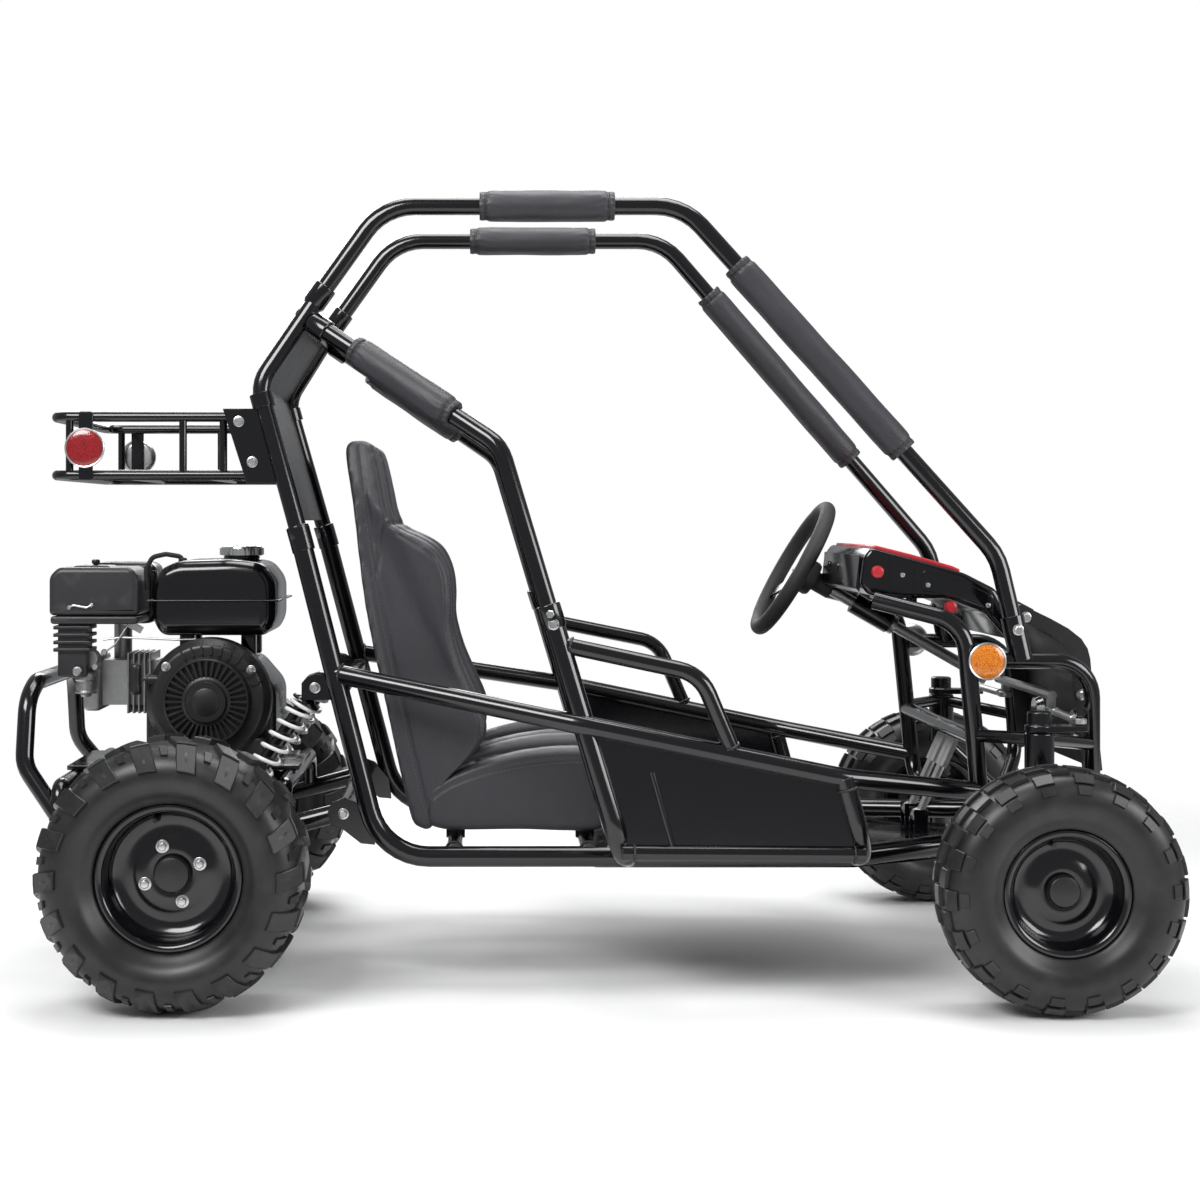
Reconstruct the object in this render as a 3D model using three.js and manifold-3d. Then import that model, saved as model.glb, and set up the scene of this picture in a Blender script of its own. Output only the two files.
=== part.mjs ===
// Off road go kart with two seats, a tube cage, a sprung swingarm and a small petrol engine.
// Millimetres. X points forward, Y to the kart's left, Z up, and the ground is Z = 0.
import * as THREE from "three";
import { mergeVertices } from "three/addons/utils/BufferGeometryUtils.js";
import Module from "manifold-3d";

const wasm = await Module();
wasm.setup();

// Driving dimensions
const wheelbase = 1290;
const cabinHalfWidth = 400;
const roofHeight = 1208;
const gap = 0.3;
const overrun = 2;

const frontWheel = {
  tyreDiameter: 359, tyreWidth: 145, trackHalf: 458, rimDiameter: 182, lugHeight: 7, lugs: 17,
  capDiameter: 47, wall: 4,
};
const rearWheel = {
  tyreDiameter: 400, tyreWidth: 200, trackHalf: 430, rimDiameter: 211, lugHeight: 11, lugs: 15,
  capDiameter: 53, wall: 4,
};

const tubes = {
  rail: 32, leg: 28, side: 30, front: 28, hoop: 25, cross: 25, arm: 20, rack: 16, rackBar: 12,
  dropLeg: 34, socketWall: 4, socketDepth: 36, bend: 60, footBend: 95, roofBend: 95,
};
const slip = 0.3;
const tubeSides = 8;
const roundSides = 8;
const slimSides = 6;
const roundSteps = 20;
const panelThickness = 4;

const axleShares = { front: 0.54, rear: -0.46 };
const axleX = { front: axleShares.front * wheelbase, rear: axleShares.rear * wheelbase };
const axleHeight = { front: frontWheel.tyreDiameter / 2, rear: rearWheel.tyreDiameter / 2 };

// Places on the tube frame, as shares of the wheelbase, the cabin's half width and the roof height
const placeShares = {
  collar: [-0.333, 0.638, 0.584],
  railBend: [-0.231, 0.713, 0.164],
  railMid: [0.333, 0.7, 0.164],
  railFront: [0.57, 0.3375, 0.1755],
  hoopBend: [-0.381, 0.6, 0.766],
  hoopTop: [-0.309, 0.523, 0.884],
  roofRear: [-0.231, 0.523, 1],
  roofFront: [0.134, 0.523, 1],
  pillarBend: [0.508, 0.638, 0.546],
  pillarFoot: [0.535, 0.667, 0.4125],
  shoulderBend: [-0.09, 0.875, 0.684],
  dropFoot: [0.05, 1, 0.184],
  sideRailMid: [0.006, 0.988, 0.34],
  sideRailFront: [0.31, 0.963, 0.273],
  frontDrop: [0.331, 0.963, 0.18],
  loopCorner: [0.14, 1, 0.403],
  dashHorn: [0.364, 0.56, 0.488],
  uprightTop: [0.466, 0.673, 0.46],
  uprightLow: [0.487, 0.655, 0.22],
  uprightFoot: [0.497, 0.44, 0.174],
  hoopFront: [0.62, 0.655, 0.4115],
  hoopLow: [0.625, 0.6, 0.248],
  bumperEnd: [0.585, 0.4, 0.1755],
};

// Shared helpers

// Both ends of the kart are built round their axles, and its low frame round its wheels.
// So a longer wheelbase stretches only the cabin between them, and a higher roof stretches only the cage.
const build = { length: 1290, height: 1208, cabinRearShare: 0.06, cabinFrontShare: 0.3, cageShare: 0.6 };

/** How far along the kart a place stands, from its share of the build length. */
function alongAt(share) {
  const rearEnd = axleX.rear + (build.cabinRearShare - axleShares.rear) * build.length;
  const frontEnd = axleX.front + (build.cabinFrontShare - axleShares.front) * build.length;
  if (share <= build.cabinRearShare) {
    return rearEnd + (share - build.cabinRearShare) * build.length;
  }
  if (share >= build.cabinFrontShare) {
    return frontEnd + (share - build.cabinFrontShare) * build.length;
  }
  const cabinShare = (share - build.cabinRearShare) / (build.cabinFrontShare - build.cabinRearShare);
  return rearEnd + cabinShare * (frontEnd - rearEnd);
}

/** How high a place stands, from its share of the build height. */
function heightAt(share) {
  const cageBase = build.cageShare * build.height;
  if (share <= build.cageShare) {
    return share * build.height;
  }
  return cageBase + ((share - build.cageShare) / (1 - build.cageShare)) * (roofHeight - cageBase);
}

// The front hoop stands clear of the tie rods, which are set by the front axle
const aheadOfAxle = { hoopFront: 103.2, hoopLow: 109.65 };

/** A frame place on the kart's left (side 1) or right (side -1). */
function spot(name, side = 1) {
  const [alongShare, acrossShare, upShare] = placeShares[name];
  const along = name in aheadOfAxle ? axleX.front + aheadOfAxle[name] : alongAt(alongShare);
  return new THREE.Vector3(along, side * acrossShare * cabinHalfWidth, heightAt(upShare));
}

/** The point a given share of the way from one place to another. */
function between(start, end, share) {
  return start.clone().lerp(end, share);
}

/** The point at a given height on the line from one place to another. */
function atHeight(start, end, height) {
  return between(start, end, (height - start.z) / (end.z - start.z));
}

/** A path of straight runs and round bends, held as stations, for a tube to follow. */
class PipeRun extends THREE.Curve {
  constructor(corners, bendRadius) {
    super();
    this.stations = [];
    corners.forEach((corner, index) => {
      const before = corners[index - 1];
      const after = corners[index + 1];
      if (before && after) {
        this.addBend(before, corner, after, bendRadius);
      } else {
        const heading = after ? after.clone().sub(corner) : corner.clone().sub(before);
        this.stations.push({ point: corner.clone(), heading: heading.normalize() });
      }
    });
  }

  addBend(before, corner, after, bendRadius) {
    const arriving = corner.clone().sub(before);
    const leaving = after.clone().sub(corner);
    const longest = 0.48 * Math.min(arriving.length(), leaving.length());
    arriving.normalize();
    leaving.normalize();
    const turn = arriving.angleTo(leaving);
    if (turn < 0.4) {
      const heading = arriving.clone().add(leaving).normalize();
      this.stations.push({ point: corner.clone(), heading });
      return;
    }
    const setback = Math.min(bendRadius * Math.tan(turn / 2), longest);
    const radius = setback / Math.tan(turn / 2);
    const axis = arriving.clone().cross(leaving).normalize();
    const start = corner.clone().addScaledVector(arriving, -setback);
    const centre = start.clone().addScaledVector(axis.clone().cross(arriving), radius);
    const steps = Math.max(1, Math.round(turn / 0.8));
    for (let step = 0; step <= steps; step += 1) {
      const swung = (turn * step) / steps;
      const point = start.clone().sub(centre).applyAxisAngle(axis, swung).add(centre);
      this.stations.push({ point, heading: arriving.clone().applyAxisAngle(axis, swung) });
    }
  }

  stationAt(share) {
    return this.stations[Math.round(share * (this.stations.length - 1))];
  }

  getPoint(share, target = new THREE.Vector3()) {
    return target.copy(this.stationAt(share).point);
  }

  getPointAt(share, target) {
    return this.getPoint(share, target);
  }

  getTangentAt(share, target = new THREE.Vector3()) {
    return target.copy(this.stationAt(share).heading);
  }
}

/** The outline of a tube's section: a regular polygon with its corners on the given radius. */
function ringShape(radius, count) {
  const points = Array.from({ length: count }, (_, index) => {
    const angle = (2 * Math.PI * (index + 0.5)) / count;
    return new THREE.Vector2(radius * Math.cos(angle), radius * Math.sin(angle));
  });
  return new THREE.Shape(points);
}

/** Turns a closed geometry into a solid that can be joined and cut. */
function solid(geometry) {
  const bare = geometry.clone();
  bare.deleteAttribute("normal");
  bare.deleteAttribute("uv");
  const merged = mergeVertices(bare);
  const made = new wasm.Manifold(new wasm.Mesh({
    numProp: 3,
    vertProperties: Float32Array.from(merged.attributes.position.array),
    triVerts: Uint32Array.from(merged.index.array),
  }));
  return made;
}

function join(...solids) {
  return solids.flat(Infinity).reduce((whole, piece) => whole.add(piece));
}

function cut(whole, ...cutters) {
  return cutters.flat(Infinity).reduce((left, cutter) => left.subtract(cutter), whole);
}

/** A round tube, drawn solid, along a path of corners with round bends. */
function tube(corners, diameter, bendRadius = tubes.bend, count = tubeSides) {
  const run = new PipeRun(corners, bendRadius);
  const options = { steps: run.stations.length - 1, extrudePath: run, bevelEnabled: false };
  return solid(new THREE.ExtrudeGeometry(ringShape(diameter / 2, count), options));
}

/** A round bar between two points. */
function bar(start, end, diameter, count = tubeSides, endDiameter = diameter) {
  const length = start.distanceTo(end);
  const geometry = new THREE.CylinderGeometry(endDiameter / 2, diameter / 2, length, count);
  geometry.translate(0, length / 2, 0);
  const heading = end.clone().sub(start).normalize();
  geometry.applyQuaternion(new THREE.Quaternion().setFromUnitVectors(new THREE.Vector3(0, 1, 0), heading));
  geometry.translate(start.x, start.y, start.z);
  return solid(geometry);
}

/** A block given by its centre and its three sizes. */
function block(centre, length, width, height) {
  const geometry = new THREE.BoxGeometry(length, width, height);
  geometry.translate(centre.x, centre.y, centre.z);
  return solid(geometry);
}

/** A flat plate of the given outline, lying across Y and centred on the given Y. */
function sidePlate(outline, y, thickness) {
  const shape = new THREE.Shape(outline.map(([x, z]) => new THREE.Vector2(x, z)));
  const geometry = new THREE.ExtrudeGeometry(shape, { depth: thickness, bevelEnabled: false });
  geometry.rotateX(Math.PI / 2);
  geometry.translate(0, y + thickness / 2, 0);
  return solid(geometry);
}

/** A plate of even thickness through corners that lie nearly in one plane. */
function sheet(corners, thickness) {
  const centre = corners.reduce((sum, corner) => sum.add(corner), new THREE.Vector3());
  centre.divideScalar(corners.length);
  const across = corners[1].clone().sub(corners[0]).normalize();
  const normal = across.clone().cross(corners[2].clone().sub(corners[1])).normalize();
  const along = normal.clone().cross(across);
  const outline = corners.map((corner) => {
    const offset = corner.clone().sub(centre);
    return new THREE.Vector2(offset.dot(across), offset.dot(along));
  });
  const geometry = new THREE.ExtrudeGeometry(new THREE.Shape(outline), { depth: thickness,
    bevelEnabled: false });
  geometry.translate(0, 0, -thickness / 2);
  geometry.applyMatrix4(new THREE.Matrix4().makeBasis(across, along, normal));
  geometry.translate(centre.x, centre.y, centre.z);
  return solid(geometry);
}

/** A turned piece: profile points are [radius, distance along the axis from the base point]. */
function turned(profile, base, heading, segments = 16) {
  const points = profile.map(([radius, along]) => new THREE.Vector2(radius, along));
  const geometry = new THREE.LatheGeometry(points, segments);
  const turn = new THREE.Quaternion().setFromUnitVectors(new THREE.Vector3(0, 1, 0), heading);
  geometry.applyQuaternion(turn);
  geometry.translate(base.x, base.y, base.z);
  const made = solid(geometry);
  return made.volume() < 0 ? solid(flipped(geometry)) : made;
}

/** The same geometry with its faces turned round. */
function flipped(geometry) {
  const turnedRound = geometry.toNonIndexed();
  const position = turnedRound.attributes.position;
  for (let first = 0; first < position.count; first += 3) {
    const held = new THREE.Vector3().fromBufferAttribute(position, first + 1);
    const other = new THREE.Vector3().fromBufferAttribute(position, first + 2);
    position.setXYZ(first + 1, other.x, other.y, other.z);
    position.setXYZ(first + 2, held.x, held.y, held.z);
  }
  return turnedRound;
}

const up = new THREE.Vector3(0, 0, 1);
const forward = new THREE.Vector3(1, 0, 0);
const left = new THREE.Vector3(0, 1, 0);
const outward = (side) => new THREE.Vector3(0, side, 0);
const point = (x, y, z) => new THREE.Vector3(x, y, z);
const sides = { right: -1, left: 1 };

// Finishes
function finish(color, roughness, metalness = 0) {
  return new THREE.MeshStandardMaterial({ color, roughness, metalness, flatShading: true });
}

const finishes = {
  blackPaint: finish(0x1b1b1d, 0.3, 0.2),
  vinyl: finish(0x3c3c42, 0.75),
  rubber: finish(0x202022, 0.85),
  plastic: finish(0x2a2a2c, 0.55),
  enginePaint: finish(0x26262a, 0.45, 0.2),
  amber: finish(0xc8820a, 0.3),
  red: finish(0x96141e, 0.35),
  white: finish(0xe6e6e4, 0.4),
  steel: finish(0x9a9a9c, 0.35, 0.9),
  chrome: finish(0xc4c4c6, 0.2, 0.95),
};

const kart = new THREE.Group();

/** Adds a finished solid to the kart as a named piece. */
function addPiece(name, made, material) {
  const mesh = made.getMesh();
  const geometry = new THREE.BufferGeometry();
  geometry.setAttribute("position", new THREE.BufferAttribute(Float32Array.from(mesh.vertProperties), 3));
  geometry.setIndex(new THREE.BufferAttribute(Uint32Array.from(mesh.triVerts), 1));
  geometry.computeVertexNormals();
  const piece = new THREE.Mesh(geometry, material);
  piece.name = name;
  kart.add(piece);
}

/** Runs a maker for the right and the left side, which get a piece each. */
function addPair(name, maker, material) {
  for (const [sideName, side] of Object.entries(sides)) {
    addPiece(`${name}_${sideName}`, maker(side), material);
  }
}

// Joints of the tube frame

/** The size of a round hole that a round piece of the given diameter turns or slides in. */
function boreFor(diameter, clearance = slip, count = tubeSides) {
  return (diameter + 2 * clearance) / Math.cos(Math.PI / count);
}

/** A socket that a tube is pushed into: its shell, its bore, and where the tube ends. */
function socketAt(mouth, heading, diameter) {
  const root = mouth.clone().addScaledVector(heading, tubes.socketDepth);
  const closed = mouth.clone().addScaledVector(heading, tubes.socketDepth + tubes.socketWall);
  return {
    mouth,
    shell: bar(mouth, closed, diameter + 2 * tubes.socketWall),
    bore: bar(mouth.clone().addScaledVector(heading, -overrun), root, boreFor(diameter)),
    end: root.clone().addScaledVector(heading, -gap),
  };
}

function heading(start, end) {
  return end.clone().sub(start).normalize();
}

/** A tube's path thickened by the working gap, to fit the end of another tube to it. */
function cope(corners, diameter, bendRadius = tubes.bend) {
  return tube(corners, diameter + 2 * gap, bendRadius);
}

function collarSocket(side) {
  const mouth = spot("collar", side);
  return socketAt(mouth, heading(spot("hoopBend", side), mouth), tubes.leg);
}

function roofSocket(side) {
  const axis = heading(spot("hoopTop", side), spot("roofRear", side));
  const mouth = spot("hoopTop", side).addScaledVector(axis, tubes.socketDepth / 2);
  return socketAt(mouth, axis.negate(), tubes.leg);
}

const crossTubeShare = 0.755;

function shoulderRoot(side) {
  return between(spot("hoopBend", side), spot("hoopTop", side), crossTubeShare);
}

function shoulderSocket(side) {
  const axis = heading(shoulderRoot(side), spot("shoulderBend", side));
  const mouth = shoulderRoot(side).addScaledVector(axis, tubes.socketDepth + tubes.cross / 2);
  return socketAt(mouth, axis.negate(), tubes.leg);
}

const dropJointShare = 0.4;

function dropSocket(side) {
  const mouth = between(spot("shoulderBend", side), spot("dropFoot", side), dropJointShare);
  return socketAt(mouth, heading(spot("shoulderBend", side), spot("dropFoot", side)), tubes.leg);
}

const pillarJointShare = 0.6;

function pillarSocket(side) {
  const mouth = between(spot("pillarBend", side), spot("pillarFoot", side), pillarJointShare);
  return socketAt(mouth, heading(spot("pillarBend", side), spot("pillarFoot", side)), tubes.leg);
}

const railPath = (side) => [spot("collar", side), spot("railBend", side), spot("railMid", side),
  spot("railFront", side)];

// Lower frame: rails that turn up into the rear uprights, seat bearers, floor pan and pivot lugs

const seatSize = { width: 246, between: 16, depth: 412, height: 608 };
const seatSpacing = seatSize.width + seatSize.between;
const bearer = { rearShare: -0.144, frontShare: 0.016, lift: 8, postHeight: 13, postWidth: 22,
  postLength: 150 };
const bearerZ = spot("railMid").z + bearer.lift;
const seatBottom = bearerZ + tubes.cross / 2 + bearer.postHeight;
const pan = { rearShare: 0.032, frontShare: 0.5, frontHalfShare: 0.42, thickness: 4 };
const swing = {
  pivotAlongShare: -0.2767, pivotUpShare: 0.217, pivotTube: 34, pin: 16, pinReach: 30, lugInner: 262,
  lugThickness: 6, lugRadius: 24, armY: 240, arm: 30,
};
const pivotPlace = (y) => point(alongAt(swing.pivotAlongShare), y, heightAt(swing.pivotUpShare));
const armPlace = (share, side) => {
  const pivotEnd = pivotPlace(side * swing.armY);
  const axleEnd = point(axleX.rear, side * swing.armY, axleHeight.rear);
  return pivotEnd.clone().lerp(axleEnd, share);
};
const shock = {
  planeY: 240, topAlongShare: -0.3116, topUpShare: 0.3767, footShare: 0.7654, footRise: 39.47,
  eye: 28, eyeWidth: 24, pin: 12, cheek: 5, cheekRadius: 17, body: 23, rod: 12, seat: 46, seatThickness: 4,
  spring: 45, wire: 6.5, curls: 9, topSeatDrop: 30, footSeatRise: 34, rodFoot: 16.8,
  bodyReachShare: 0.64, boreShare: 0.34, rodShare: 0.44,
};
const shockTop = (side) => point(alongAt(shock.topAlongShare), side * shock.planeY,
  heightAt(shock.topUpShare));
const shockFoot = (side) => armPlace(shock.footShare, side).setY(side * shock.planeY)
  .addScaledVector(up, shock.footRise);

/** The outline of a lug: an arc round its eye, with straight sides that run back to a root. */
function lugOutline(eyeCentre, root, radius) {
  const lie = Math.atan2(root.z - eyeCentre.z, root.x - eyeCentre.x);
  const arc = Array.from({ length: 5 }, (_, step) => {
    const angle = lie + Math.PI / 2 + (Math.PI * step) / 4;
    return [eyeCentre.x + radius * Math.cos(angle), eyeCentre.z + radius * Math.sin(angle)];
  });
  const rootEnds = [-1, 1].map((hand) => [root.x - hand * radius * Math.sin(lie), root.z
    + hand * radius * Math.cos(lie)]);
  return [...arc, ...rootEnds];
}

/** Two cheeks that reach from a root to each side of an eye, with a pin across where one is asked for. */
function fork(eyeCentre, root, withPin) {
  const offset = (shock.eyeWidth + shock.cheek) / 2 + gap;
  const cheeks = [-1, 1].map((hand) => sidePlate(lugOutline(eyeCentre, root, shock.cheekRadius),
    eyeCentre.y + hand * offset, shock.cheek));
  const half = offset + shock.cheek / 2;
  const pinEnds = [-1, 1].map((hand) => eyeCentre.clone().add(point(0, hand * half, 0)));
  return withPin ? join(cheeks, bar(pinEnds[0], pinEnds[1], shock.pin)) : cheeks;
}

const pedal = { alongShare: 0.465, pinLift: 26, pin: 12, hub: 24, hubWidth: 30, ear: 5, armLength: 128,
  arm: 14,
  padLength: 70, padWidth: 56, padThickness: 8, lean: 0.42, throttleY: 72, brakeY: 150 };
const panTop = spot("railMid").z - tubes.rail / 2 + overrun / 2 + pan.thickness / 2;
const pedalPin = (y) => point(alongAt(pedal.alongShare), y, panTop + pedal.pinLift);

function pedalStand(y) {
  const ears = [-1, 1].map((hand) => block(point(pedalPin(y).x, y + hand * (pedal.hubWidth + pedal.ear
    + 2 * gap) / 2,
    panTop + (pedal.pinLift + pedal.hub / 2 - overrun) / 2), pedal.hub, pedal.ear,
    pedal.pinLift + pedal.hub / 2 + overrun));
  const reach = (pedal.hubWidth + pedal.ear) / 2;
  return join(ears, bar(pedalPin(y - reach), pedalPin(y + reach), pedal.pin));
}

function pedalPiece(y) {
  const axis = point(Math.sin(pedal.lean), 0, Math.cos(pedal.lean));
  const hub = bar(pedalPin(y - pedal.hubWidth / 2), pedalPin(y + pedal.hubWidth / 2), pedal.hub,
    roundSides);
  const top = pedalPin(y).addScaledVector(axis, pedal.armLength);
  const face = new THREE.BoxGeometry(pedal.padThickness, pedal.padWidth, pedal.padLength);
  face.rotateY(pedal.lean);
  face.translate(top.x, top.y, top.z);
  return cut(join(hub, bar(pedalPin(y), top, pedal.arm, 8), solid(face)),
    bar(pedalPin(y - pedal.hubWidth), pedalPin(y + pedal.hubWidth), boreFor(pedal.pin)));
}

function floorPan() {
  const z = spot("railMid").z - tubes.rail / 2 + overrun / 2;
  const rearHalf = spot("railMid").y;
  const frontHalf = pan.frontHalfShare * cabinHalfWidth;
  const rear = alongAt(pan.rearShare);
  const front = alongAt(pan.frontShare);
  const shoulder = spot("railMid").x;
  return sheet([point(rear, -rearHalf, z), point(shoulder, -rearHalf, z), point(front, -frontHalf, z),
    point(front, frontHalf, z), point(shoulder, rearHalf, z), point(rear, rearHalf, z)], pan.thickness);
}

function lowerFrame() {
  const parts = [floorPan()];
  const bores = [];
  for (const side of Object.values(sides)) {
    const socket = collarSocket(side);
    parts.push(tube(railPath(side), tubes.rail, tubes.footBend), socket.shell);
    bores.push(socket.bore);
    const lugCentre = pivotPlace(side * (swing.lugInner + swing.lugThickness / 2));
    const lugRoot = point(lugCentre.x + 2 * swing.lugRadius, lugCentre.y, lugCentre.z);
    parts.push(sidePlate(lugOutline(lugCentre, lugRoot, swing.lugRadius), lugCentre.y, swing.lugThickness));
    parts.push(bar(lugCentre, pivotPlace(side * (swing.lugInner - swing.pinReach)), swing.pin));
    const upright = between(spot("collar", side), spot("railBend", side), 0.5);
    const forkRoot = point(upright.x, side * shock.planeY, shockTop(side).z - shock.cheekRadius / 2);
    parts.push(fork(shockTop(side), forkRoot, true));
  }
  for (const share of [bearer.rearShare, bearer.frontShare]) {
    const x = alongAt(share);
    const half = spot("railMid").y + tubes.rail / 4;
    parts.push(bar(point(x, -half, bearerZ), point(x, half, bearerZ), tubes.cross, slimSides));
    for (const y of [-0.5, 0.5].map((share) => share * seatSpacing)) {
      const height = bearer.postHeight + tubes.cross / 2 - gap;
      parts.push(block(point(x, y, bearerZ + height / 2), bearer.postWidth, bearer.postLength, height));
    }
  }
  parts.push(pedalStand(pedal.throttleY), pedalStand(pedal.brakeY));
  const shockCross = between(spot("collar"), spot("railBend"), 0.5);
  const halfCross = shock.planeY + shock.eyeWidth / 2 + shock.cheek;
  parts.push(bar(point(shockCross.x, -halfCross, shockCross.z), point(shockCross.x, halfCross,
    shockCross.z),
    tubes.cross, slimSides));
  return cut(join(parts), bores);
}
addPiece("lower_frame", lowerFrame(), finishes.blackPaint);

// Rear hoop: legs, cross tube, sockets, rack lugs and the panel between the legs

const rackPlate = { topShare: 0.83, lowShare: 0.3, length: 56, thickness: 5 };
const legPoint = (side, share) => between(spot("collar", side), spot("hoopBend", side), share);
const rackPlateY = (side) => legPoint(side, (rackPlate.topShare + rackPlate.lowShare) / 2).y;
const panelShares = { low: 0.08, top: 0.72 };

function rackPlateOutline(setback) {
  const top = legPoint(1, rackPlate.topShare);
  const low = legPoint(1, rackPlate.lowShare);
  return [[top.x - rackPlate.length - setback, top.z], [top.x - setback, top.z],
    [low.x - setback, low.z], [low.x - rackPlate.length - setback, low.z]];
}

function rearHoop() {
  const parts = [];
  const bores = [];
  for (const side of Object.values(sides)) {
    const roof = roofSocket(side);
    const shoulder = shoulderSocket(side);
    parts.push(tube([collarSocket(side).end, spot("hoopBend", side), spot("hoopTop", side)], tubes.leg));
    parts.push(roof.shell, shoulder.shell);
    bores.push(roof.bore, shoulder.bore);
    const sleeveTop = legPoint(side, 0.94);
    parts.push(bar(legPoint(side, 0.84), sleeveTop, tubes.leg + 2 * tubes.socketWall));
    parts.push(sidePlate(rackPlateOutline(0), rackPlateY(side), rackPlate.thickness));
  }
  parts.push(bar(shoulderRoot(-1), shoulderRoot(1), tubes.rail));
  const low = (side) => legPoint(side, panelShares.low);
  const bend = (side) => spot("hoopBend", side);
  const top = (side) => between(spot("hoopBend", side), spot("hoopTop", side), panelShares.top);
  parts.push(sheet([low(-1), low(1), bend(1), bend(-1)], panelThickness));
  parts.push(sheet([bend(-1), bend(1), top(1), top(-1)], panelThickness));
  return cut(join(parts), bores);
}
addPiece("rear_hoop", rearHoop(), finishes.blackPaint);

// Roof rails, which run down as the front pillars

function roofRail(side) {
  return tube([roofSocket(side).end, spot("roofRear", side), spot("roofFront", side),
    spot("pillarBend", side), pillarSocket(side).end], tubes.leg, tubes.roofBend);
}
addPair("roof_rail", roofRail, finishes.blackPaint);

// Shoulder bars, from the rear hoop over the hip to the side frame's drop leg

function shoulderBar(side) {
  return tube([shoulderSocket(side).end, spot("shoulderBend", side), dropSocket(side).end], tubes.leg);
}
addPair("shoulder_bar", shoulderBar, finishes.blackPaint);

// Foam sleeves on the rails, pillars and shoulder bars

const pad = { diameter: 50, endDiameter: 42, crownShare: 0.12 };
const padShares = {
  roof: { right: [0.32, 0.77], left: [0.28, 0.75] },
  pillar: { right: [0.17, 0.705], left: [0.17, 0.705] },
  shoulder: { right: [0.26, 0.77], left: [0.26, 0.77] },
};

/** A foam sleeve round a straight stretch of tube, crowned between its tied ends. */
function sleeve(start, end, [startShare, endShare]) {
  const base = between(start, end, startShare);
  const length = start.distanceTo(end) * (endShare - startShare);
  const inner = boreFor(tubes.leg, gap, roundSides) / 2;
  const profile = [[inner, 0], [pad.endDiameter / 2, 0], [pad.diameter / 2, pad.crownShare * length / 2],
    [pad.diameter / 2, length * (1 - pad.crownShare / 2)], [pad.endDiameter / 2, length], [inner, length],
    [inner, 0]];
  return turned(profile, base, heading(start, end), roundSides);
}

const nameOfSide = (side) => (side < 0 ? "right" : "left");
addPair("roof_pad", (side) => sleeve(spot("roofRear", side), spot("roofFront", side),
  padShares.roof[nameOfSide(side)]), finishes.vinyl);
addPair("pillar_pad", (side) => sleeve(spot("roofFront", side), spot("pillarBend", side),
  padShares.pillar[nameOfSide(side)]), finishes.vinyl);
addPair("shoulder_pad", (side) => sleeve(shoulderRoot(side), spot("shoulderBend", side),
  padShares.shoulder[nameOfSide(side)]), finishes.vinyl);

// Side frames: hip rail, side loop, drop leg, front drop, bottom rail and the welded side panel

const hipShare = 0.448;
const hipFrontShare = 0.9;
const loop = { startShare: 0.49, endShare: 0.571 };
const footInset = { drop: 18, front: 2.6 };
const rib = { width: 12, topShare: 0.14, lowShare: 0.2, inset: 0.1 };

function uprightPath(side) {
  return [spot("dashHorn", side), spot("uprightTop", side), spot("uprightLow", side),
    spot("uprightFoot", side)];
}

function sideFrame(side) {
  const hipRear = between(spot("collar", side), spot("railBend", side), hipShare);
  const railMiddle = spot("sideRailMid", side);
  const railFront = spot("sideRailFront", side);
  const hipUpright = between(spot("uprightTop", side), spot("uprightLow", side), hipFrontShare);
  const hipFront = hipUpright.addScaledVector(heading(hipUpright, railFront), tubes.front / 4);
  const socket = dropSocket(side);
  const foot = spot("dropFoot", side);
  const footEnd = point(foot.x + footInset.drop, spot("railMid", side).y, spot("railMid").z);
  const drop = spot("frontDrop", side);
  const dropEnd = point(drop.x + footInset.front, spot("railMid", side).y,
    spot("railMid").z);
  const dropTop = between(railMiddle, railFront, 0.99);
  const loopStart = between(spot("shoulderBend", side), foot, loop.startShare);
  const loopEnd = between(railMiddle, railFront, loop.endShare);
  const panelCorners = [foot, drop, railFront, railMiddle];
  const ribTop = between(railMiddle, railFront, rib.topShare).lerp(foot, rib.inset);
  const ribLow = between(foot, drop, rib.lowShare).lerp(railMiddle, rib.inset);
  const made = join(
    tube([hipRear, railMiddle, railFront, hipFront], tubes.side, 2 * tubes.bend),
    tube([between(spot("shoulderBend", side), foot, dropJointShare), foot, footEnd], tubes.dropLeg,
      tubes.bend),
    tube([dropTop, drop, dropEnd], tubes.side),
    bar(foot, drop, tubes.cross, slimSides),
    tube([loopStart, spot("loopCorner", side), loopEnd], tubes.cross, tubes.bend, slimSides),
    sheet(panelCorners, panelThickness),
    bar(ribTop, ribLow, rib.width, slimSides),
  );
  return cut(made, socket.bore, cope(railPath(side), tubes.rail, tubes.footBend),
    cope(uprightPath(side), tubes.front));
}
addPair("side_frame", sideFrame, finishes.blackPaint);

// Front frame: uprights with dash horns, front hoop, pillar sockets, bearing sleeve, kingpin housings

const column = {
  tilt: 0.518, diameter: 20, sleeve: 38, sleeveLength: 74, length: 390, collar: 34, wheelY: 190,
  back: 294.636, rise: 234.972,
};
const columnAxis = point(Math.cos(column.tilt), 0, -Math.sin(column.tilt));
const columnSleeveStart = 122;
const kingpin = {
  y: 345, pin: 24, housing: 44, housingLow: 308, housingTop: 395, armLength: 62, armThickness: 10,
  armWidth: 26, armLift: 1, cap: 36, capHeight: 26, lowEnd: 158,
  rearRoot: 381.7, frontRoot: 366.7,
};
const wheelCentre = point(axleX.front - column.back, column.wheelY, kingpin.housingTop + column.rise);
const alongColumn = (distance) => wheelCentre.clone().addScaledVector(columnAxis, distance);
const kingpinPlace = (side, z) => point(axleX.front, side * kingpin.y, z);
const dropArm = { reach: 30, width: 16, thickness: 8, pin: 8, pinLength: 24, grip: 0.7 };
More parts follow.
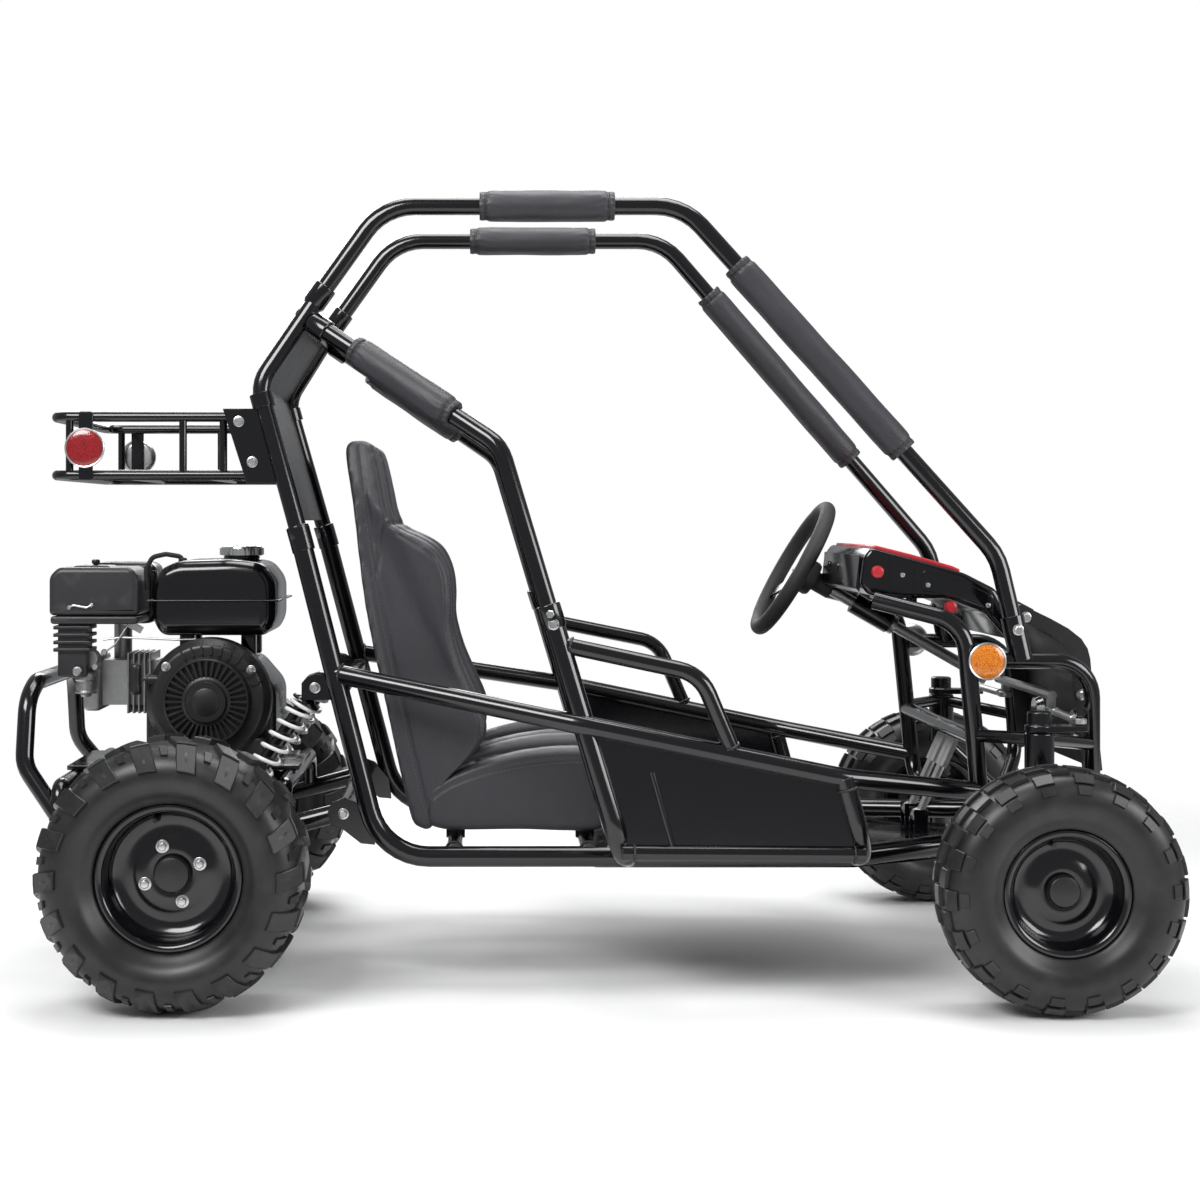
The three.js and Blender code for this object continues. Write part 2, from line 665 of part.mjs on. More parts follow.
const link = {
  drop: 22, diameter: 16, halfLength: 150, guide: 32, guideThickness: 10, guideY: 85, prong: 5,
    prongLength: 8,
  prongRise: 9, pinRoom: 1.5,
};
const columnUp = point(Math.sin(column.tilt), 0, Math.cos(column.tilt));
const armTip = () => alongColumn(column.length - dropArm.thickness / 2).addScaledVector(columnUp,
  dropArm.reach);
const pinPlace = () => armTip().addScaledVector(columnAxis, dropArm.grip * dropArm.pinLength);
const linkPlace = (y) => pinPlace().setY(y).addScaledVector(up, -link.drop);

const wheel = { ring: 238, tube: 28, hub: 62, hubDepth: 44, spoke: 16, spokes: 3, boss: 34, bossDepth: 34 };
const dash = { halfWidth: 195, columnRoom: 3, postY: 110, post: 18, rim: 8, coverLift: 5, coverInset: 12 };
const dashShares = [[0.352, 0.507], [0.362, 0.493], [0.4, 0.4895], [0.46, 0.4895], [0.503, 0.472],
  [0.533, 0.434], [0.534, 0.47], [0.518, 0.502], [0.48, 0.522], [0.365, 0.556], [0.357, 0.545]];
const nose = { halfWidth: 205, thickness: 4, flange: 30, lamp: 60, lampDepth: 34, lampY: 120, brow: 10 };
const noseShares = [[0.5475, 0.482], [0.62, 0.437], [0.6345, 0.377], [0.6455, 0.266]];
const noseTab = { alongShare: 0.566, highShare: 0.468, lowShare: 0.452, thickness: 5 };
const dashCrossShare = 0.62;
const hoopStartShare = 0.2;
const lowArmShares = { rear: 0.8, front: 0.75 };

function frontFrame() {
  const parts = [];
  const bores = [];
  for (const side of Object.values(sides)) {
    const pillar = pillarSocket(side);
    const upright = uprightPath(side);
    const hoopStart = between(upright[1], upright[2], hoopStartShare);
    parts.push(tube(upright, tubes.front, tubes.bend));
    parts.push(tube([hoopStart, spot("hoopFront", side), spot("hoopLow", side), spot("bumperEnd", side)],
      tubes.hoop, tubes.bend, slimSides));
    parts.push(bar(pillar.mouth, spot("pillarFoot", side), tubes.leg + 2 * tubes.socketWall));
    bores.push(pillar.bore);
    const high = kingpinPlace(side, kingpin.housingTop - tubes.arm / 2);
    const low = kingpinPlace(side, kingpin.housingLow + tubes.arm / 2);
    parts.push(bar(high, atHeight(upright[1], upright[2], kingpin.rearRoot), tubes.arm, slimSides));
    parts.push(bar(high, atHeight(spot("hoopFront", side), spot("hoopLow", side), kingpin.frontRoot),
      tubes.arm, slimSides));
    parts.push(bar(low, between(upright[2], upright[3], lowArmShares.rear), tubes.arm, slimSides));
    parts.push(bar(low, between(spot("hoopLow", side), spot("bumperEnd", side), lowArmShares.front),
      tubes.arm, slimSides));
    parts.push(bar(kingpinPlace(side, kingpin.housingLow), kingpinPlace(side, kingpin.housingTop),
      kingpin.housing, roundSides));
    bores.push(bar(kingpinPlace(side, kingpin.housingLow - tubes.arm),
      kingpinPlace(side, kingpin.housingTop + tubes.arm), boreFor(kingpin.pin, slip, roundSides),
        roundSides));
    const eye = linkPlace(side * link.guideY);
    parts.push(sidePlate(lugOutline(eye, spot("bumperEnd"), link.guide / 2), eye.y, link.guideThickness));
    bores.push(bar(linkPlace(side * (link.guideY - link.guideThickness)),
      linkPlace(side * (link.guideY + link.guideThickness)), boreFor(link.diameter)));
  }
  const crossAt = (place, diameter) => bar(place(-1), place(1), diameter, slimSides);
  parts.push(crossAt((side) => between(spot("dashHorn", side), spot("uprightTop", side), dashCrossShare),
    tubes.cross));
  parts.push(crossAt((side) => spot("bumperEnd", side).add(outward(side).multiplyScalar(overrun)),
    tubes.front));
  parts.push(crossAt((side) => between(spot("uprightTop", side), spot("uprightLow", side), 0.62),
    tubes.cross));
  const dashCross = between(spot("dashHorn"), spot("uprightTop"), dashCrossShare);
  const dashUnder = heightAt(dashShares[3][1]) - gap;
  for (const side of Object.values(sides)) {
    const foot = dashCross.clone().setY(side * dash.postY);
    parts.push(bar(foot, foot.clone().setZ(dashUnder), dash.post, slimSides));
    const [tabX, tabHigh, tabLow] = [alongAt(noseTab.alongShare), heightAt(noseTab.highShare),
      heightAt(noseTab.lowShare)];
    const tabY = side * (nose.halfWidth + gap);
    const hoop = spot("hoopFront", side);
    parts.push(sheet([point(tabX, hoop.y, hoop.z), point(tabX, tabY, tabLow), point(tabX, tabY, tabHigh),
      point(tabX, hoop.y, hoop.z + tubes.hoop / 2)], noseTab.thickness));
  }
  const sleeveStart = alongColumn(columnSleeveStart);
  const sleeveEnd = alongColumn(columnSleeveStart + column.sleeveLength);
  parts.push(bar(sleeveStart, sleeveEnd, column.sleeve, roundSides));
  const crossMiddle = dashCross.clone().setY(column.wheelY);
  const sleeveMiddle = between(sleeveStart, sleeveEnd, 0.5);
  parts.push(bar(crossMiddle, sleeveMiddle, tubes.arm, slimSides));
  bores.push(bar(sleeveStart.clone().addScaledVector(columnAxis, -overrun),
    sleeveEnd.clone().addScaledVector(columnAxis, overrun), boreFor(column.diameter)));
  return cut(join(parts), bores, Object.values(sides).map((side) => cope(railPath(side), tubes.rail,
    tubes.footBend)));
}
addPiece("front_frame", frontFrame(), finishes.blackPaint);

// Dash housing, its raised top cover, and the kill switch

/** A side outline swept across the kart, with its edges rounded off by a bevel. */
function moulding(outline, halfWidth, rim, segments = 2) {
  const shape = new THREE.Shape(outline.map(([x, z]) => new THREE.Vector2(x, z)));
  const geometry = new THREE.ExtrudeGeometry(shape, {
    depth: 2 * (halfWidth - rim), bevelEnabled: true, bevelThickness: rim, bevelSize: rim,
      bevelOffset: -rim,
    bevelSegments: segments,
  });
  geometry.rotateX(Math.PI / 2);
  geometry.translate(0, halfWidth - rim, 0);
  return solid(geometry);
}

const onFrame = (shares) => shares.map(([alongShare, upShare]) => [alongAt(alongShare), heightAt(upShare)]);

function dashHousing() {
  const body = moulding(onFrame(dashShares), dash.halfWidth, dash.rim);
  const [[frontX, frontZ], [rearX, rearZ]] = onFrame([dashShares[8], dashShares[9]]);
  const slope = Math.atan2(rearZ - frontZ, frontX - rearX);
  const cover = new THREE.BoxGeometry(Math.hypot(frontX - rearX, rearZ - frontZ) - dash.coverInset,
    2 * (dash.halfWidth - dash.coverInset), 2 * dash.coverLift);
  cover.rotateY(slope);
  cover.translate((frontX + rearX) / 2, 0, (frontZ + rearZ) / 2);
  return join(body, solid(cover));
}

function clearOfFrontFrame(made) {
  const runs = Object.values(sides).flatMap((side) => [
    cope(uprightPath(side), tubes.front),
    cope([spot("pillarBend", side), spot("pillarFoot", side)], tubes.leg + 2 * tubes.socketWall),
  ]);
  return cut(made, runs);
}
const killSwitch = { diameter: 20, height: 9, stem: 10, stemLength: 12, travel: 3, alongShare: 0.372,
  upShare: 0.524,
  brimShare: 0.6, faceShare: 0.8 };
const killSwitchPlace = () => point(alongAt(killSwitch.alongShare), -dash.halfWidth,
  heightAt(killSwitch.upShare));

const columnRoom = bar(alongColumn(0), alongColumn(column.length), wheel.hub + 2 * dash.columnRoom, 12);
const stemPocket = bar(killSwitchPlace().addScaledVector(left, killSwitch.stemLength + killSwitch.travel),
  killSwitchPlace().addScaledVector(left, -dash.halfWidth), boreFor(killSwitch.stem));
addPiece("dash_housing", cut(clearOfFrontFrame(dashHousing()), columnRoom, stemPocket), finishes.plastic);

function killSwitchButton() {
  const base = killSwitchPlace().addScaledVector(left, killSwitch.stemLength - killSwitch.travel - gap);
  const edge = killSwitch.diameter / 2;
  const out = killSwitch.stemLength;
  return turned([[0, 0], [killSwitch.stem / 2, 0], [killSwitch.stem / 2, out], [edge, out], [edge, out
    + killSwitch.brimShare * killSwitch.height],
    [killSwitch.faceShare * edge, out + killSwitch.height], [0, out + killSwitch.height]], base,
      outward(-1), roundSides);
}
addPiece("kill_switch", killSwitchButton(), finishes.red);

// Nose fairing: a bent sheet with side flanges and two headlamp shells

function noseFairing() {
  const line = onFrame(noseShares);
  const back = line.map(([x, z], index) => {
    const [, nextZ] = line[Math.min(index + 1, line.length - 1)];
    const [, lastZ] = line[Math.max(index - 1, 0)];
    const steep = Math.abs(lastZ - nextZ) > nose.flange ? 1 : 0;
    return [x - nose.thickness, z - nose.thickness * (1 - 0.5 * steep)];
  }).reverse();
  const skin = sidePlate([...line, ...back], 0, 2 * nose.halfWidth);
  const flangeLine = line.map(([x, z]) => [x - nose.flange, z - nose.brow]).reverse();
  const flanges = Object.values(sides).map((side) => sidePlate([...line, ...flangeLine],
    side * (nose.halfWidth - nose.thickness / 2), nose.thickness));
  const lampX = 0.5 * (line[1][0] + line[2][0]);
  const lampZ = 0.5 * (line[2][1] + line[3][1]);
  const lamps = Object.values(sides).map((side) => {
    const radius = nose.lamp / 2;
    const base = point(lampX, side * nose.lampY, lampZ);
    return turned([[0, 0], [0.7 * radius, 0], [radius, 0.5 * nose.lampDepth], [radius, nose.lampDepth],
      [0.85 * radius, nose.lampDepth], [0, 0.85 * nose.lampDepth]], base, forward, 10);
  });
  return join(skin, flanges, lamps);
}
addPiece("nose_fairing", noseFairing(), finishes.plastic);

// Seats: one moulded cushion each, with side bolsters, a headrest and a waist

const seatPlaces = { rearShare: -0.28, crownShare: 0.115, bolsterBlend: [0, 1, 0.45, 0, 0.45, 1, 0],
  edgeBlend: 0.86, edgeShare: 0.97 };
const seatSections = [-1, -0.93, -0.62, 0, 0.62, 0.93, 1];
// Each row: bolster along and up, middle along and up, and half width, as shares of the seat's sizes
const seatShares = [
  [1, 0, 1, 0, 0.94], [0.34, 0, 0.34, 0, 0.94], [0.265, 0.025, 0.265, 0.025, 0.96],
  [0.17, 0.305, 0.18, 0.305, 1], [0.088, 0.57, 0.1, 0.57, 1], [0.038, 0.828, 0.05, 0.828, 0.8],
  [0, 0.98, 0, 0.98, 0.62], [0.01, 1, 0.01, 1, 0.58], [0.1, 1, 0.1, 1, 0.58],
  [0.125, 0.97, 0.12, 0.97, 0.62], [0.17, 0.815, 0.155, 0.815, 0.8], [0.205, 0.78, 0.165, 0.78, 0.88],
  [0.34, 0.735, 0.18, 0.73, 0.96], [0.41, 0.655, 0.195, 0.645, 1], [0.41, 0.52, 0.215, 0.52, 1],
  [0.45, 0.43, 0.235, 0.42, 1], [0.52, 0.33, 0.26, 0.31, 1], [0.545, 0.265, 0.28, 0.22, 1],
  [0.5, 0.19, 0.31, 0.13, 1], [0.4, 0.13, 0.36, 0.1, 0.99], [0.56, 0.175, 0.55, 0.1, 1],
  [0.8, 0.205, 0.8, 0.115, 1], [0.965, 0.21, 0.965, 0.13, 0.99], [1, 0.17, 1, 0.1, 0.97],
];

/** Skins a closed loop of points through several sections and closes both ends. */
function loft(sections) {
  const count = sections[0].length;
  const positions = sections.flat().flatMap((place) => [place.x, place.y, place.z]);
  const indices = [];
  for (let row = 0; row < sections.length - 1; row += 1) {
    for (let column = 0; column < count; column += 1) {
      const here = row * count + column;
      const next = row * count + ((column + 1) % count);
      indices.push(here, next, next + count, here, next + count, here + count);
    }
  }
  const closeEnd = (row, reversed) => {
    const flat = sections[row].map((place) => new THREE.Vector2(place.x, place.z));
    const loopTurn = Math.sign(THREE.ShapeUtils.area(flat));
    for (const corners of THREE.ShapeUtils.triangulateShape([...flat], [])) {
      const turn = Math.sign(THREE.ShapeUtils.area(corners.map((corner) => flat[corner])));
      const triangle = corners.map((corner) => row * count + corner);
      indices.push(...((turn === loopTurn) === reversed ? triangle.reverse() : triangle));
    }
  };
  closeEnd(0, true);
  closeEnd(sections.length - 1, false);
  const geometry = new THREE.BufferGeometry();
  geometry.setAttribute("position", new THREE.Float32BufferAttribute(positions, 3));
  geometry.setIndex(indices);
  return geometry;
}

function seat(side) {
  const middleY = side * seatSpacing / 2;
  const sections = seatSections.map((acrossShare, index) => {
    const blend = seatPlaces.bolsterBlend[index];
    const outermost = Math.abs(acrossShare) === 1;
    const drawn = outermost ? seatPlaces.edgeBlend : blend;
    const lowered = outermost ? seatPlaces.edgeShare : 1;
    return seatShares.map(([boldX, boldZ, midX, midZ, widthShare]) => {
      const alongShare = midX + (boldX - midX) * drawn;
      const upShare = (midZ + (boldZ - midZ) * drawn) * lowered;
      return point(alongAt(seatPlaces.rearShare) + alongShare * seatSize.depth,
        middleY + acrossShare * widthShare * seatSize.width / 2, seatBottom + gap
          + upShare * seatSize.height);
    });
  });
  const made = solid(loft(sections));
  return made.volume() < 0 ? solid(flipped(loft(sections))) : made;
}
addPair("seat", seat, finishes.vinyl);

// Rear rack and its reflectors

const rack = { length: 335.4, legGap: 6, topDrop: 12, lowRise: 14, corner: 30, bars: [0.074, 0.6, 0.79],
  slats: [0.3, 0.68],
  strip: 22, stripThickness: 3, stripShare: 0.155 };
const reflector = { stand: 1, diameter: 62, depth: 13, rim: 3, dome: 3, sideDiameter: 58 };
const rackHalfY = () => rackPlateY(1) - 1.5 * rackPlate.thickness - gap - tubes.rack / 2 + overrun / 2;
const rackSpan = () => {
  const top = legPoint(1, rackPlate.topShare);
  const low = legPoint(1, rackPlate.lowShare);
  const front = low.x - rackPlate.length / 2;
  const topZ = top.z - rack.topDrop;
  const lowZ = low.z + rack.lowRise;
  const legX = (z) => low.x + ((z - low.z) * (top.x - low.x)) / (top.z - low.z);
  const frontAt = (z) => legX(z) - tubes.leg / 2 - rack.legGap;
  return { front, rear: front - rack.length, topZ, lowZ, frontAt };
};

function rearRack() {
  const span = rackSpan();
  const half = rackHalfY();
  const hoopAt = (z) => tube([point(span.frontAt(z), -half, z), point(span.rear, -half, z),
    point(span.rear, half, z), point(span.frontAt(z), half, z)], tubes.rack, rack.corner, slimSides);
  const parts = [hoopAt(span.topZ), hoopAt(span.lowZ)];
  const along = (share) => span.rear + share * (span.front - span.rear);
  for (const side of Object.values(sides)) {
    const y = side * half;
    for (const share of rack.bars) {
      parts.push(bar(point(along(share), y, span.lowZ), point(along(share), y, span.topZ), tubes.rackBar,
        slimSides));
    }
    parts.push(sidePlate(rackPlateOutline(tubes.leg / 2 + rack.legGap), y + side * (tubes.rack / 2
      + rackPlate.thickness / 2 - overrun / 2), rackPlate.thickness));
    parts.push(block(point(along(rack.stripShare), y + side * (tubes.rack / 2 + rack.stripThickness / 2
      - overrun), (span.topZ + span.lowZ) / 2), rack.strip, rack.stripThickness, span.topZ - span.lowZ
      + tubes.rack / 2));
  }
  for (const share of rack.slats) {
    parts.push(bar(point(along(share), -half, span.lowZ), point(along(share), half, span.lowZ),
      tubes.rackBar, slimSides));
  }
  return join(parts);
}
addPiece("rear_rack", rearRack(), finishes.blackPaint);

/** A round reflector: a pan with a lens that domes out past its rim. */
function reflectorDisc(base, side, diameter) {
  const radius = diameter / 2;
  return turned([[0, 0], [0.8 * radius, 0], [radius, 0.4 * reflector.depth],
    [radius, reflector.depth - reflector.dome], [0, reflector.depth]], base, outward(side), 16);
}

addPair("tail_reflector", (side) => {
  const span = rackSpan();
  const face = rackHalfY() + tubes.rack / 2 + rack.stripThickness - overrun;
  return reflectorDisc(point(span.rear + rack.stripShare * (span.front - span.rear), side * (face + gap),
    (span.topZ + span.lowZ) / 2 - tubes.rack / 4), side, reflector.diameter);
}, finishes.red);

const sideReflectorShare = 0.13;
addPair("side_reflector", (side) => {
  const hoopStart = between(spot("uprightTop", side), spot("uprightLow", side), hoopStartShare);
  const place = between(hoopStart, spot("hoopFront", side), sideReflectorShare);
  const face = side * place.y + tubes.front / 2 + reflector.stand;
  return reflectorDisc(point(place.x, side * face, place.z), side, reflector.sideDiameter);
}, finishes.amber);

// Steering: wheel, column with its drop arm, sliding link, tie rods

function steeringWheel() {
  const turn = new THREE.Quaternion().setFromUnitVectors(up, columnAxis);
  const rim = new THREE.TorusGeometry(wheel.ring / 2, wheel.tube / 2, 6, 20);
  rim.applyQuaternion(turn);
  rim.translate(wheelCentre.x, wheelCentre.y, wheelCentre.z);
  const parts = [solid(rim)];
  const sidewards = left.clone();
  const upwards = columnAxis.clone().cross(sidewards).normalize();
  const hubCentre = alongColumn(wheel.hubDepth / 2);
  for (let spoke = 0; spoke < wheel.spokes; spoke += 1) {
    const angle = -Math.PI / 2 + (2 * Math.PI * spoke) / wheel.spokes;
    const reach = sidewards.clone().multiplyScalar(Math.cos(angle)).addScaledVector(upwards,
      -Math.sin(angle));
    parts.push(bar(hubCentre, wheelCentre.clone().addScaledVector(reach, wheel.ring / 2), wheel.spoke, 4));
  }
  parts.push(bar(alongColumn(wheel.tube / 4), alongColumn(wheel.hubDepth), wheel.hub, roundSides));
  parts.push(bar(alongColumn(wheel.hubDepth - overrun), alongColumn(wheel.hubDepth + wheel.bossDepth),
    wheel.boss, roundSides));
  return cut(join(parts), bar(alongColumn(wheel.hubDepth - column.diameter / 2),
    alongColumn(wheel.hubDepth + wheel.bossDepth + overrun), boreFor(column.diameter)));
}
addPiece("steering_wheel", steeringWheel(), finishes.rubber);

function steeringColumn() {
  const start = alongColumn(wheel.hubDepth - column.diameter / 2 + gap);
  const end = alongColumn(column.length);
  const arm = new THREE.BoxGeometry(dropArm.thickness, dropArm.width, dropArm.reach + dropArm.width);
  arm.rotateY(column.tilt);
  const middle = between(end.clone().addScaledVector(columnAxis, -dropArm.thickness / 2), armTip(), 0.5);
  arm.translate(middle.x, middle.y, middle.z);
  const collarPlace = alongColumn(columnSleeveStart + column.sleeveLength + gap);
  return join(bar(start, end, column.diameter), solid(arm),
    bar(collarPlace, collarPlace.clone().addScaledVector(columnAxis, column.diameter / 2), column.collar,
      roundSides),
    bar(armTip(), armTip().addScaledVector(columnAxis, dropArm.pinLength), dropArm.pin, 8));
}
addPiece("steering_column", steeringColumn(), finishes.steel);

const tieRod = { ball: 22, rod: 12, neck: 8, eyeThickness: 9, stud: 10 };
const armBall = (side) => point(axleX.front + kingpin.armLength, side * (kingpin.y - kingpin.armWidth / 4),
  kingpin.housingTop + kingpin.armLift + kingpin.armThickness / 2);

const rodEyeZ = armBall(1).z + kingpin.armThickness / 2 + gap + tieRod.eyeThickness / 2;

function steeringLink() {
  const pin = pinPlace();
  const low = linkPlace(0).z;
  const high = pin.z + link.prongRise;
  const prongs = [-1, 1].map((hand) => block(point(pin.x, pin.y + hand * (dropArm.pin / 2 + link.pinRoom
    + link.prong / 2), (low + high) / 2), link.prongLength, link.prong, high - low));
  const tabLow = rodEyeZ + tieRod.eyeThickness / 2 + gap;
  const tabs = Object.values(sides).map((side) => block(point(pin.x, side * link.halfLength, (tabLow
    + low) / 2),
    tieRod.rod, tieRod.rod, low - tabLow));
  const reachTo = pin.y + dropArm.pin / 2 + link.pinRoom + link.prong;
  return join(bar(linkPlace(-link.halfLength - tieRod.rod / 2), linkPlace(reachTo), link.diameter),
    prongs, tabs);
}
addPiece("steering_link", steeringLink(), finishes.steel);

addPair("tie_rod", (side) => {
  const ball = armBall(side).setZ(rodEyeZ);
  const inner = linkPlace(side * link.halfLength).setZ(rodEyeZ);
  const eye = (centre) => bar(centre.clone().addScaledVector(up, -tieRod.eyeThickness / 2),
    centre.clone().addScaledVector(up, tieRod.eyeThickness / 2), tieRod.ball, roundSides);
  const bore = bar(ball.clone().addScaledVector(up, -tieRod.ball), ball.clone().addScaledVector(up,
    tieRod.ball),
    boreFor(tieRod.stud));
  return cut(join(eye(ball), eye(inner), bar(ball, inner, tieRod.neck, 6),
    bar(between(ball, inner, 0.2), between(ball, inner, 0.8), tieRod.rod, 6)), bore);
}, finishes.steel);

// Front corners: kingpin with its steering arm, and the knuckle that slides on it

const knuckle = { stubSides: 14, sleeve: 40, top: 244, low: 150, stub: 20, stubRoot: 34, stubEndInset: 8,
  shoulder: 34 };

addPair("kingpin", (side) => {
  const armZ = kingpin.housingTop + kingpin.armLift + kingpin.armThickness / 2;
  const ball = armBall(side);
  const top = kingpinPlace(side, armZ);
  const arm = join(
    block(point((ball.x + top.x) / 2, (ball.y + top.y) / 2, armZ), ball.x - top.x, kingpin.armWidth,
      kingpin.armThickness),
    bar(ball.clone().addScaledVector(up, -kingpin.armThickness / 2),
      ball.clone().addScaledVector(up, kingpin.armThickness / 2), kingpin.armWidth, roundSides),
    bar(ball, ball.clone().addScaledVector(up, kingpin.armThickness / 2 + tieRod.eyeThickness
      + 2 * overrun),
      tieRod.stud),
    bar(kingpinPlace(side, armZ - kingpin.armThickness / 2), kingpinPlace(side, armZ
      + kingpin.armThickness / 2),
      kingpin.housing, roundSides),
  );
  const rise = kingpin.capHeight / 6;
  const capStart = armZ - kingpin.lowEnd;
  const wide = kingpin.cap / 2;
  const narrow = 0.84 * wide;
  const pleats = [1, 3, 5].flatMap((step) => [[wide, capStart + step * rise], [narrow, capStart
    + (step + 1) * rise]]);
  const pin = turned([[0, 0], [kingpin.pin / 2, 0], [kingpin.pin / 2, capStart], ...pleats,
    [0, capStart + kingpin.capHeight]], kingpinPlace(side, kingpin.lowEnd), up, roundSides);
  return join(arm, pin);
}, finishes.blackPaint);

addPair("knuckle", (side) => {
  const stubEnd = frontWheel.trackHalf
    + frontWheel.tyreWidth / 2 - knuckle.stubEndInset - frontWheel.capDiameter;
  const body = bar(kingpinPlace(side, knuckle.low), kingpinPlace(side, knuckle.top), knuckle.sleeve,
    roundSides);
  const stub = bar(kingpinPlace(side, axleHeight.front), point(axleX.front, side * stubEnd,
    axleHeight.front),
    knuckle.stub, knuckle.stubSides);
  const shoulder = bar(kingpinPlace(side, axleHeight.front), point(axleX.front,
    side * (frontWheel.trackHalf - knuckle.shoulder), axleHeight.front), knuckle.stubRoot, roundSides);
  return cut(join(body, stub, shoulder), bar(kingpinPlace(side, knuckle.low - overrun),
    kingpinPlace(side, knuckle.top + overrun), kingpin.pin + 2 * slip, roundSides));
}, finishes.blackPaint);

// Wheels

// Tyre and rim shares: of half the tyre's width, of the tyre's wall, and of the rim's own radii
const tyreShares = { bead: 0.62, tread: 0.66, lugShoulder: 0.62, lowShoulder: 0.56 };
const rimShares = { face: 0.25, cap: 0.8, dish: 0.55, well: 0.2, hub: 0.7, hubWide: 1.2, bore: 0.3 };
const rimFace = (size) => rimShares.face * tyreShares.bead * size.tyreWidth / 2;

/** A tyre as a closed ring whose shoulder rises into lugs. */
function tyre(size, axle, side) {
  const outer = size.tyreDiameter / 2;
  const low = outer - size.lugHeight;
  const columns = 2 * size.lugs;
  const lip = (size.rimDiameter / 2 + gap) / Math.cos(Math.PI / columns);
  const half = size.tyreWidth / 2;
  const bead = tyreShares.bead * half;
  const crown = (raised) => {
    const top = raised ? outer : low;
    const bulge = raised ? half : half - size.lugHeight / 2;
    const shoulder = lip + (raised ? tyreShares.lugShoulder : tyreShares.lowShoulder) * (outer - lip);
    return [[lip, -bead], [shoulder, -bulge], [top, -tyreShares.tread * half],
      [top, tyreShares.tread * half],
      [shoulder, bulge], [lip, bead]];
  };
  const centre = point(axle.x, side * size.trackHalf, axle.z);
  const ring = [];
  for (let index = 0; index < columns; index += 1) {
    const angle = (2 * Math.PI * index) / columns - Math.PI / 2;
    ring.push(crown(index % 2 === 0).map(([radius, along]) => point(centre.x + radius * Math.cos(angle),
      centre.y + along, centre.z + radius * Math.sin(angle))));
  }
  return closedRing(ring);
}

/** Skins sections that stand round a circle, the last joined to the first. */
function closedRing(ring) {
  const count = ring[0].length;
  const positions = ring.flat().flatMap((place) => [place.x, place.y, place.z]);
  const indices = [];
  ring.forEach((_, row) => {
    const nextRow = (row + 1) % ring.length;
    for (let column = 0; column < count; column += 1) {
      const next = (column + 1) % count;
      const [a, b] = [row * count + column, row * count + next];
      const [c, d] = [nextRow * count + next, nextRow * count + column];
      indices.push(a, b, c, a, c, d);
    }
  });
  const geometry = new THREE.BufferGeometry();
  geometry.setAttribute("position", new THREE.Float32BufferAttribute(positions, 3));
  geometry.setIndex(indices);
  const made = solid(geometry);
  return made.volume() < 0 ? solid(flipped(geometry)) : made;
}

const frontAxle = point(axleX.front, 0, axleHeight.front);
const rearAxle = point(axleX.rear, 0, axleHeight.rear);
addPair("front_tyre", (side) => tyre(frontWheel, frontAxle, side), finishes.rubber);
addPair("rear_tyre", (side) => tyre(rearWheel, rearAxle, side), finishes.rubber);

/** A pressed rim: bead seats, well, dished disc, hub and cap, bored for its axle. */
function rim(size, axle, side, boreDiameter, boreSides) {
  const seat = size.rimDiameter / 2 - size.wall - gap;
  const flange = size.rimDiameter / 2;
  const half = tyreShares.bead * size.tyreWidth / 2;
  const cap = size.capDiameter / 2;
  const face = rimFace(size);
  const deep = seat - 2 * size.wall;
  const hub = rimShares.hubWide * cap;
  const profile = [[0, face + cap], [rimShares.cap * cap, face + cap], [cap, face],
    [rimShares.dish * seat, face - size.wall], [deep, half], [flange, half + size.wall], [flange, half
      + gap],
    [seat, half + gap], [seat, -half - gap], [flange, -half - gap], [flange, -half - size.wall],
    [deep, -rimShares.well * half], [hub, -rimShares.well * half], [hub, -rimShares.hub * half],
    [0, -rimShares.hub * half]].reverse();
  const base = point(axle.x, side * size.trackHalf, axle.z);
  const body = turned(profile, base, outward(side), 12);
  const bore = bar(base.clone().add(outward(-side).multiplyScalar(half)),
    base.clone().add(outward(side).multiplyScalar(face + rimShares.bore * cap)), boreDiameter, boreSides);
  return { body, bore, base, face };
}

addPair("front_rim", (side) => {
  const made = rim(frontWheel, frontAxle, side, boreFor(knuckle.stub, slip, knuckle.stubSides),
    knuckle.stubSides);
  return cut(made.body, made.bore);
}, finishes.blackPaint);

const axle = { diameter: 30, endGap: 1.5 };
addPair("rear_rim", (side) => {
  const made = rim(rearWheel, rearAxle, side, axle.diameter + 2 * slip, roundSides);
  return cut(made.body, made.bore);
}, finishes.blackPaint);

// Pedals, each on a pin between two ears that stand on the floor pan

addPiece("throttle_pedal", pedalPiece(pedal.throttleY), finishes.steel);
addPiece("brake_pedal", pedalPiece(pedal.brakeY), finishes.steel);

// Swingarm: pivot tube, arms, bearing housings, engine plate and the rear guard

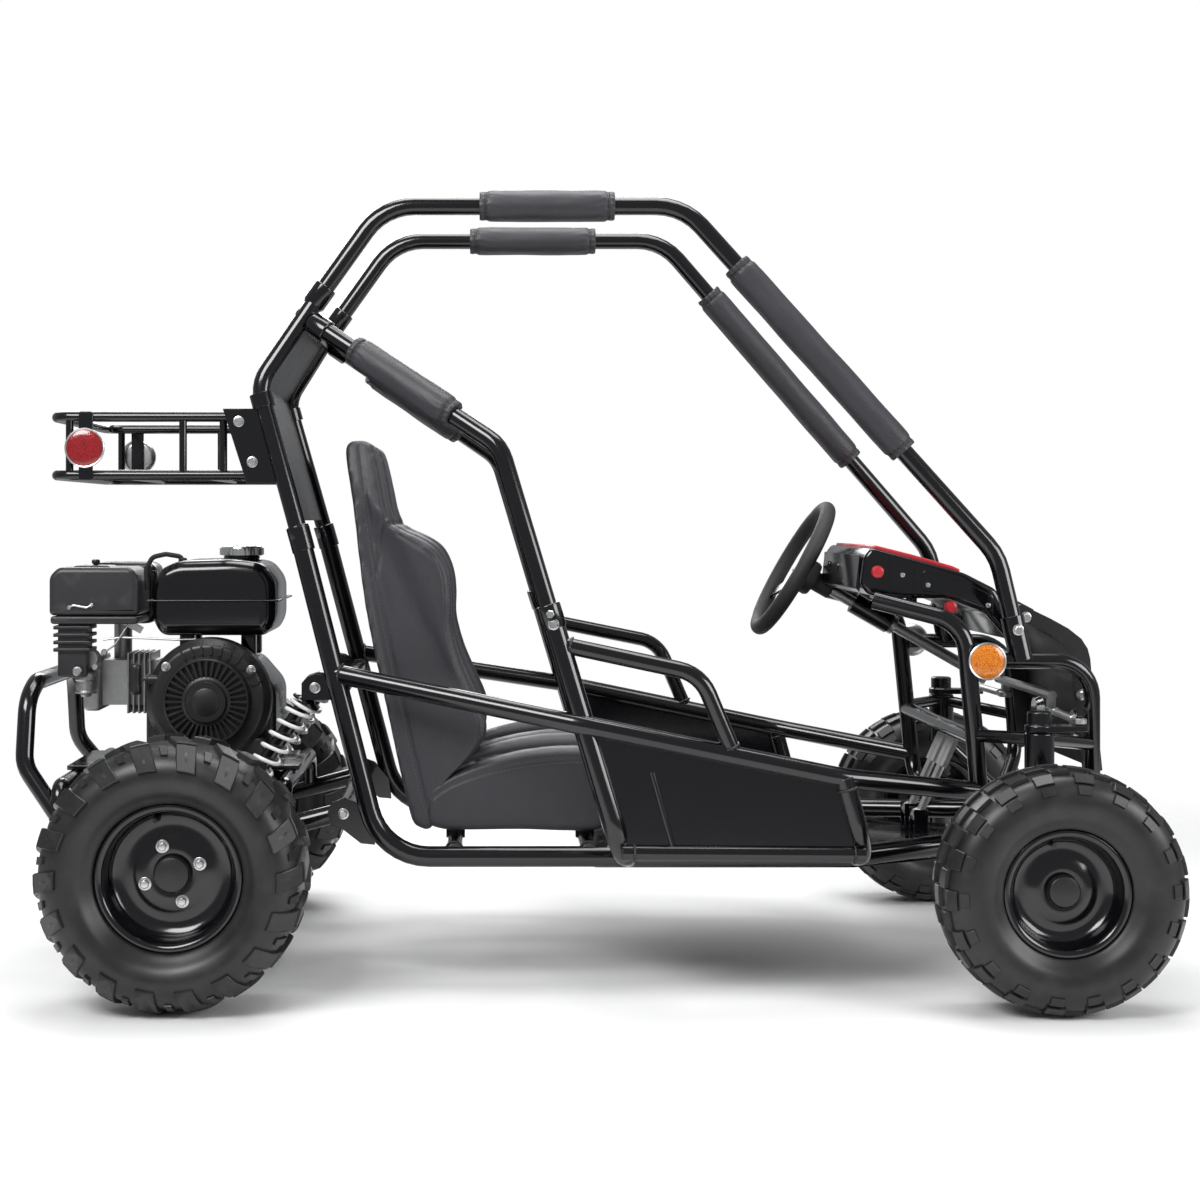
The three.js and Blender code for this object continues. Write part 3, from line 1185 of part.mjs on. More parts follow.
const armRearShare = -0.62;
const engineBase = { z: 318, plateThickness: 8, frontShare: -0.341, rearShare: -0.632, halfWidth: 112 };
const bearing = { housing: 62, width: 34 };
const guard = { lowShare: -0.668, halfLow: 215, halfTop: 190, lowZ: 330, bendZ: 430, topZ: 456,
  topAlongShare: -0.664, topHalf: 150 };
function swingarm() {
  const parts = [];
  const bores = [];
  const plateMiddle = engineBase.z - gap - engineBase.plateThickness / 2;
  const crossZ = plateMiddle - tubes.cross / 2;
  const armHalf = swing.lugInner - gap;
  parts.push(bar(pivotPlace(-armHalf), pivotPlace(armHalf), swing.pivotTube, roundSides));
  const rearX = alongAt(armRearShare);
  const rearZ = axleHeight.rear + 1.5 * swing.arm;
  for (const side of Object.values(sides)) {
    const rearEnd = point(rearX, side * swing.armY, rearZ);
    parts.push(tube([pivotPlace(side * swing.armY), armPlace(1, side), rearEnd], swing.arm));
    const housing = point(axleX.rear, side * (swing.armY - bearing.width / 2), axleHeight.rear);
    parts.push(bar(housing, housing.clone().add(outward(side).multiplyScalar(bearing.width)),
      bearing.housing, roundSides));
    const foot = shockFoot(side);
    parts.push(fork(foot, point(foot.x - overrun, foot.y, armPlace(0.8, side).z), false));
    bores.push(bar(pivotPlace(side * (swing.lugInner - swing.pinReach - overrun)),
      pivotPlace(side * (swing.lugInner + overrun)), boreFor(swing.pin)));
  }
  for (const share of [engineBase.frontShare, engineBase.rearShare]) {
    const inward = share === engineBase.frontShare ? -1 : 1;
    const x = alongAt(share) + (inward * tubes.cross) / 2;
    const armShare = (x - pivotPlace(0).x) / (axleX.rear - pivotPlace(0).x);
    const armZ = armShare < 1 ? armPlace(armShare, 1).z : rearZ;
    const legY = swing.armY;
    parts.push(tube([point(x, -legY, armZ), point(x, -legY, crossZ), point(x, legY, crossZ),
      point(x, legY, armZ)], tubes.cross, tubes.bend / 2, slimSides));
  }
  const front = alongAt(engineBase.frontShare);
  const rear = alongAt(engineBase.rearShare);
  parts.push(block(point((front + rear) / 2, 0, plateMiddle), front - rear, 2 * engineBase.halfWidth,
    engineBase.plateThickness));
  const guardX = alongAt(guard.lowShare);
  const guardHalf = (side) => [
    point(rearX + overrun, side * swing.armY, rearZ),
    point(guardX, side * guard.halfLow, guard.lowZ),
    point(guardX, side * guard.halfTop, guard.bendZ),
    point(alongAt(guard.topAlongShare), side * guard.topHalf, guard.topZ),
  ];
  parts.push(tube([...guardHalf(-1), ...guardHalf(1).reverse()], tubes.front));
  bores.push(bar(point(axleX.rear, -2 * swing.armY, axleHeight.rear), point(axleX.rear, 2 * swing.armY,
    axleHeight.rear), boreFor(axle.diameter, slip, roundSides), roundSides));
  return cut(join(parts), bores);
}
addPiece("swingarm", swingarm(), finishes.blackPaint);

// Rear axle with its sprocket and brake disc; the chain and the clutch drum on the engine's shaft

const drive = {
  y: 128, pitch: 12.7, bigTeeth: 40, smallTeeth: 11, toothHeight: 4, plate: 4, discY: 60, disc: 180,
  discThickness: 4, crankAlong: 10, crankRise: 225, drum: 84, drumWidth: 24, drumGap: 6, sleeve: 30,
    shaft: 20, linkWidth: 5,
  sidePlate: 1.6, holes: 5, hole: 26, holeReach: 54, collar: 60, collarWidth: 14, hub: 56, hubWidth: 20,
};
const pitchRadius = (teeth) => drive.pitch / (2 * Math.sin(Math.PI / teeth));
const crank = point(axleX.rear + drive.crankAlong, 0, axleHeight.rear + drive.crankRise);

/** A toothed disc, centred on a Y-wise axis. */
function sprocket(centre, teeth) {
  const outline = [];
  for (let tooth = 0; tooth < teeth; tooth += 1) {
    for (const [offsetShare, rise] of [[0, -1], [0.5, 1]]) {
      const angle = (2 * Math.PI * (tooth + offsetShare)) / teeth;
      const radius = pitchRadius(teeth) + (rise * drive.toothHeight) / 2;
      outline.push([centre.x + radius * Math.cos(angle), centre.z + radius * Math.sin(angle)]);
    }
  }
  return sidePlate(outline, drive.y, drive.plate);
}

function rearAxleSolid() {
  const end = rearWheel.trackHalf + rimFace(rearWheel)
    + rimShares.bore * rearWheel.capDiameter / 2 - axle.endGap;
  const at = (y) => rearAxle.clone().setY(y);
  const hubs = Object.values(sides).map((side) => {
    const inner = side * (swing.armY + bearing.width / 2 + gap);
    return bar(at(inner), at(inner + side * drive.collarWidth), drive.collar, roundSides);
  });
  const holes = Array.from({ length: drive.holes }, (_, index) => {
    const angle = (2 * Math.PI * index) / drive.holes;
    const place = at(drive.y).add(point(drive.holeReach * Math.cos(angle), 0,
      drive.holeReach * Math.sin(angle)));
    return bar(place.clone().setY(drive.y - drive.hubWidth), place.clone().setY(drive.y + drive.hubWidth),
      drive.hole,
      slimSides);
  });
  const plates = join(cut(sprocket(rearAxle, drive.bigTeeth), holes),
    bar(at(drive.discY - drive.discThickness / 2), at(drive.discY + drive.discThickness / 2), drive.disc,
      16));
  return join(bar(at(-end), at(end), axle.diameter, roundSides), plates, hubs,
    bar(at(drive.y - drive.hubWidth / 2), at(drive.y + drive.hubWidth / 2), drive.hub, roundSides),
    bar(at(drive.discY - drive.hubWidth / 2), at(drive.discY + drive.hubWidth / 2), drive.hub, roundSides));
}
addPiece("rear_axle", rearAxleSolid(), finishes.steel);

function clutchDrum() {
  const at = (y) => crank.clone().setY(y);
  const inner = drive.y + drive.plate / 2;
  const drumAt = inner + drive.drumGap;
  const drum = join(sprocket(crank, drive.smallTeeth), bar(at(inner - overrun), at(drumAt + overrun),
    drive.sleeve,
    roundSides), bar(at(drumAt), at(drumAt + drive.drumWidth), drive.drum, roundSteps));
  return cut(drum, bar(at(drive.y - drive.drum), at(drive.y + drive.drum), boreFor(drive.shaft)));
}
addPiece("clutch_drum", clutchDrum(), finishes.steel);

const chainSteps = { big: 10, small: 4 };

/** The chain's loop round both sprockets, offset outwards from its pitch line. */
function chainLoop(offset) {
  const big = pitchRadius(drive.bigTeeth) + offset;
  const small = pitchRadius(drive.smallTeeth) + offset;
  const span = crank.clone().sub(rearAxle);
  const lie = Math.atan2(span.z, span.x);
  const lean = Math.acos((big - small) / Math.hypot(span.x, span.z));
  const points = [];
  const arc = (centre, radius, from, to, steps) => {
    for (let step = 0; step <= steps; step += 1) {
      const angle = from + ((to - from) * step) / steps;
      points.push([centre.x + radius * Math.cos(angle), centre.z + radius * Math.sin(angle)]);
    }
  };
  arc(rearAxle, big, lie + lean, lie + 2 * Math.PI - lean, chainSteps.big);
  arc(crank, small, lie - lean, lie + lean, chainSteps.small);
  return points;
}

function chain() {
  const outer = chainLoop(drive.linkWidth);
  const inner = chainLoop(-drive.linkWidth);
  const bandY = drive.plate / 2 + 2 * gap + drive.sidePlate / 2;
  const bands = [-1, 1].map((hand) => cut(sidePlate(outer, drive.y + hand * bandY, drive.sidePlate),
    sidePlate(inner, drive.y + hand * bandY, 2 * drive.sidePlate)));
  const middle = chainLoop(0);
  const runs = [[middle[chainSteps.big], middle[chainSteps.big + 1]], [middle[middle.length - 1],
    middle[0]]];
  const pins = runs.flatMap(([start, end]) => {
    const length = Math.hypot(end[0] - start[0], end[1] - start[1]);
    const count = Math.floor(length / (2 * drive.pitch)) - 1;
    return Array.from({ length: count }, (_, index) => {
      const share = ((2 * index + 2.5) * drive.pitch) / length;
      const x = start[0] + (end[0] - start[0]) * share;
      const z = start[1] + (end[1] - start[1]) * share;
      const half = bandY;
      return bar(point(x, drive.y - half, z), point(x, drive.y + half, z), 0.55 * drive.pitch, 4);
    });
  });
  return join(bands, pins);
}
addPiece("chain", chain(), finishes.steel);

// Rear shocks: body with its eye, rod with its eye, and the coil spring round them

const shockLine = (side) => ({ top: shockTop(side), foot: shockFoot(side),
  axis: heading(shockTop(side), shockFoot(side)), length: shockTop(side).distanceTo(shockFoot(side)) });

function eyeAt(centre) {
  const half = shock.eyeWidth / 2;
  return bar(centre.clone().add(point(0, -half, 0)), centre.clone().add(point(0, half, 0)), shock.eye,
    roundSides);
}

function eyeBore(centre) {
  return bar(centre.clone().add(point(0, -shock.eye, 0)), centre.clone().add(point(0, shock.eye, 0)),
    boreFor(shock.pin));
}

addPair("shock_body", (side) => {
  const { top, axis, length } = shockLine(side);
  const along = (distance) => top.clone().addScaledVector(axis, distance);
  const end = shock.bodyReachShare * length;
  return cut(join(eyeAt(top), bar(top, along(end), shock.body, roundSides),
    bar(along(shock.topSeatDrop - shock.seatThickness), along(shock.topSeatDrop), shock.seat, roundSides)),
  eyeBore(top), bar(along(shock.boreShare * length), along(end + overrun), boreFor(shock.rod)));
}, finishes.blackPaint);

addPair("shock_rod", (side) => {
  const { top, foot, axis, length } = shockLine(side);
  const along = (distance) => top.clone().addScaledVector(axis, distance);
  const seatAt = length - shock.footSeatRise;
  return cut(join(eyeAt(foot), bar(along(shock.rodShare * length), foot, shock.rod),
    bar(along(seatAt + shock.seatThickness), foot, shock.rodFoot),
    bar(along(seatAt), along(seatAt + shock.seatThickness), shock.seat, roundSides)), eyeBore(foot));
}, finishes.chrome);

/** A helix that a coil spring's wire follows between its two seats. */
class CoilRun extends THREE.Curve {
  constructor(base, axis, length, radius, curls) {
    super();
    this.base = base;
    this.turn = new THREE.Quaternion().setFromUnitVectors(up, axis);
    this.length = length;
    this.radius = radius;
    this.curls = curls;
  }

  getPoint(share, target = new THREE.Vector3()) {
    const angle = 2 * Math.PI * this.curls * share;
    target.set(this.radius * Math.cos(angle), this.radius * Math.sin(angle), this.length * share);
    return target.applyQuaternion(this.turn).add(this.base);
  }

  getPointAt(share, target) {
    return this.getPoint(share, target);
  }

  getTangentAt(share, target = new THREE.Vector3()) {
    const angle = 2 * Math.PI * this.curls * share;
    const around = 2 * Math.PI * this.curls * this.radius;
    target.set(-around * Math.sin(angle), around * Math.cos(angle), this.length);
    return target.normalize().applyQuaternion(this.turn);
  }
}

const coilSteps = 8;
const coilSides = 4;

/** The least distance between the wire's own turns, measured on points along the coil. */
function leastCoilGap(run, steps) {
  const places = Array.from({ length: 4 * steps + 1 }, (_, index) => run.getPoint(index / (4 * steps)));
  let least = Infinity;
  places.forEach((place, index) => {
    for (let other = index + 3 * coilSteps; other < places.length; other += 1) {
      least = Math.min(least, place.distanceTo(places[other]));
    }
  });
  return least - shock.wire;
}

addPair("shock_spring", (side) => {
  const { top, axis, length } = shockLine(side);
  const start = shock.topSeatDrop + gap + shock.wire / 2;
  const end = length - shock.footSeatRise - gap - shock.wire / 2;
  const base = top.clone().addScaledVector(axis, start);
  const run = new CoilRun(base, axis, end - start, (shock.spring - shock.wire) / 2, shock.curls);
  const steps = coilSteps * shock.curls;
  console.log(`shock_spring_${nameOfSide(side)} least gap ${leastCoilGap(run, steps).toFixed(2)} mm`);
  return solid(new THREE.ExtrudeGeometry(ringShape(shock.wire / 2, coilSides),
    { steps, extrudePath: run, bevelEnabled: false }));
}, finishes.white);

// Engine: crankcase, finned cylinder, head and muffler in one casting group

const engine = {
  caseRear: -108, caseFront: 104, caseHeight: 172, nearY: -92, farY: 96, rim: 10,
  cylinderRise: 78, cylinderWidth: 100, finCount: 5, finGap: 5, finThickness: 4, headReach: 214,
    headStart: 98,
  muffler: { length: 116, width: 84, height: 104, y: 66, lift: 222, pipe: 30 },
};

const headWidth = 0.94 * engine.cylinderWidth;
const headNearY = (engine.farY + engine.nearY) / 2 - headWidth / 2;

function shifted(made, x, y, z) {
  return made.translate([x, y, z]);
}

function engineBlock() {
  const base = engineBase.z;
  const x = crank.x;
  const caseOutline = [[x + engine.caseRear, base], [x + engine.caseFront, base],
    [x + engine.caseFront, base + 0.72 * engine.caseHeight], [x + 0.6 * engine.caseFront, base
      + engine.caseHeight],
    [x + 0.7 * engine.caseRear, base + engine.caseHeight], [x + engine.caseRear, base
      + 0.8 * engine.caseHeight]];
  const width = engine.farY - engine.nearY;
  const middleY = (engine.farY + engine.nearY) / 2;
  const parts = [shifted(moulding(caseOutline, width / 2, engine.rim, 1), 0, middleY, 0)];
  const finBase = x - engine.headStart;
  const cylinderZ = base + engine.cylinderRise + engine.cylinderWidth / 2;
  parts.push(block(point(x - (engine.headStart + engine.headReach) / 2, middleY, cylinderZ),
    engine.headReach - engine.headStart + overrun, 0.74 * engine.cylinderWidth,
      0.74 * engine.cylinderWidth));
  for (let fin = 0; fin < engine.finCount; fin += 1) {
    const finX = finBase - engine.rim - fin * (engine.finGap + engine.finThickness);
    parts.push(block(point(finX, middleY, cylinderZ), engine.finThickness, engine.cylinderWidth,
      engine.cylinderWidth));
  }
  const headX = x - engine.headReach + engine.rim;
  parts.push(block(point(headX, middleY, cylinderZ), 3 * engine.rim, headWidth, headWidth));
  const muffler = engine.muffler;
  const mufflerX = x - engine.headStart - muffler.length / 2 - engine.rim;
  const mufflerZ = base + muffler.lift + muffler.height / 2;
  parts.push(block(point(mufflerX, muffler.y, mufflerZ), muffler.length, muffler.width, muffler.height));
  parts.push(bar(point(mufflerX, muffler.y / 2, cylinderZ), point(mufflerX, muffler.y / 2, mufflerZ),
    muffler.pipe,
    roundSides));
  parts.push(bar(crank.clone().setY(middleY), crank.clone().setY(drive.y + drive.drumWidth
    + 2 * drive.shaft),
    drive.shaft, roundSides));
  return join(parts);
}
addPiece("engine_block", engineBlock(), finishes.enginePaint);

// Recoil starter: the vented cover and its pull grip

const recoil = {
  housing: 200, housingDepth: 44, shoulderDepth: 12, grille: 140, grilleDepth: 16, hub: 68, hubDepth: 6,
  vents: 16, ventInner: 39, ventOuter: 66, ventWidth: 7, ventDepth: 12,
  gripLength: 50, grip: 19, gripAlong: -116, gripUp: 34, gripOut: 48, gripWaist: 16, guide: 16,
};

const gripPlace = () => crank.clone().add(point(recoil.gripAlong, engine.nearY - recoil.gripOut,
  recoil.gripUp));

function recoilCover() {
  const base = crank.clone().setY(engine.nearY - gap);
  const outer = recoil.housing / 2;
  const grille = recoil.grille / 2;
  const hub = recoil.hub / 2;
  const shoulder = recoil.housingDepth + recoil.shoulderDepth;
  const top = shoulder + recoil.grilleDepth;
  const body = turned([[0, 0], [outer, 0], [outer, recoil.housingDepth], [0.9 * outer, shoulder], [grille,
    shoulder],
    [0.97 * grille, top - overrun], [0.93 * grille, top], [hub, top], [0.94 * hub, top + recoil.hubDepth],
    [0, top + recoil.hubDepth]], base, outward(-1), 20);
  const vents = Array.from({ length: recoil.vents }, (_, index) => {
    const angle = (2 * Math.PI * index) / recoil.vents;
    const slot = new THREE.BoxGeometry(recoil.ventOuter - recoil.ventInner, 2 * recoil.ventDepth,
      recoil.ventWidth);
    slot.translate((recoil.ventOuter + recoil.ventInner) / 2, 0, 0);
    slot.rotateY(angle);
    slot.translate(base.x, base.y - top, base.z);
    return solid(slot);
  });
  const skirt = block(point(base.x, base.y - recoil.housingDepth / 2, engineBase.z + recoil.housing / 8),
    0.9 * recoil.housing, recoil.housingDepth, recoil.housing / 4);
  const guideStart = gripPlace().add(point(recoil.gripWaist / 2 + 3 * gap, 0, 0));
  const guide = bar(guideStart, guideStart.clone().setX(base.x - grille), recoil.guide, slimSides);
  return cut(join(body, skirt, guide), vents);
}
addPiece("recoil_cover", recoilCover(), finishes.plastic);

function recoilGrip() {
  const profile = [[0, 0], [0.3 * recoil.grip, 0], [recoil.grip / 2, 0.12 * recoil.gripLength],
    [recoil.gripWaist / 2, 0.5 * recoil.gripLength], [recoil.grip / 2, 0.88 * recoil.gripLength],
    [0.3 * recoil.grip, recoil.gripLength], [0, recoil.gripLength]];
  return turned(profile, gripPlace().addScaledVector(up, -recoil.gripLength / 2), up, roundSides);
}
addPiece("recoil_grip", recoilGrip(), finishes.plastic);

// Fuel tank and cap

const tank = { length: 200, width: 216, height: 124, clearance: 2, along: 4, rim: 20, seamReach: 8,
  seam: 3, neck: 60,
  foot: 24, footY: 40, footShare: 0.5, seamShare: 0.46,
  neckHeight: 4, cap: 74, capHeight: 17, capAlong: 34, capTeeth: 12 };

const tankBottom = () => crank.z + recoil.housing / 2 + tank.clearance;

function fuelTank() {
  const x = crank.x + tank.along;
  const z = tankBottom();
  const half = tank.length / 2;
  const outline = [[-half, 0.2], [-0.86 * half, 0], [0.86 * half, 0], [half, 0.2], [half, 0.72],
    [0.78 * half, 0.95],
    [0.3 * half, 1], [-0.6 * half, 0.98], [-0.9 * half, 0.86], [-half, 0.6]].map(([along,
      upShare]) => [x + along,
    z + upShare * tank.height]);
  const body = moulding(outline, tank.width / 2, tank.rim, 2);
  const seam = block(point(x, 0, z + tank.seamShare * tank.height), tank.length + 2 * tank.seamReach,
    tank.width + tank.seamReach, tank.seam);
  const footHeight = z - engineBase.z - engine.caseHeight - gap;
  const feet = [-1, 1].flatMap((end) => [-1, 1].map((hand) => block(point(x + end * tank.footShare * half,
    hand * tank.footY, z - (footHeight - overrun) / 2), tank.foot, tank.foot, footHeight + overrun)));
  const neck = bar(point(x + tank.capAlong, 0, z + 0.9 * tank.height), point(x + tank.capAlong, 0,
    z + tank.height + tank.neckHeight), tank.neck, roundSides);
  return join(body, seam, feet, neck);
}
addPiece("fuel_tank", fuelTank(), finishes.enginePaint);

function fuelCap() {
  const base = point(crank.x + tank.along + tank.capAlong, 0, tankBottom() + tank.height
    + tank.neckHeight + gap);
  const outline = Array.from({ length: 4 * tank.capTeeth }, (_, index) => {
    const angle = (2 * Math.PI * index) / (4 * tank.capTeeth);
    const radius = tank.cap / 2 - (index % 4 < 2 ? 0 : tank.neckHeight / 2);
    return new THREE.Vector2(radius * Math.cos(angle), radius * Math.sin(angle));
  });
  const geometry = new THREE.ExtrudeGeometry(new THREE.Shape(outline), { depth: tank.capHeight,
    bevelEnabled: false });
  geometry.translate(base.x, base.y, base.z);
  return solid(geometry);
}
addPiece("fuel_cap", fuelCap(), finishes.chrome);

// Air cleaner with its lid, finned lower body and the carburettor

const cleaner = { length: 146, height: 92, width: 118, y: -52, rearAlong: -262, lift: 228, rim: 12, ribs: 4,
  ribHeight: 6, lowLength: 60, lowWidth: 62, lowHeight: 88, knob: 14, knobHeight: 14, throat: 30,
    bowl: 36, bowlHeight: 26 };

function airCleaner() {
  const rear = crank.x + cleaner.rearAlong;
  const z = engineBase.z + cleaner.lift;
  const outline = [[rear, z], [rear + cleaner.length, z], [rear + cleaner.length, z + 0.8 * cleaner.height],
    [rear + 0.92 * cleaner.length, z + cleaner.height], [rear + 0.1 * cleaner.length, z + cleaner.height],
    [rear, z + 0.84 * cleaner.height]];
  const box = shifted(moulding(outline, cleaner.width / 2, cleaner.rim, 2), 0, cleaner.y, 0);
  const lowY = cleaner.y - cleaner.width / 2 + cleaner.lowWidth / 2 + cleaner.rim / 2;
  const lowX = rear + cleaner.lowLength / 2 + cleaner.rim / 2;
  const low = block(point(lowX, lowY, z - cleaner.lowHeight / 2 + overrun), cleaner.lowLength - cleaner.rim,
    cleaner.lowWidth - cleaner.rim, cleaner.lowHeight);
  const ribs = Array.from({ length: cleaner.ribs }, (_, index) => block(point(lowX, lowY,
    z - cleaner.ribHeight
    - 2 * index * cleaner.ribHeight), cleaner.lowLength, cleaner.lowWidth, cleaner.ribHeight));
  const knobPlace = point(rear + 0.45 * cleaner.length, cleaner.y, z + cleaner.height - overrun);
  const bowlPlace = point(lowX + cleaner.bowl / 2, lowY, z - cleaner.lowHeight - cleaner.bowlHeight);
  const throat = point(crank.x - engine.headReach + engine.rim, lowY, z - cleaner.lowHeight
    + cleaner.throat);
  const throatEnd = throat.clone().setY(headNearY - gap);
  return join(box, low, ribs, bar(throat, throatEnd, cleaner.throat, roundSides),
    bar(knobPlace, knobPlace.clone().addScaledVector(up, cleaner.knobHeight), cleaner.knob, 8),
    bar(bowlPlace, bowlPlace.clone().addScaledVector(up, cleaner.bowlHeight + 3 * overrun), cleaner.bowl,
      roundSides));
}
addPiece("air_cleaner", airCleaner(), finishes.plastic);

export default kart;
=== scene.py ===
# %% [markdown]
# # An off road go kart, dressed for a picture
# The measured model of the kart is already a set of named solids that move on joints.
# This lesson gives each of those solids its looks: smooth tubes, knobby tyres, sewn vinyl and cast covers.
# Every size below is in millimetres, measured in the kart's
# own frame: X runs forward, Y to the driver's left, Z up.

# %% Load the measured model
import math
import random

import bmesh
import bpy
from mathutils import Matrix, Quaternion, Vector
from mathutils.bvhtree import BVHTree
from mathutils.kdtree import KDTree


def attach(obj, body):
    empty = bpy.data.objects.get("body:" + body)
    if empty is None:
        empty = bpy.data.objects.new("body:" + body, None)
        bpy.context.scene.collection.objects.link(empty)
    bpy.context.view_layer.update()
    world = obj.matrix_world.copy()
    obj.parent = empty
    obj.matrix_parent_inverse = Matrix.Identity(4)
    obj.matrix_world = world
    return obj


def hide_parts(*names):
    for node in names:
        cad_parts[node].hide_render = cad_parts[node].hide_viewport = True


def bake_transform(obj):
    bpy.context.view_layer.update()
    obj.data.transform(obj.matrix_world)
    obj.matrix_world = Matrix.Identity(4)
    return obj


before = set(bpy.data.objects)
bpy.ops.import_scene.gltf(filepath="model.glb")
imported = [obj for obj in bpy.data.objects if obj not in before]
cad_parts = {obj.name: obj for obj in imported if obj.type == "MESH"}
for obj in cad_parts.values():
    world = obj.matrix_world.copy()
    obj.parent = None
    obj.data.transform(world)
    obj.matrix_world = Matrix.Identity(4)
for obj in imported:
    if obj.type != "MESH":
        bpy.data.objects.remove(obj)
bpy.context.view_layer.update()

# %% [markdown]
# ## Places and directions
# A place is typed in millimetres and turned into metres once, here, because the model is in metres.
# The kart is the same on both sides, so a place is usually
# written for the driver's left, and mirrored for the right.

# %% Places, directions and sides
MM = 0.001
AHEAD = Vector((1, 0, 0))
LEFTWARD = Vector((0, 1, 0))
UPWARD = Vector((0, 0, 1))
SIDES = {"right": -1, "left": 1}


def at(along, across, height):
    """A place in the kart's frame, given in millimetres."""
    return Vector((along, across, height)) * MM


def one_side(side, *places):
    """The same places on one side of the kart: 1 keeps them on the left, -1 moves them to the right."""
    return [Vector((place.x, place.y * side, place.z)) for place in places]


def lerp(start, end, share):
    """The place at a share of the way from start to end."""
    return start + (end - start) * share


def angles(count):
    """The angles of so many even steps round a full turn."""
    return [2 * math.pi * step / count for step in range(count)]


def outward_at(one, two, angle):
    """The direction at an angle from the first of two crosswise directions towards the second."""
    return one * math.cos(angle) + two * math.sin(angle)


# %% [markdown]
# ## One tool for closed forms
# Each piece of the kart is a handful of simple closed forms: a bent tube, a turned disc, a flat plate, a block.
# The class below collects such forms as points and faces, and then makes them into one mesh.
# Working on plain lists is quick, and it leaves every piece with the true size that was typed.

# %% A collector of closed forms
TUBE_SIDES = 28
# the turn of one step round a bend, and the turn below which a corner is left as it is, in radians
BEND_STEP, STRAIGHT = 0.16, 0.02
# a bend may take up this share of the shorter run beside it
BEND_SHARE = 0.48
# the least radius of a turned form, in mm, so that no face of its end is empty
LEAST_RADIUS = 0.01
BORE_SIDES = 40


def rounded(corners, bend):
    """The corner places of a bent tube, with each corner replaced by a round bend."""
    path = [corners[0]]
    for before, corner, after in zip(corners, corners[1:], corners[2:]):
        arriving, leaving = corner - before, after - corner
        longest = BEND_SHARE * min(arriving.length, leaving.length)
        arriving.normalize()
        leaving.normalize()
        turn = arriving.angle(leaving)
        if turn < STRAIGHT:
            path.append(corner)
            continue
        setback = min(bend * MM * math.tan(turn / 2), longest)
        radius = setback / math.tan(turn / 2)
        axis = arriving.cross(leaving).normalized()
        start = corner - arriving * setback
        centre = start + axis.cross(arriving) * radius
        steps = max(2, round(turn / BEND_STEP))
        for step in range(steps + 1):
            swing = Quaternion(axis, turn * step / steps)
            path.append(centre + swing @ (start - centre))
    return path + [corners[-1]]


def frames_along(path):
    """A pair of crosswise directions at each place of a path, carried along so that they never twist."""
    headings = []
    for index in range(len(path)):
        behind = path[max(index - 1, 0)]
        ahead = path[min(index + 1, len(path) - 1)]
        headings.append((ahead - behind).normalized())
    first = headings[0]
    crosswise = first.cross(UPWARD if abs(first.z) < 0.9 else AHEAD).normalized()
    frames = []
    for index, heading in enumerate(headings):
        if index:
            crosswise = headings[index - 1].rotation_difference(heading) @ crosswise
        crosswise = (crosswise - heading * crosswise.dot(heading)).normalized()
        frames.append((crosswise, heading.cross(crosswise)))
    return frames


def axes_for(heading):
    """Two crosswise directions for a form that stands on a heading."""
    heading = heading.normalized()
    crosswise = heading.cross(LEFTWARD if abs(heading.y) < 0.9 else AHEAD).normalized()
    return crosswise, heading.cross(crosswise)


def rectangle(left, low, right, high):
    """The four corners of a rectangle, as an outline."""
    return [(left, low), (right, low), (right, high), (left, high)]


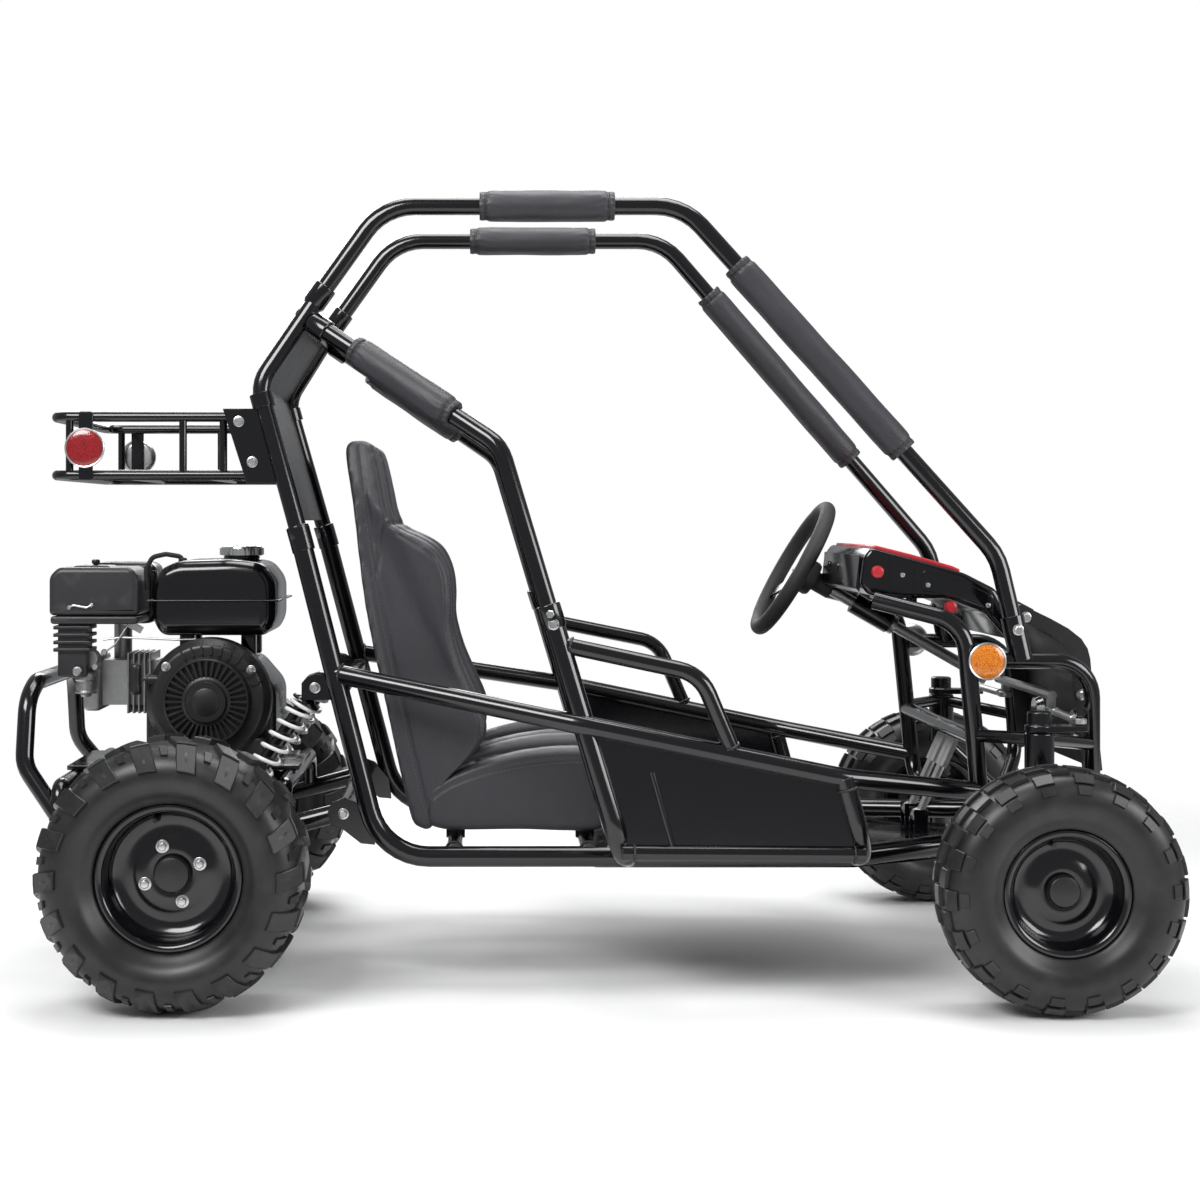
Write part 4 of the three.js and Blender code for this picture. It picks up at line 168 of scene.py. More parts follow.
class Forms:
    """Collects closed forms, and makes them into one mesh object."""

    def __init__(self):
        self.points = []
        self.faces = []

    def skin(self, rings, looped=False):
        """Joins rings of equal count with quads, then caps the end rings, or joins them when looped."""
        base = len(self.points)
        count = len(rings[0])
        for ring in rings:
            self.points.extend(ring)
        runs = len(rings) if looped else len(rings) - 1
        for row in range(runs):
            here = base + row * count
            there = base + ((row + 1) % len(rings)) * count
            for column in range(count):
                beside = (column + 1) % count
                self.faces.append((here + column, here + beside, there + beside, there + column))
        if not looped:
            self.faces.append(tuple(base + column for column in reversed(range(count))))
            last = base + (len(rings) - 1) * count
            self.faces.append(tuple(last + column for column in range(count)))
        return self

    def round_along(self, path, diameter, sides=TUBE_SIDES):
        """A round skin of even width along a path."""
        reach = diameter / 2 * MM
        return self.skin([[place + outward_at(one, two, angle) * reach for angle in angles(sides)]
                          for place, (one, two) in zip(path, frames_along(path))])

    def tube(self, corners, diameter, bend=60):
        """A round tube through the corner places."""
        return self.round_along(rounded(corners, bend), diameter)

    def bar(self, start, end, diameter):
        """A straight round tube."""
        return self.tube([start, end], diameter)

    def turned(self, profile, base, heading, segments=48):
        """A form turned about a heading: each profile step is a radius and a distance along it."""
        one, two = axes_for(heading)
        forward = heading.normalized()
        steps = [(max(radius, LEAST_RADIUS), along) for radius, along in profile]
        return self.skin([[base + (outward_at(one, two, angle) * radius + forward * along) * MM
                           for angle in angles(segments)] for radius, along in steps])

    def hollow(self, profile, base, heading):
        """A closed ring turned about a heading, so that it keeps an open bore."""
        one, two = axes_for(heading)
        forward = heading.normalized()
        return self.skin([[base + (outward_at(one, two, angle) * radius + forward * along) * MM
                           for radius, along in profile] for angle in angles(BORE_SIDES)], looped=True)

    def plate(self, corners, thickness, facing=None):
        """A flat plate through the corner places, half its thickness to each side."""
        normal = facing or (corners[1] - corners[0]).cross(corners[-1] - corners[0]).normalized()
        lift = normal * thickness / 2 * MM
        return self.skin([[corner - lift for corner in corners], [corner + lift for corner in corners]])

    def profile(self, outline, across, width):
        """A side outline of (along, height) steps, carried across the kart."""
        return self.skin([[at(along, across + edge, height) for along, height in outline]
                          for edge in (-width / 2, width / 2)])

    def block(self, centre, length, width, height):
        """A plain block about its centre."""
        corners = rectangle(-length / 2, -width / 2, length / 2, width / 2)
        return self.skin([[centre + at(x, y, z) for x, y in corners] for z in (-height / 2, height / 2)])

    def mesh(self, name):
        """One mesh of all the forms collected so far."""
        made = bpy.data.meshes.new(name)
        made.from_pydata([tuple(place) for place in self.points], [], self.faces)
        made.update()
        return made


# %% [markdown]
# ## From forms to a piece
# A piece needs three things said about it: its material, the body it moves with, and the solids it stands for.
# Normals are worked out again once the mesh is whole, so that no face shows its inside.
# A narrow bevel on the hard edges catches a line of light, as a real pressed or cast edge does.

# %% Make a piece of the kart
made_pieces = []
# the angle between two faces that makes their edge a hard one, in radians, and the same for small round forms
SHARP, SHARP_SMALL = 0.6, 1.5


def add_object(name, data):
    """An object in the scene that shows the data."""
    made = bpy.data.objects.new(name, data)
    bpy.context.scene.collection.objects.link(made)
    return made


def plain_mesh(made):
    """The mesh that an object's modifiers make, in the kart's frame. The object itself is thrown away."""
    bpy.context.view_layer.update()
    graph = bpy.context.evaluated_depsgraph_get()
    mesh = bpy.data.meshes.new_from_object(made.evaluated_get(graph))
    mesh.transform(made.matrix_world)
    bpy.data.objects.remove(made)
    return mesh


def tidy_normals(mesh, sharp=SHARP):
    """Turns every face outwards, and shades the mesh smooth but for its sharp edges."""
    work = bmesh.new()
    work.from_mesh(mesh)
    bmesh.ops.recalc_face_normals(work, faces=work.faces)
    work.to_mesh(mesh)
    work.free()
    mesh.shade_smooth()
    mesh.set_sharp_from_angle(angle=sharp)


def edge_bevel(made, width):
    """A narrow round edge of a width in millimetres."""
    edge = made.modifiers.new("Edges", "BEVEL")
    edge.width = width * MM
    edge.segments = 2
    return edge


def hand_over(made, stands_for):
    """Hides the solids that a piece stands for, and adds the piece to the list of made pieces."""
    if stands_for:
        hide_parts(*stands_for)
    made_pieces.append(made)
    return made


def piece(name, forms, material, body, stands_for=(), bevel=0.6, sharp=SHARP):
    """Makes one piece of the kart from its forms, sets it on its body, and hides the solids it stands for."""
    mesh = forms.mesh(name) if isinstance(forms, Forms) else forms
    tidy_normals(mesh, sharp)
    mesh.materials.clear()
    mesh.materials.append(material)
    made = add_object(name, mesh)
    if bevel:
        edge = edge_bevel(made, bevel)
        edge.limit_method = "ANGLE"
        edge.angle_limit = sharp
    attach(made, body)
    return hand_over(made, stands_for)


def bridging(name, forms, material, stands_for):
    """A piece that reaches over a joint. It is left in the kart's frame, on neither body."""
    mesh = forms.mesh(name)
    tidy_normals(mesh, 1.2)
    mesh.materials.append(material)
    made = add_object(name, mesh)
    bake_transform(made)
    return hand_over(made, stands_for)


def combine(name, *meshes):
    """One mesh from several, in the kart's frame."""
    forms = Forms()
    for mesh in meshes:
        base = len(forms.points)
        forms.points += [vertex.co.copy() for vertex in mesh.vertices]
        forms.faces += [tuple(base + index for index in face.vertices) for face in mesh.polygons]
        bpy.data.meshes.remove(mesh)
    return forms.mesh(name)


# %% [markdown]
# ## Repeats
# Bolts, tyre lugs, weld ripples, stitches and grille bars all repeat one small form.
# Geometry Nodes place them: one tree sets copies round a
# circle, one sets them along a path, one at marked spots.
# The result is turned into a plain mesh straight away, so that the finished kart carries no live tree.

# %% Trees that repeat a form
def new_tree(name, **kinds):
    """An empty tree that takes a form, its own numbers and a material, with its input node."""
    tree = bpy.data.node_groups.new(name, "GeometryNodeTree")
    sockets = {"Geometry": "Geometry", "Form": "Object", **kinds, "Material": "Material"}
    for label, kind in sockets.items():
        tree.interface.new_socket(name=label, in_out="INPUT", socket_type=f"NodeSocket{kind}")
    tree.interface.new_socket(name="Geometry", in_out="OUTPUT", socket_type="NodeSocketGeometry")
    return tree, tree.nodes.new("NodeGroupInput").outputs


def feed(tree, socket, value):
    """Links a socket to another one, or types a plain value into it."""
    if isinstance(value, bpy.types.NodeSocket):
        tree.links.new(value, socket)
    else:
        socket.default_value = value


def add_node(tree, kind, settings=None, values=None):
    """A node with its settings, and with its inputs fed by name or by number."""
    node = tree.nodes.new(kind)
    for key, value in (settings or {}).items():
        setattr(node, key, value)
    for key, value in (values or {}).items():
        feed(tree, node.inputs[key], value)
    return node


def maths(tree, operation, *values):
    """The result of a sum, in a tree."""
    return add_node(tree, "ShaderNodeMath", {"operation": operation}, dict(enumerate(values))).outputs[0]


def about_z(tree, angle):
    """A turn about Z, in a tree."""
    return add_node(tree, "ShaderNodeCombineXYZ", None, {"Z": angle}).outputs[0]


def finish_tree(tree, given, points, rotation):
    """Sets a copy of the form at each point, makes the copies real and paints them."""
    form = add_node(tree, "GeometryNodeObjectInfo", {"transform_space": "ORIGINAL"}, {"Object": given["Form"]})
    copies = add_node(tree, "GeometryNodeInstanceOnPoints", None,
                      {"Points": points, "Instance": form.outputs["Geometry"], "Rotation": rotation})
    real = add_node(tree, "GeometryNodeRealizeInstances", None, {"Geometry": copies.outputs[0]})
    painted = add_node(tree, "GeometryNodeSetMaterial", None,
                       {"Geometry": real.outputs[0], "Material": given["Material"]})
    add_node(tree, "NodeGroupOutput", None, {"Geometry": painted.outputs[0]})
    return tree


def ring_tree():
    """Copies of one form, set round the tree's own vertical axis."""
    tree, given = new_tree("Round an axis", Count="Int")
    points = add_node(tree, "GeometryNodeMeshLine", None, {"Count": given["Count"], "Offset": (0, 0, 0)})
    index = add_node(tree, "GeometryNodeInputIndex").outputs[0]
    turn = maths(tree, "MULTIPLY", maths(tree, "DIVIDE", index, given["Count"]), 2 * math.pi)
    return finish_tree(tree, given, points.outputs[0], about_z(tree, turn))


def path_tree():
    """Copies of one form, set along a curve and turned to follow it."""
    tree, given = new_tree("Along a path", Count="Int")
    points = add_node(tree, "GeometryNodeCurveToPoints", {"mode": "COUNT"},
                      {"Curve": given["Geometry"], "Count": given["Count"]})
    return finish_tree(tree, given, points.outputs["Points"], points.outputs["Rotation"])


def spot_tree():
    """Copies of one form at marked spots, each standing on the heading stored with its spot."""
    tree, given = new_tree("At marked spots", Wobble="Float", Seed="Int")
    heading = add_node(tree, "GeometryNodeInputNamedAttribute", {"data_type": "FLOAT_VECTOR"},
                       {"Name": "heading"})
    stand = add_node(tree, "FunctionNodeAlignRotationToVector", {"axis": "Z"},
                     {"Vector": heading.outputs["Attribute"]})
    chance = add_node(tree, "FunctionNodeRandomValue", {"data_type": "FLOAT"}, {"Seed": given["Seed"]})
    own_turn = about_z(tree, maths(tree, "MULTIPLY", chance.outputs[1], given["Wobble"]))
    turned = add_node(tree, "FunctionNodeRotateRotation", {"rotation_space": "LOCAL"},
                      {"Rotation": stand.outputs[0], "Rotate By": own_turn})
    return finish_tree(tree, given, given["Geometry"], turned.outputs[0])


TREES = {"ring": ring_tree(), "path": path_tree(), "spots": spot_tree()}
print("repeat trees:", ", ".join(TREES))


# %% Run a tree and keep the plain mesh
def prototype(forms, sharp=SHARP, bevel=0):
    """A hidden object that a tree copies. It is thrown away once the copies are real."""
    mesh = forms.mesh("prototype")
    tidy_normals(mesh, sharp)
    made = add_object("prototype", mesh)
    if bevel:
        edge_bevel(made, bevel)
    return made


def run_tree(kind, host_data, form, material, place=None, **inputs):
    """Runs one tree on a host, and gives back the copies as one plain mesh in the kart's frame."""
    tree = TREES[kind]
    host = add_object("host", host_data)
    if place:
        host.matrix_world = place
    grown = host.modifiers.new("Repeat", "NODES")
    grown.node_group = tree
    sockets = {item.name: item.identifier for item in tree.interface.items_tree if item.in_out == "INPUT"}
    for label, value in {"Form": form, "Material": material, **inputs}.items():
        grown[sockets[label]] = value
    mesh = plain_mesh(host)
    bpy.data.objects.remove(form)
    return mesh


def ring_of(forms, base, heading, count, material):
    """A form that was drawn round the vertical axis, repeated round the given axis."""
    one, two = axes_for(heading)
    place = Matrix.Translation(base) @ Matrix((one, two, heading.normalized())).transposed().to_4x4()
    return run_tree("ring", bpy.data.meshes.new("ring"), prototype(forms), material, place, Count=count)


def row_of(forms, path, count, material, looped=False):
    """A form repeated along a path. It is drawn about its own centre, with Z along the path."""
    curve = bpy.data.curves.new("row", "CURVE")
    curve.dimensions = "3D"
    line = curve.splines.new("POLY")
    line.points.add(len(path) - 1)
    for spot, place in zip(line.points, path):
        spot.co = (*place, 1)
    line.use_cyclic_u = looped
    return run_tree("path", curve, prototype(forms, SHARP_SMALL), material, Count=count)


def spots_of(forms, spots, material, wobble=math.pi, seed=4, bevel=0):
    """A form set at (place, heading) spots, such as bolt heads."""
    mesh = bpy.data.meshes.new("spots")
    mesh.from_pydata([tuple(place) for place, _ in spots], [], [])
    marks = mesh.attributes.new("heading", "FLOAT_VECTOR", "POINT")
    for mark, (_, heading) in zip(marks.data, spots):
        mark.vector = heading.normalized()
    return run_tree("spots", mesh, prototype(forms, bevel=bevel), material, Wobble=wobble, Seed=seed)


def standing(profile, segments):
    """A small form turned about the origin, standing on Z, ready to be repeated."""
    return Forms().turned(profile, at(0, 0, 0), UPWARD, segments)


def hex_bolt(head=13, height=7, washer=17):
    """A flanged hexagon head bolt, standing on Z with its washer on the ground."""
    forms = Forms()
    forms.turned([(washer / 2, -1), (washer / 2, 1.2), (washer / 2 - 1, 1.6)], at(0, 0, 0), UPWARD, 24)
    forms.turned([(head / 2, 0), (head / 2, height - 1.2), (head / 2 - 1.4, height)], at(0, 0, 0), UPWARD, 6)
    return forms


# %% [markdown]
# ## Materials
# Each material is one shader whose colour, roughness and bump are worked out from the place on the piece.
# Lengths in a pattern are real: a grain of 1.5 mm is a noise whose scale is one over 0.0015 m.
# The small class below lets a mask be written as a plain sum, such as `1 - dust * 0.4`.

# %% A small language for surface patterns
class Field:
    """A number that varies over a surface."""

    def __init__(self, surface, socket):
        self.surface = surface
        self.socket = socket

    def __add__(self, other):
        return self.surface.maths("ADD", self, other)

    __radd__ = __add__

    def __mul__(self, other):
        return self.surface.maths("MULTIPLY", self, other)

    __rmul__ = __mul__

    def __sub__(self, other):
        return self.surface.maths("SUBTRACT", self, other)

    def __rsub__(self, other):
        return self.surface.maths("SUBTRACT", other, self)

    def step(self, low, high):
        """0 below low, 1 above high, and a smooth rise between."""
        made = self.surface.node("ShaderNodeMapRange", {"interpolation_type": "SMOOTHSTEP"},
                                 {"Value": self, "From Min": low, "From Max": high})
        return Field(self.surface, made.outputs["Result"])


class Surface:
    """One procedural material, built round a single shader."""

    def __init__(self, name, colour, roughness, metallic=0.0, coat=0.0, coat_roughness=0.08):
        self.material = bpy.data.materials.new(name)
        self.material.use_nodes = True
        self.tree = self.material.node_tree
        self.shader = self.tree.nodes["Principled BSDF"]
        for label, value in (("Base Color", (*colour, 1)), ("Roughness", roughness), ("Metallic", metallic),
                             ("Coat Weight", coat), ("Coat Roughness", coat_roughness)):
            self.shader.inputs[label].default_value = value
        self.place = self.node("ShaderNodeTexCoord").outputs["Object"]

    def node(self, kind, settings=None, values=None):
        """A node of this material. Its inputs take fields, sockets or plain values."""
        made = add_node(self.tree, kind, settings)
        for key, value in (values or {}).items():
            self.feed(made.inputs[key], value)
        return made

    def feed(self, socket, value):
        """Links or types a value into a socket."""
        feed(self.tree, socket, value.socket if isinstance(value, Field) else value)

    def maths(self, operation, one, two):
        """The field that a sum of two values makes."""
        return Field(self, self.node("ShaderNodeMath", {"operation": operation}, {0: one, 1: two}).outputs[0])

    def noise(self, size, detail=3.0, stretch=(1, 1, 1)):
        """Soft blotches about size millimetres across."""
        place = self.node("ShaderNodeVectorMath", {"operation": "MULTIPLY"},
                          {0: self.place, 1: stretch}).outputs[0]
        made = self.node("ShaderNodeTexNoise", None,
                         {"Vector": place, "Scale": 1 / (size * MM), "Detail": detail})
        return Field(self, made.outputs[0])

    def cells(self, size, feature="F1"):
        """Cells about size millimetres across, measured from their middles or their edges."""
        made = self.node("ShaderNodeTexVoronoi", {"feature": feature},
                         {"Vector": self.place, "Scale": 1 / (size * MM)})
        return Field(self, made.outputs["Distance"])

    def facing_up(self):
        """1 where the surface faces up, 0 where it stands upright."""
        made = self.node("ShaderNodeSeparateXYZ", None,
                         {0: self.node("ShaderNodeNewGeometry").outputs["Normal"]})
        return Field(self, made.outputs[2])

    def blend(self, mask, one, two):
        """A colour that goes from one to two as the mask goes from 0 to 1."""
        made = self.node("ShaderNodeMix", {"data_type": "RGBA"}, {0: mask, 6: (*one, 1), 7: (*two, 1)})
        return made.outputs[2]

    def colour(self, socket):
        """The colour that the surface shows."""
        self.feed(self.shader.inputs["Base Color"], socket)
        return self

    def rough(self, field):
        """How matt the surface is: 0 is a mirror, 1 is chalk."""
        self.feed(self.shader.inputs["Roughness"], field)
        return self

    def bump(self, field, depth, strength=1.0):
        """Raises the surface by depth millimetres where the field is 1."""
        made = self.node("ShaderNodeBump", None,
                         {"Height": field, "Distance": depth * MM, "Strength": strength})
        self.feed(self.shader.inputs["Normal"], made.outputs[0])
        return self


# %% Paint, metal and plastic
def gloss_black():
    """Powder coat: deep gloss black with orange peel, and a trace of dust on what faces up."""
    paint = Surface("gloss_black_paint", (0.012, 0.012, 0.013), 0.2, coat=0.3)
    patches = paint.noise(60, 4)
    dust = paint.facing_up().step(0.3, 1) * patches.step(0.45, 0.75)
    paint.colour(paint.blend(dust * 0.4, (0.002, 0.002, 0.003), (0.016, 0.016, 0.017)))
    paint.rough(0.13 + dust * 0.18 + patches * 0.05)
    return paint.bump(paint.noise(2.2, 2), 0.03).material


def engine_black():
    """Paint over a sand casting: the grain of the casting shows through the gloss."""
    paint = Surface("engine_paint", (0.012, 0.012, 0.013), 0.3, coat=0.3)
    grain = paint.noise(1.6, 4)
    soot = paint.noise(45, 3).step(0.5, 0.8)
    paint.colour(paint.blend(soot, (0.012, 0.012, 0.013), (0.006, 0.006, 0.006)))
    paint.rough(0.2 + grain * 0.1 + soot * 0.1)
    return paint.bump(grain, 0.12).material


def moulded_plastic(name, dark, light):
    """Moulded plastic with a fine spark grain, scuffed in patches."""
    plastic = Surface(name, (light, light, light), 0.42)
    grain = plastic.noise(0.9, 2)
    scuffs = plastic.noise(30, 5).step(0.55, 0.8)
    plastic.colour(plastic.blend(scuffs, (dark, dark, dark * 1.08), (light, light, light * 1.05)))
    plastic.rough(0.32 + grain * 0.1 + scuffs * 0.12)
    return plastic.bump(grain, 0.06).material


def red_plastic():
    """Red moulded plastic, a little faded in wide patches."""
    plastic = Surface("red_moulded_plastic", (0.42, 0.012, 0.02), 0.35, coat=0.2)
    grain = plastic.noise(0.9, 2)
    fade = plastic.noise(80, 2)
    plastic.colour(plastic.blend(fade, (0.40, 0.010, 0.018), (0.50, 0.018, 0.026)))
    plastic.rough(0.3 + grain * 0.12)
    return plastic.bump(grain, 0.05).material


def zinc_steel(name="zinc_plated_steel", shade=0.62, roughness=0.3):
    """Bright zinc plate with the faint blotches of its bath."""
    metal = Surface(name, (shade, shade, shade), roughness, metallic=1.0)
    bloom = metal.noise(9, 4)
    metal.colour(metal.blend(bloom, (shade * 0.85,) * 3, (shade * 1.1, shade * 1.1, shade * 1.08)))
    metal.rough(roughness - 0.06 + bloom * 0.14)
    return metal.bump(metal.noise(0.7, 2, (1, 1, 6)), 0.02).material


def spring_white():
    """White powder coat, thick enough to soften the wire's edges."""
    paint = Surface("white_spring_coat", (0.78, 0.78, 0.76), 0.3, coat=0.3)
    grime = paint.noise(22, 4).step(0.5, 0.85)
    paint.colour(paint.blend(grime, (0.80, 0.80, 0.78), (0.62, 0.61, 0.58)))
    paint.rough(0.26 + grime * 0.2)
    return paint.bump(paint.noise(2.0, 2), 0.04).material


def lens(name, bright, deep):
    """A reflector lens: small prisms under a clear, glossy face."""
    plastic = Surface(name, bright, 0.12, coat=0.8, coat_roughness=0.04)
    prisms = plastic.cells(2.4)
    plastic.colour(plastic.blend(prisms.step(0.1, 0.9), bright, deep))
    plastic.rough(0.1 + prisms * 0.15)
    return plastic.bump(prisms, 0.35, 0.6).material


# %% Rubber, vinyl and thread
def tyre_black():
    """Tyre rubber: matt black, slightly greyer where it has been scrubbed."""
    rubber = Surface("tyre_rubber", (0.014, 0.014, 0.014), 0.62)
    bloom = rubber.noise(35, 4)
    grain = rubber.noise(1.1, 3)
    rubber.colour(rubber.blend(bloom.step(0.4, 0.8), (0.008, 0.008, 0.008), (0.018, 0.018, 0.0175)))
    rubber.rough(0.28 + bloom * 0.14 + grain * 0.08)
    return rubber.bump(grain, 0.12).material


def soft_black():
    """Foam or hose rubber: dull, with fine pits."""
    rubber = Surface("soft_black_rubber", (0.018, 0.018, 0.018), 0.7)
    pits = rubber.cells(1.4)
    rubber.colour(rubber.blend(pits.step(0.2, 0.8), (0.013, 0.013, 0.013), (0.024, 0.024, 0.024)))
    rubber.rough(0.6 + pits * 0.15)
    return rubber.bump(pits, 0.15).material


def grey_vinyl():
    """Seat vinyl: a dark grey leather grain over soft creases."""
    vinyl = Surface("grey_black_vinyl", (0.034, 0.034, 0.040), 0.46)
    grain = vinyl.cells(1.7, "DISTANCE_TO_EDGE").step(0.0, 0.28)
    creases = vinyl.noise(28, 5)
    tone = vinyl.noise(120, 2)
    vinyl.colour(vinyl.blend(tone * grain, (0.024, 0.024, 0.029), (0.050, 0.050, 0.057)))
    vinyl.rough(0.40 + creases * 0.18 - grain * 0.05)
    return vinyl.bump(grain * 0.16 + creases * 0.9, 0.9, 0.55).material


def sewing_thread():
    """Waxed thread, a little lighter than the vinyl it holds."""
    thread = Surface("grey_thread", (0.075, 0.075, 0.082), 0.6)
    twist = thread.noise(0.8, 2)
    thread.colour(thread.blend(twist, (0.055, 0.055, 0.060), (0.10, 0.10, 0.11)))
    thread.rough(0.5 + twist * 0.2)
    return thread.bump(twist, 0.1).material


BLACK = gloss_black()
ENGINE = engine_black()
PLASTIC = moulded_plastic("black_moulded_plastic", 0.012, 0.022)
GREY = moulded_plastic("grey_moulded_plastic", 0.024, 0.040)
RED = red_plastic()
ZINC = zinc_steel()
CHROME = zinc_steel("bright_chrome", 0.82, 0.14)
DULL = zinc_steel("brushed_steel", 0.42, 0.42)
WHITE = spring_white()
AMBER = lens("amber_lens", (0.80, 0.26, 0.012), (0.46, 0.10, 0.004))
RUBY = lens("red_lens", (0.34, 0.006, 0.012), (0.14, 0.002, 0.004))
CLEAR = lens("clear_lamp_lens", (0.74, 0.76, 0.78), (0.40, 0.42, 0.44))
RUBBER = tyre_black()
FOAM = soft_black()
VINYL = grey_vinyl()
VINYL_THREAD = sewing_thread()
print("materials:", len(bpy.data.materials))

# %% [markdown]
# ## Camera, light and floor
# The photograph looks level across the kart, from its right
# side, so the camera stands 3.5 m off its middle plane.
# Shifting the lens, rather than turning the camera, keeps every upright upright, as in the photograph.
# The floor fades out into the pale background, so that no line shows where it ends.

# %% Camera
camera_data = bpy.data.cameras.new("camera")
camera_data.lens = 63.2
camera_data.sensor_width = 36
camera_data.shift_x = 0.0917
camera_data.shift_y = -0.0683
camera_data.clip_end = 60
camera = add_object("camera", camera_data)
camera.location = at(-131, -3520, 718)
camera.rotation_euler = (math.pi / 2, 0, 0)
bpy.context.scene.camera = camera

# %% Lights
bpy.context.scene.view_settings.view_transform = "Standard"


def softbox(name, place, width, power):
    """A soft lamp of a width in metres and a power in watts, aimed at the kart's middle."""
    lamp = bpy.data.lights.new(name, "AREA")
    lamp.shape = "RECTANGLE"
    lamp.size = width
    lamp.size_y = width * 0.7
    lamp.energy = power
    made = add_object(name, lamp)
    made.location = place
    made.rotation_euler = (KART_MIDDLE - place).to_track_quat("-Z", "Y").to_euler()


KART_MIDDLE = at(0, 0, 550)
softbox("key_softbox", at(-1700, -2600, 2900), 2.0, 115)
softbox("side_softbox", at(2900, -1700, 1500), 1.8, 55)
softbox("top_softbox", at(200, 300, 3400), 2.6, 90)
softbox("back_softbox", at(-600, 3000, 2200), 2.2, 60)

# %% Background and floor
world = bpy.data.worlds.new("studio")
bpy.context.scene.world = world
world.use_nodes = True
sky = world.node_tree
sky.nodes.clear()
seen = add_node(sky, "ShaderNodeLightPath").outputs["Is Camera Ray"]
lighting = add_node(sky, "ShaderNodeBackground", None, {"Color": (0.30, 0.305, 0.315, 1)}).outputs[0]
behind = add_node(sky, "ShaderNodeBackground", None, {"Color": (1, 1, 1, 1)}).outputs[0]
chosen = add_node(sky, "ShaderNodeMixShader", None, {0: seen, 1: lighting, 2: behind}).outputs[0]
add_node(sky, "ShaderNodeOutputWorld", None, {0: chosen})

floor_look = Surface("pale_floor", (0.86, 0.86, 0.86), 0.55)
spread = floor_look.node("ShaderNodeVectorMath", {"operation": "LENGTH"},
                         {0: floor_look.place}).outputs["Value"]
fade = 1 - Field(floor_look, spread).step(1.3, 2.6)
floor_look.rough(0.5 + floor_look.noise(3, 2) * 0.1)
floor_look.feed(floor_look.shader.inputs["Alpha"], fade)
floor_mesh = standing([(3200, -4), (3200, -0.5)], 96).mesh("floor")
tidy_normals(floor_mesh)
floor_mesh.materials.append(floor_look.material)
floor = add_object("floor", floor_mesh)

# %% [markdown]
# ## The tube frame
# The kart is a welded tube frame in two halves: a low frame
# that carries the seats, and a cage that plugs onto it.
# The tubes are drawn again here through the same places as the solids,
# but with many more sides, so that they shine as round tube does.
# The places below are named once, and every tube is strung between them.

# %% Places of the frame
COLLAR = at(-429.6, 255.2, 705.5)
COLLAR_FOOT = at(-419, 258, 667)
RAIL_BEND = at(-298, 285.2, 198.1)
RAIL_MID = at(429.6, 280, 198.1)
RAIL_FRONT = at(735.3, 135, 212)
HOOP_BEND = at(-491.5, 240, 925.3)
HOOP_TOP = at(-398.6, 209.2, 1067.9)
ROOF_START = at(-409, 209.2, 1053)
ROOF_REAR = at(-298, 209.2, 1208)
ROOF_FRONT = at(172.9, 209.2, 1208)
PILLAR_BEND = at(655.3, 255.2, 659.6)
PILLAR_FOOT = at(684, 265, 528)
SHOULDER_START = at(-411, 221, 1026)
SHOULDER_BEND = at(-116.1, 350, 826.3)
LEG_TOP = at(-44, 370, 585)
LEG_FOOT = at(64.5, 400, 222.3)
SIDE_REAR = at(-371, 269, 478)
SIDE_MID = at(7.7, 395.2, 410.7)
SIDE_FRONT = at(399.9, 385.2, 329.8)
SIDE_END = at(626, 263, 295)
FRONT_DROP = at(427, 385.2, 217.4)
LOOP_CORNER = at(180.6, 400, 486.8)
DASH_HORN = at(469.6, 224, 589.5)
UPRIGHT_TOP = at(601.1, 269.2, 555.7)
UPRIGHT_LOW = at(628.2, 262, 265.8)
UPRIGHT_FOOT = at(641.1, 176, 210.2)
HOOP_FRONT = at(799.8, 262, 497.1)
HOOP_LOW = at(806.3, 240, 299.6)
BUMPER_END = at(754.7, 160, 212)
# the tubes' diameters, the collars' diameter and the sheets' thickness
RAIL, LEG, SIDE_TUBE, THIN, STUB, COLLAR_WIDE = 32, 28, 30, 25, 20, 36
PANEL = 4


# %% Lower frame
def lower_frame():
    """The bottom rails with collars, shock forks and swingarm lugs, then cross tubes and seat bearers."""
    forms = Forms()
    for side in SIDES.values():
        rail = one_side(side, COLLAR, RAIL_BEND, RAIL_MID, RAIL_FRONT)
        forms.tube(rail, RAIL, bend=95)
        forms.bar(*one_side(side, lerp(COLLAR, COLLAR_FOOT, 0.08), COLLAR_FOOT), COLLAR_WIDE)
        fork = side * 240
        for cheek in (-15, 15):
            forms.profile([(-423, 436), (-423, 462), (-414, 473), (-402, 477), (-390, 475), (-368, 462),
                           (-358, 444), (-366, 436)], fork + cheek, 4)
        forms.bar(at(-402, fork - 17, 455), at(-402, fork + 17, 455), 12)
        forms.profile([(-382, 262), (-376, 279), (-357, 287), (-338, 280), (-312, 250), (-308, 214),
                       (-330, 216), (-357, 237), (-376, 245)], side * 268, 8)
        forms.bar(at(-357, side * 232, 262), at(-357, side * 270, 262), 16)
    for along in (-186, 21):
        forms.bar(at(along, -288, 206), at(along, 288, 206), THIN)
        for across in (-115, 115):
            forms.block(at(along, across, 219), 30, 60, 26)
    forms.bar(at(-364, -257, 452), at(-364, 257, 452), THIN)
    for across in (72, 150):
        for cheek in (-1, 1):
            forms.block(at(600, across + cheek * 18.3, 204), 24, 5, 38)
        forms.bar(at(600, across - 20, 211.1), at(600, across + 20, 211.1), 12)
    return forms


piece("welded_lower_frame", lower_frame(), BLACK, "chassis", ["lower_frame"])


def pan_forms():
    """The floor pan, narrower towards the front."""
    half, front_half, z = 284, 118, 183.1
    return Forms().plate([at(30, -half, z), at(429, -half, z), at(735, -front_half, z), at(735, front_half, z),
                          at(429, half, z), at(30, half, z)], PANEL, UPWARD)


piece("floor_pan", pan_forms(), BLACK, "chassis")


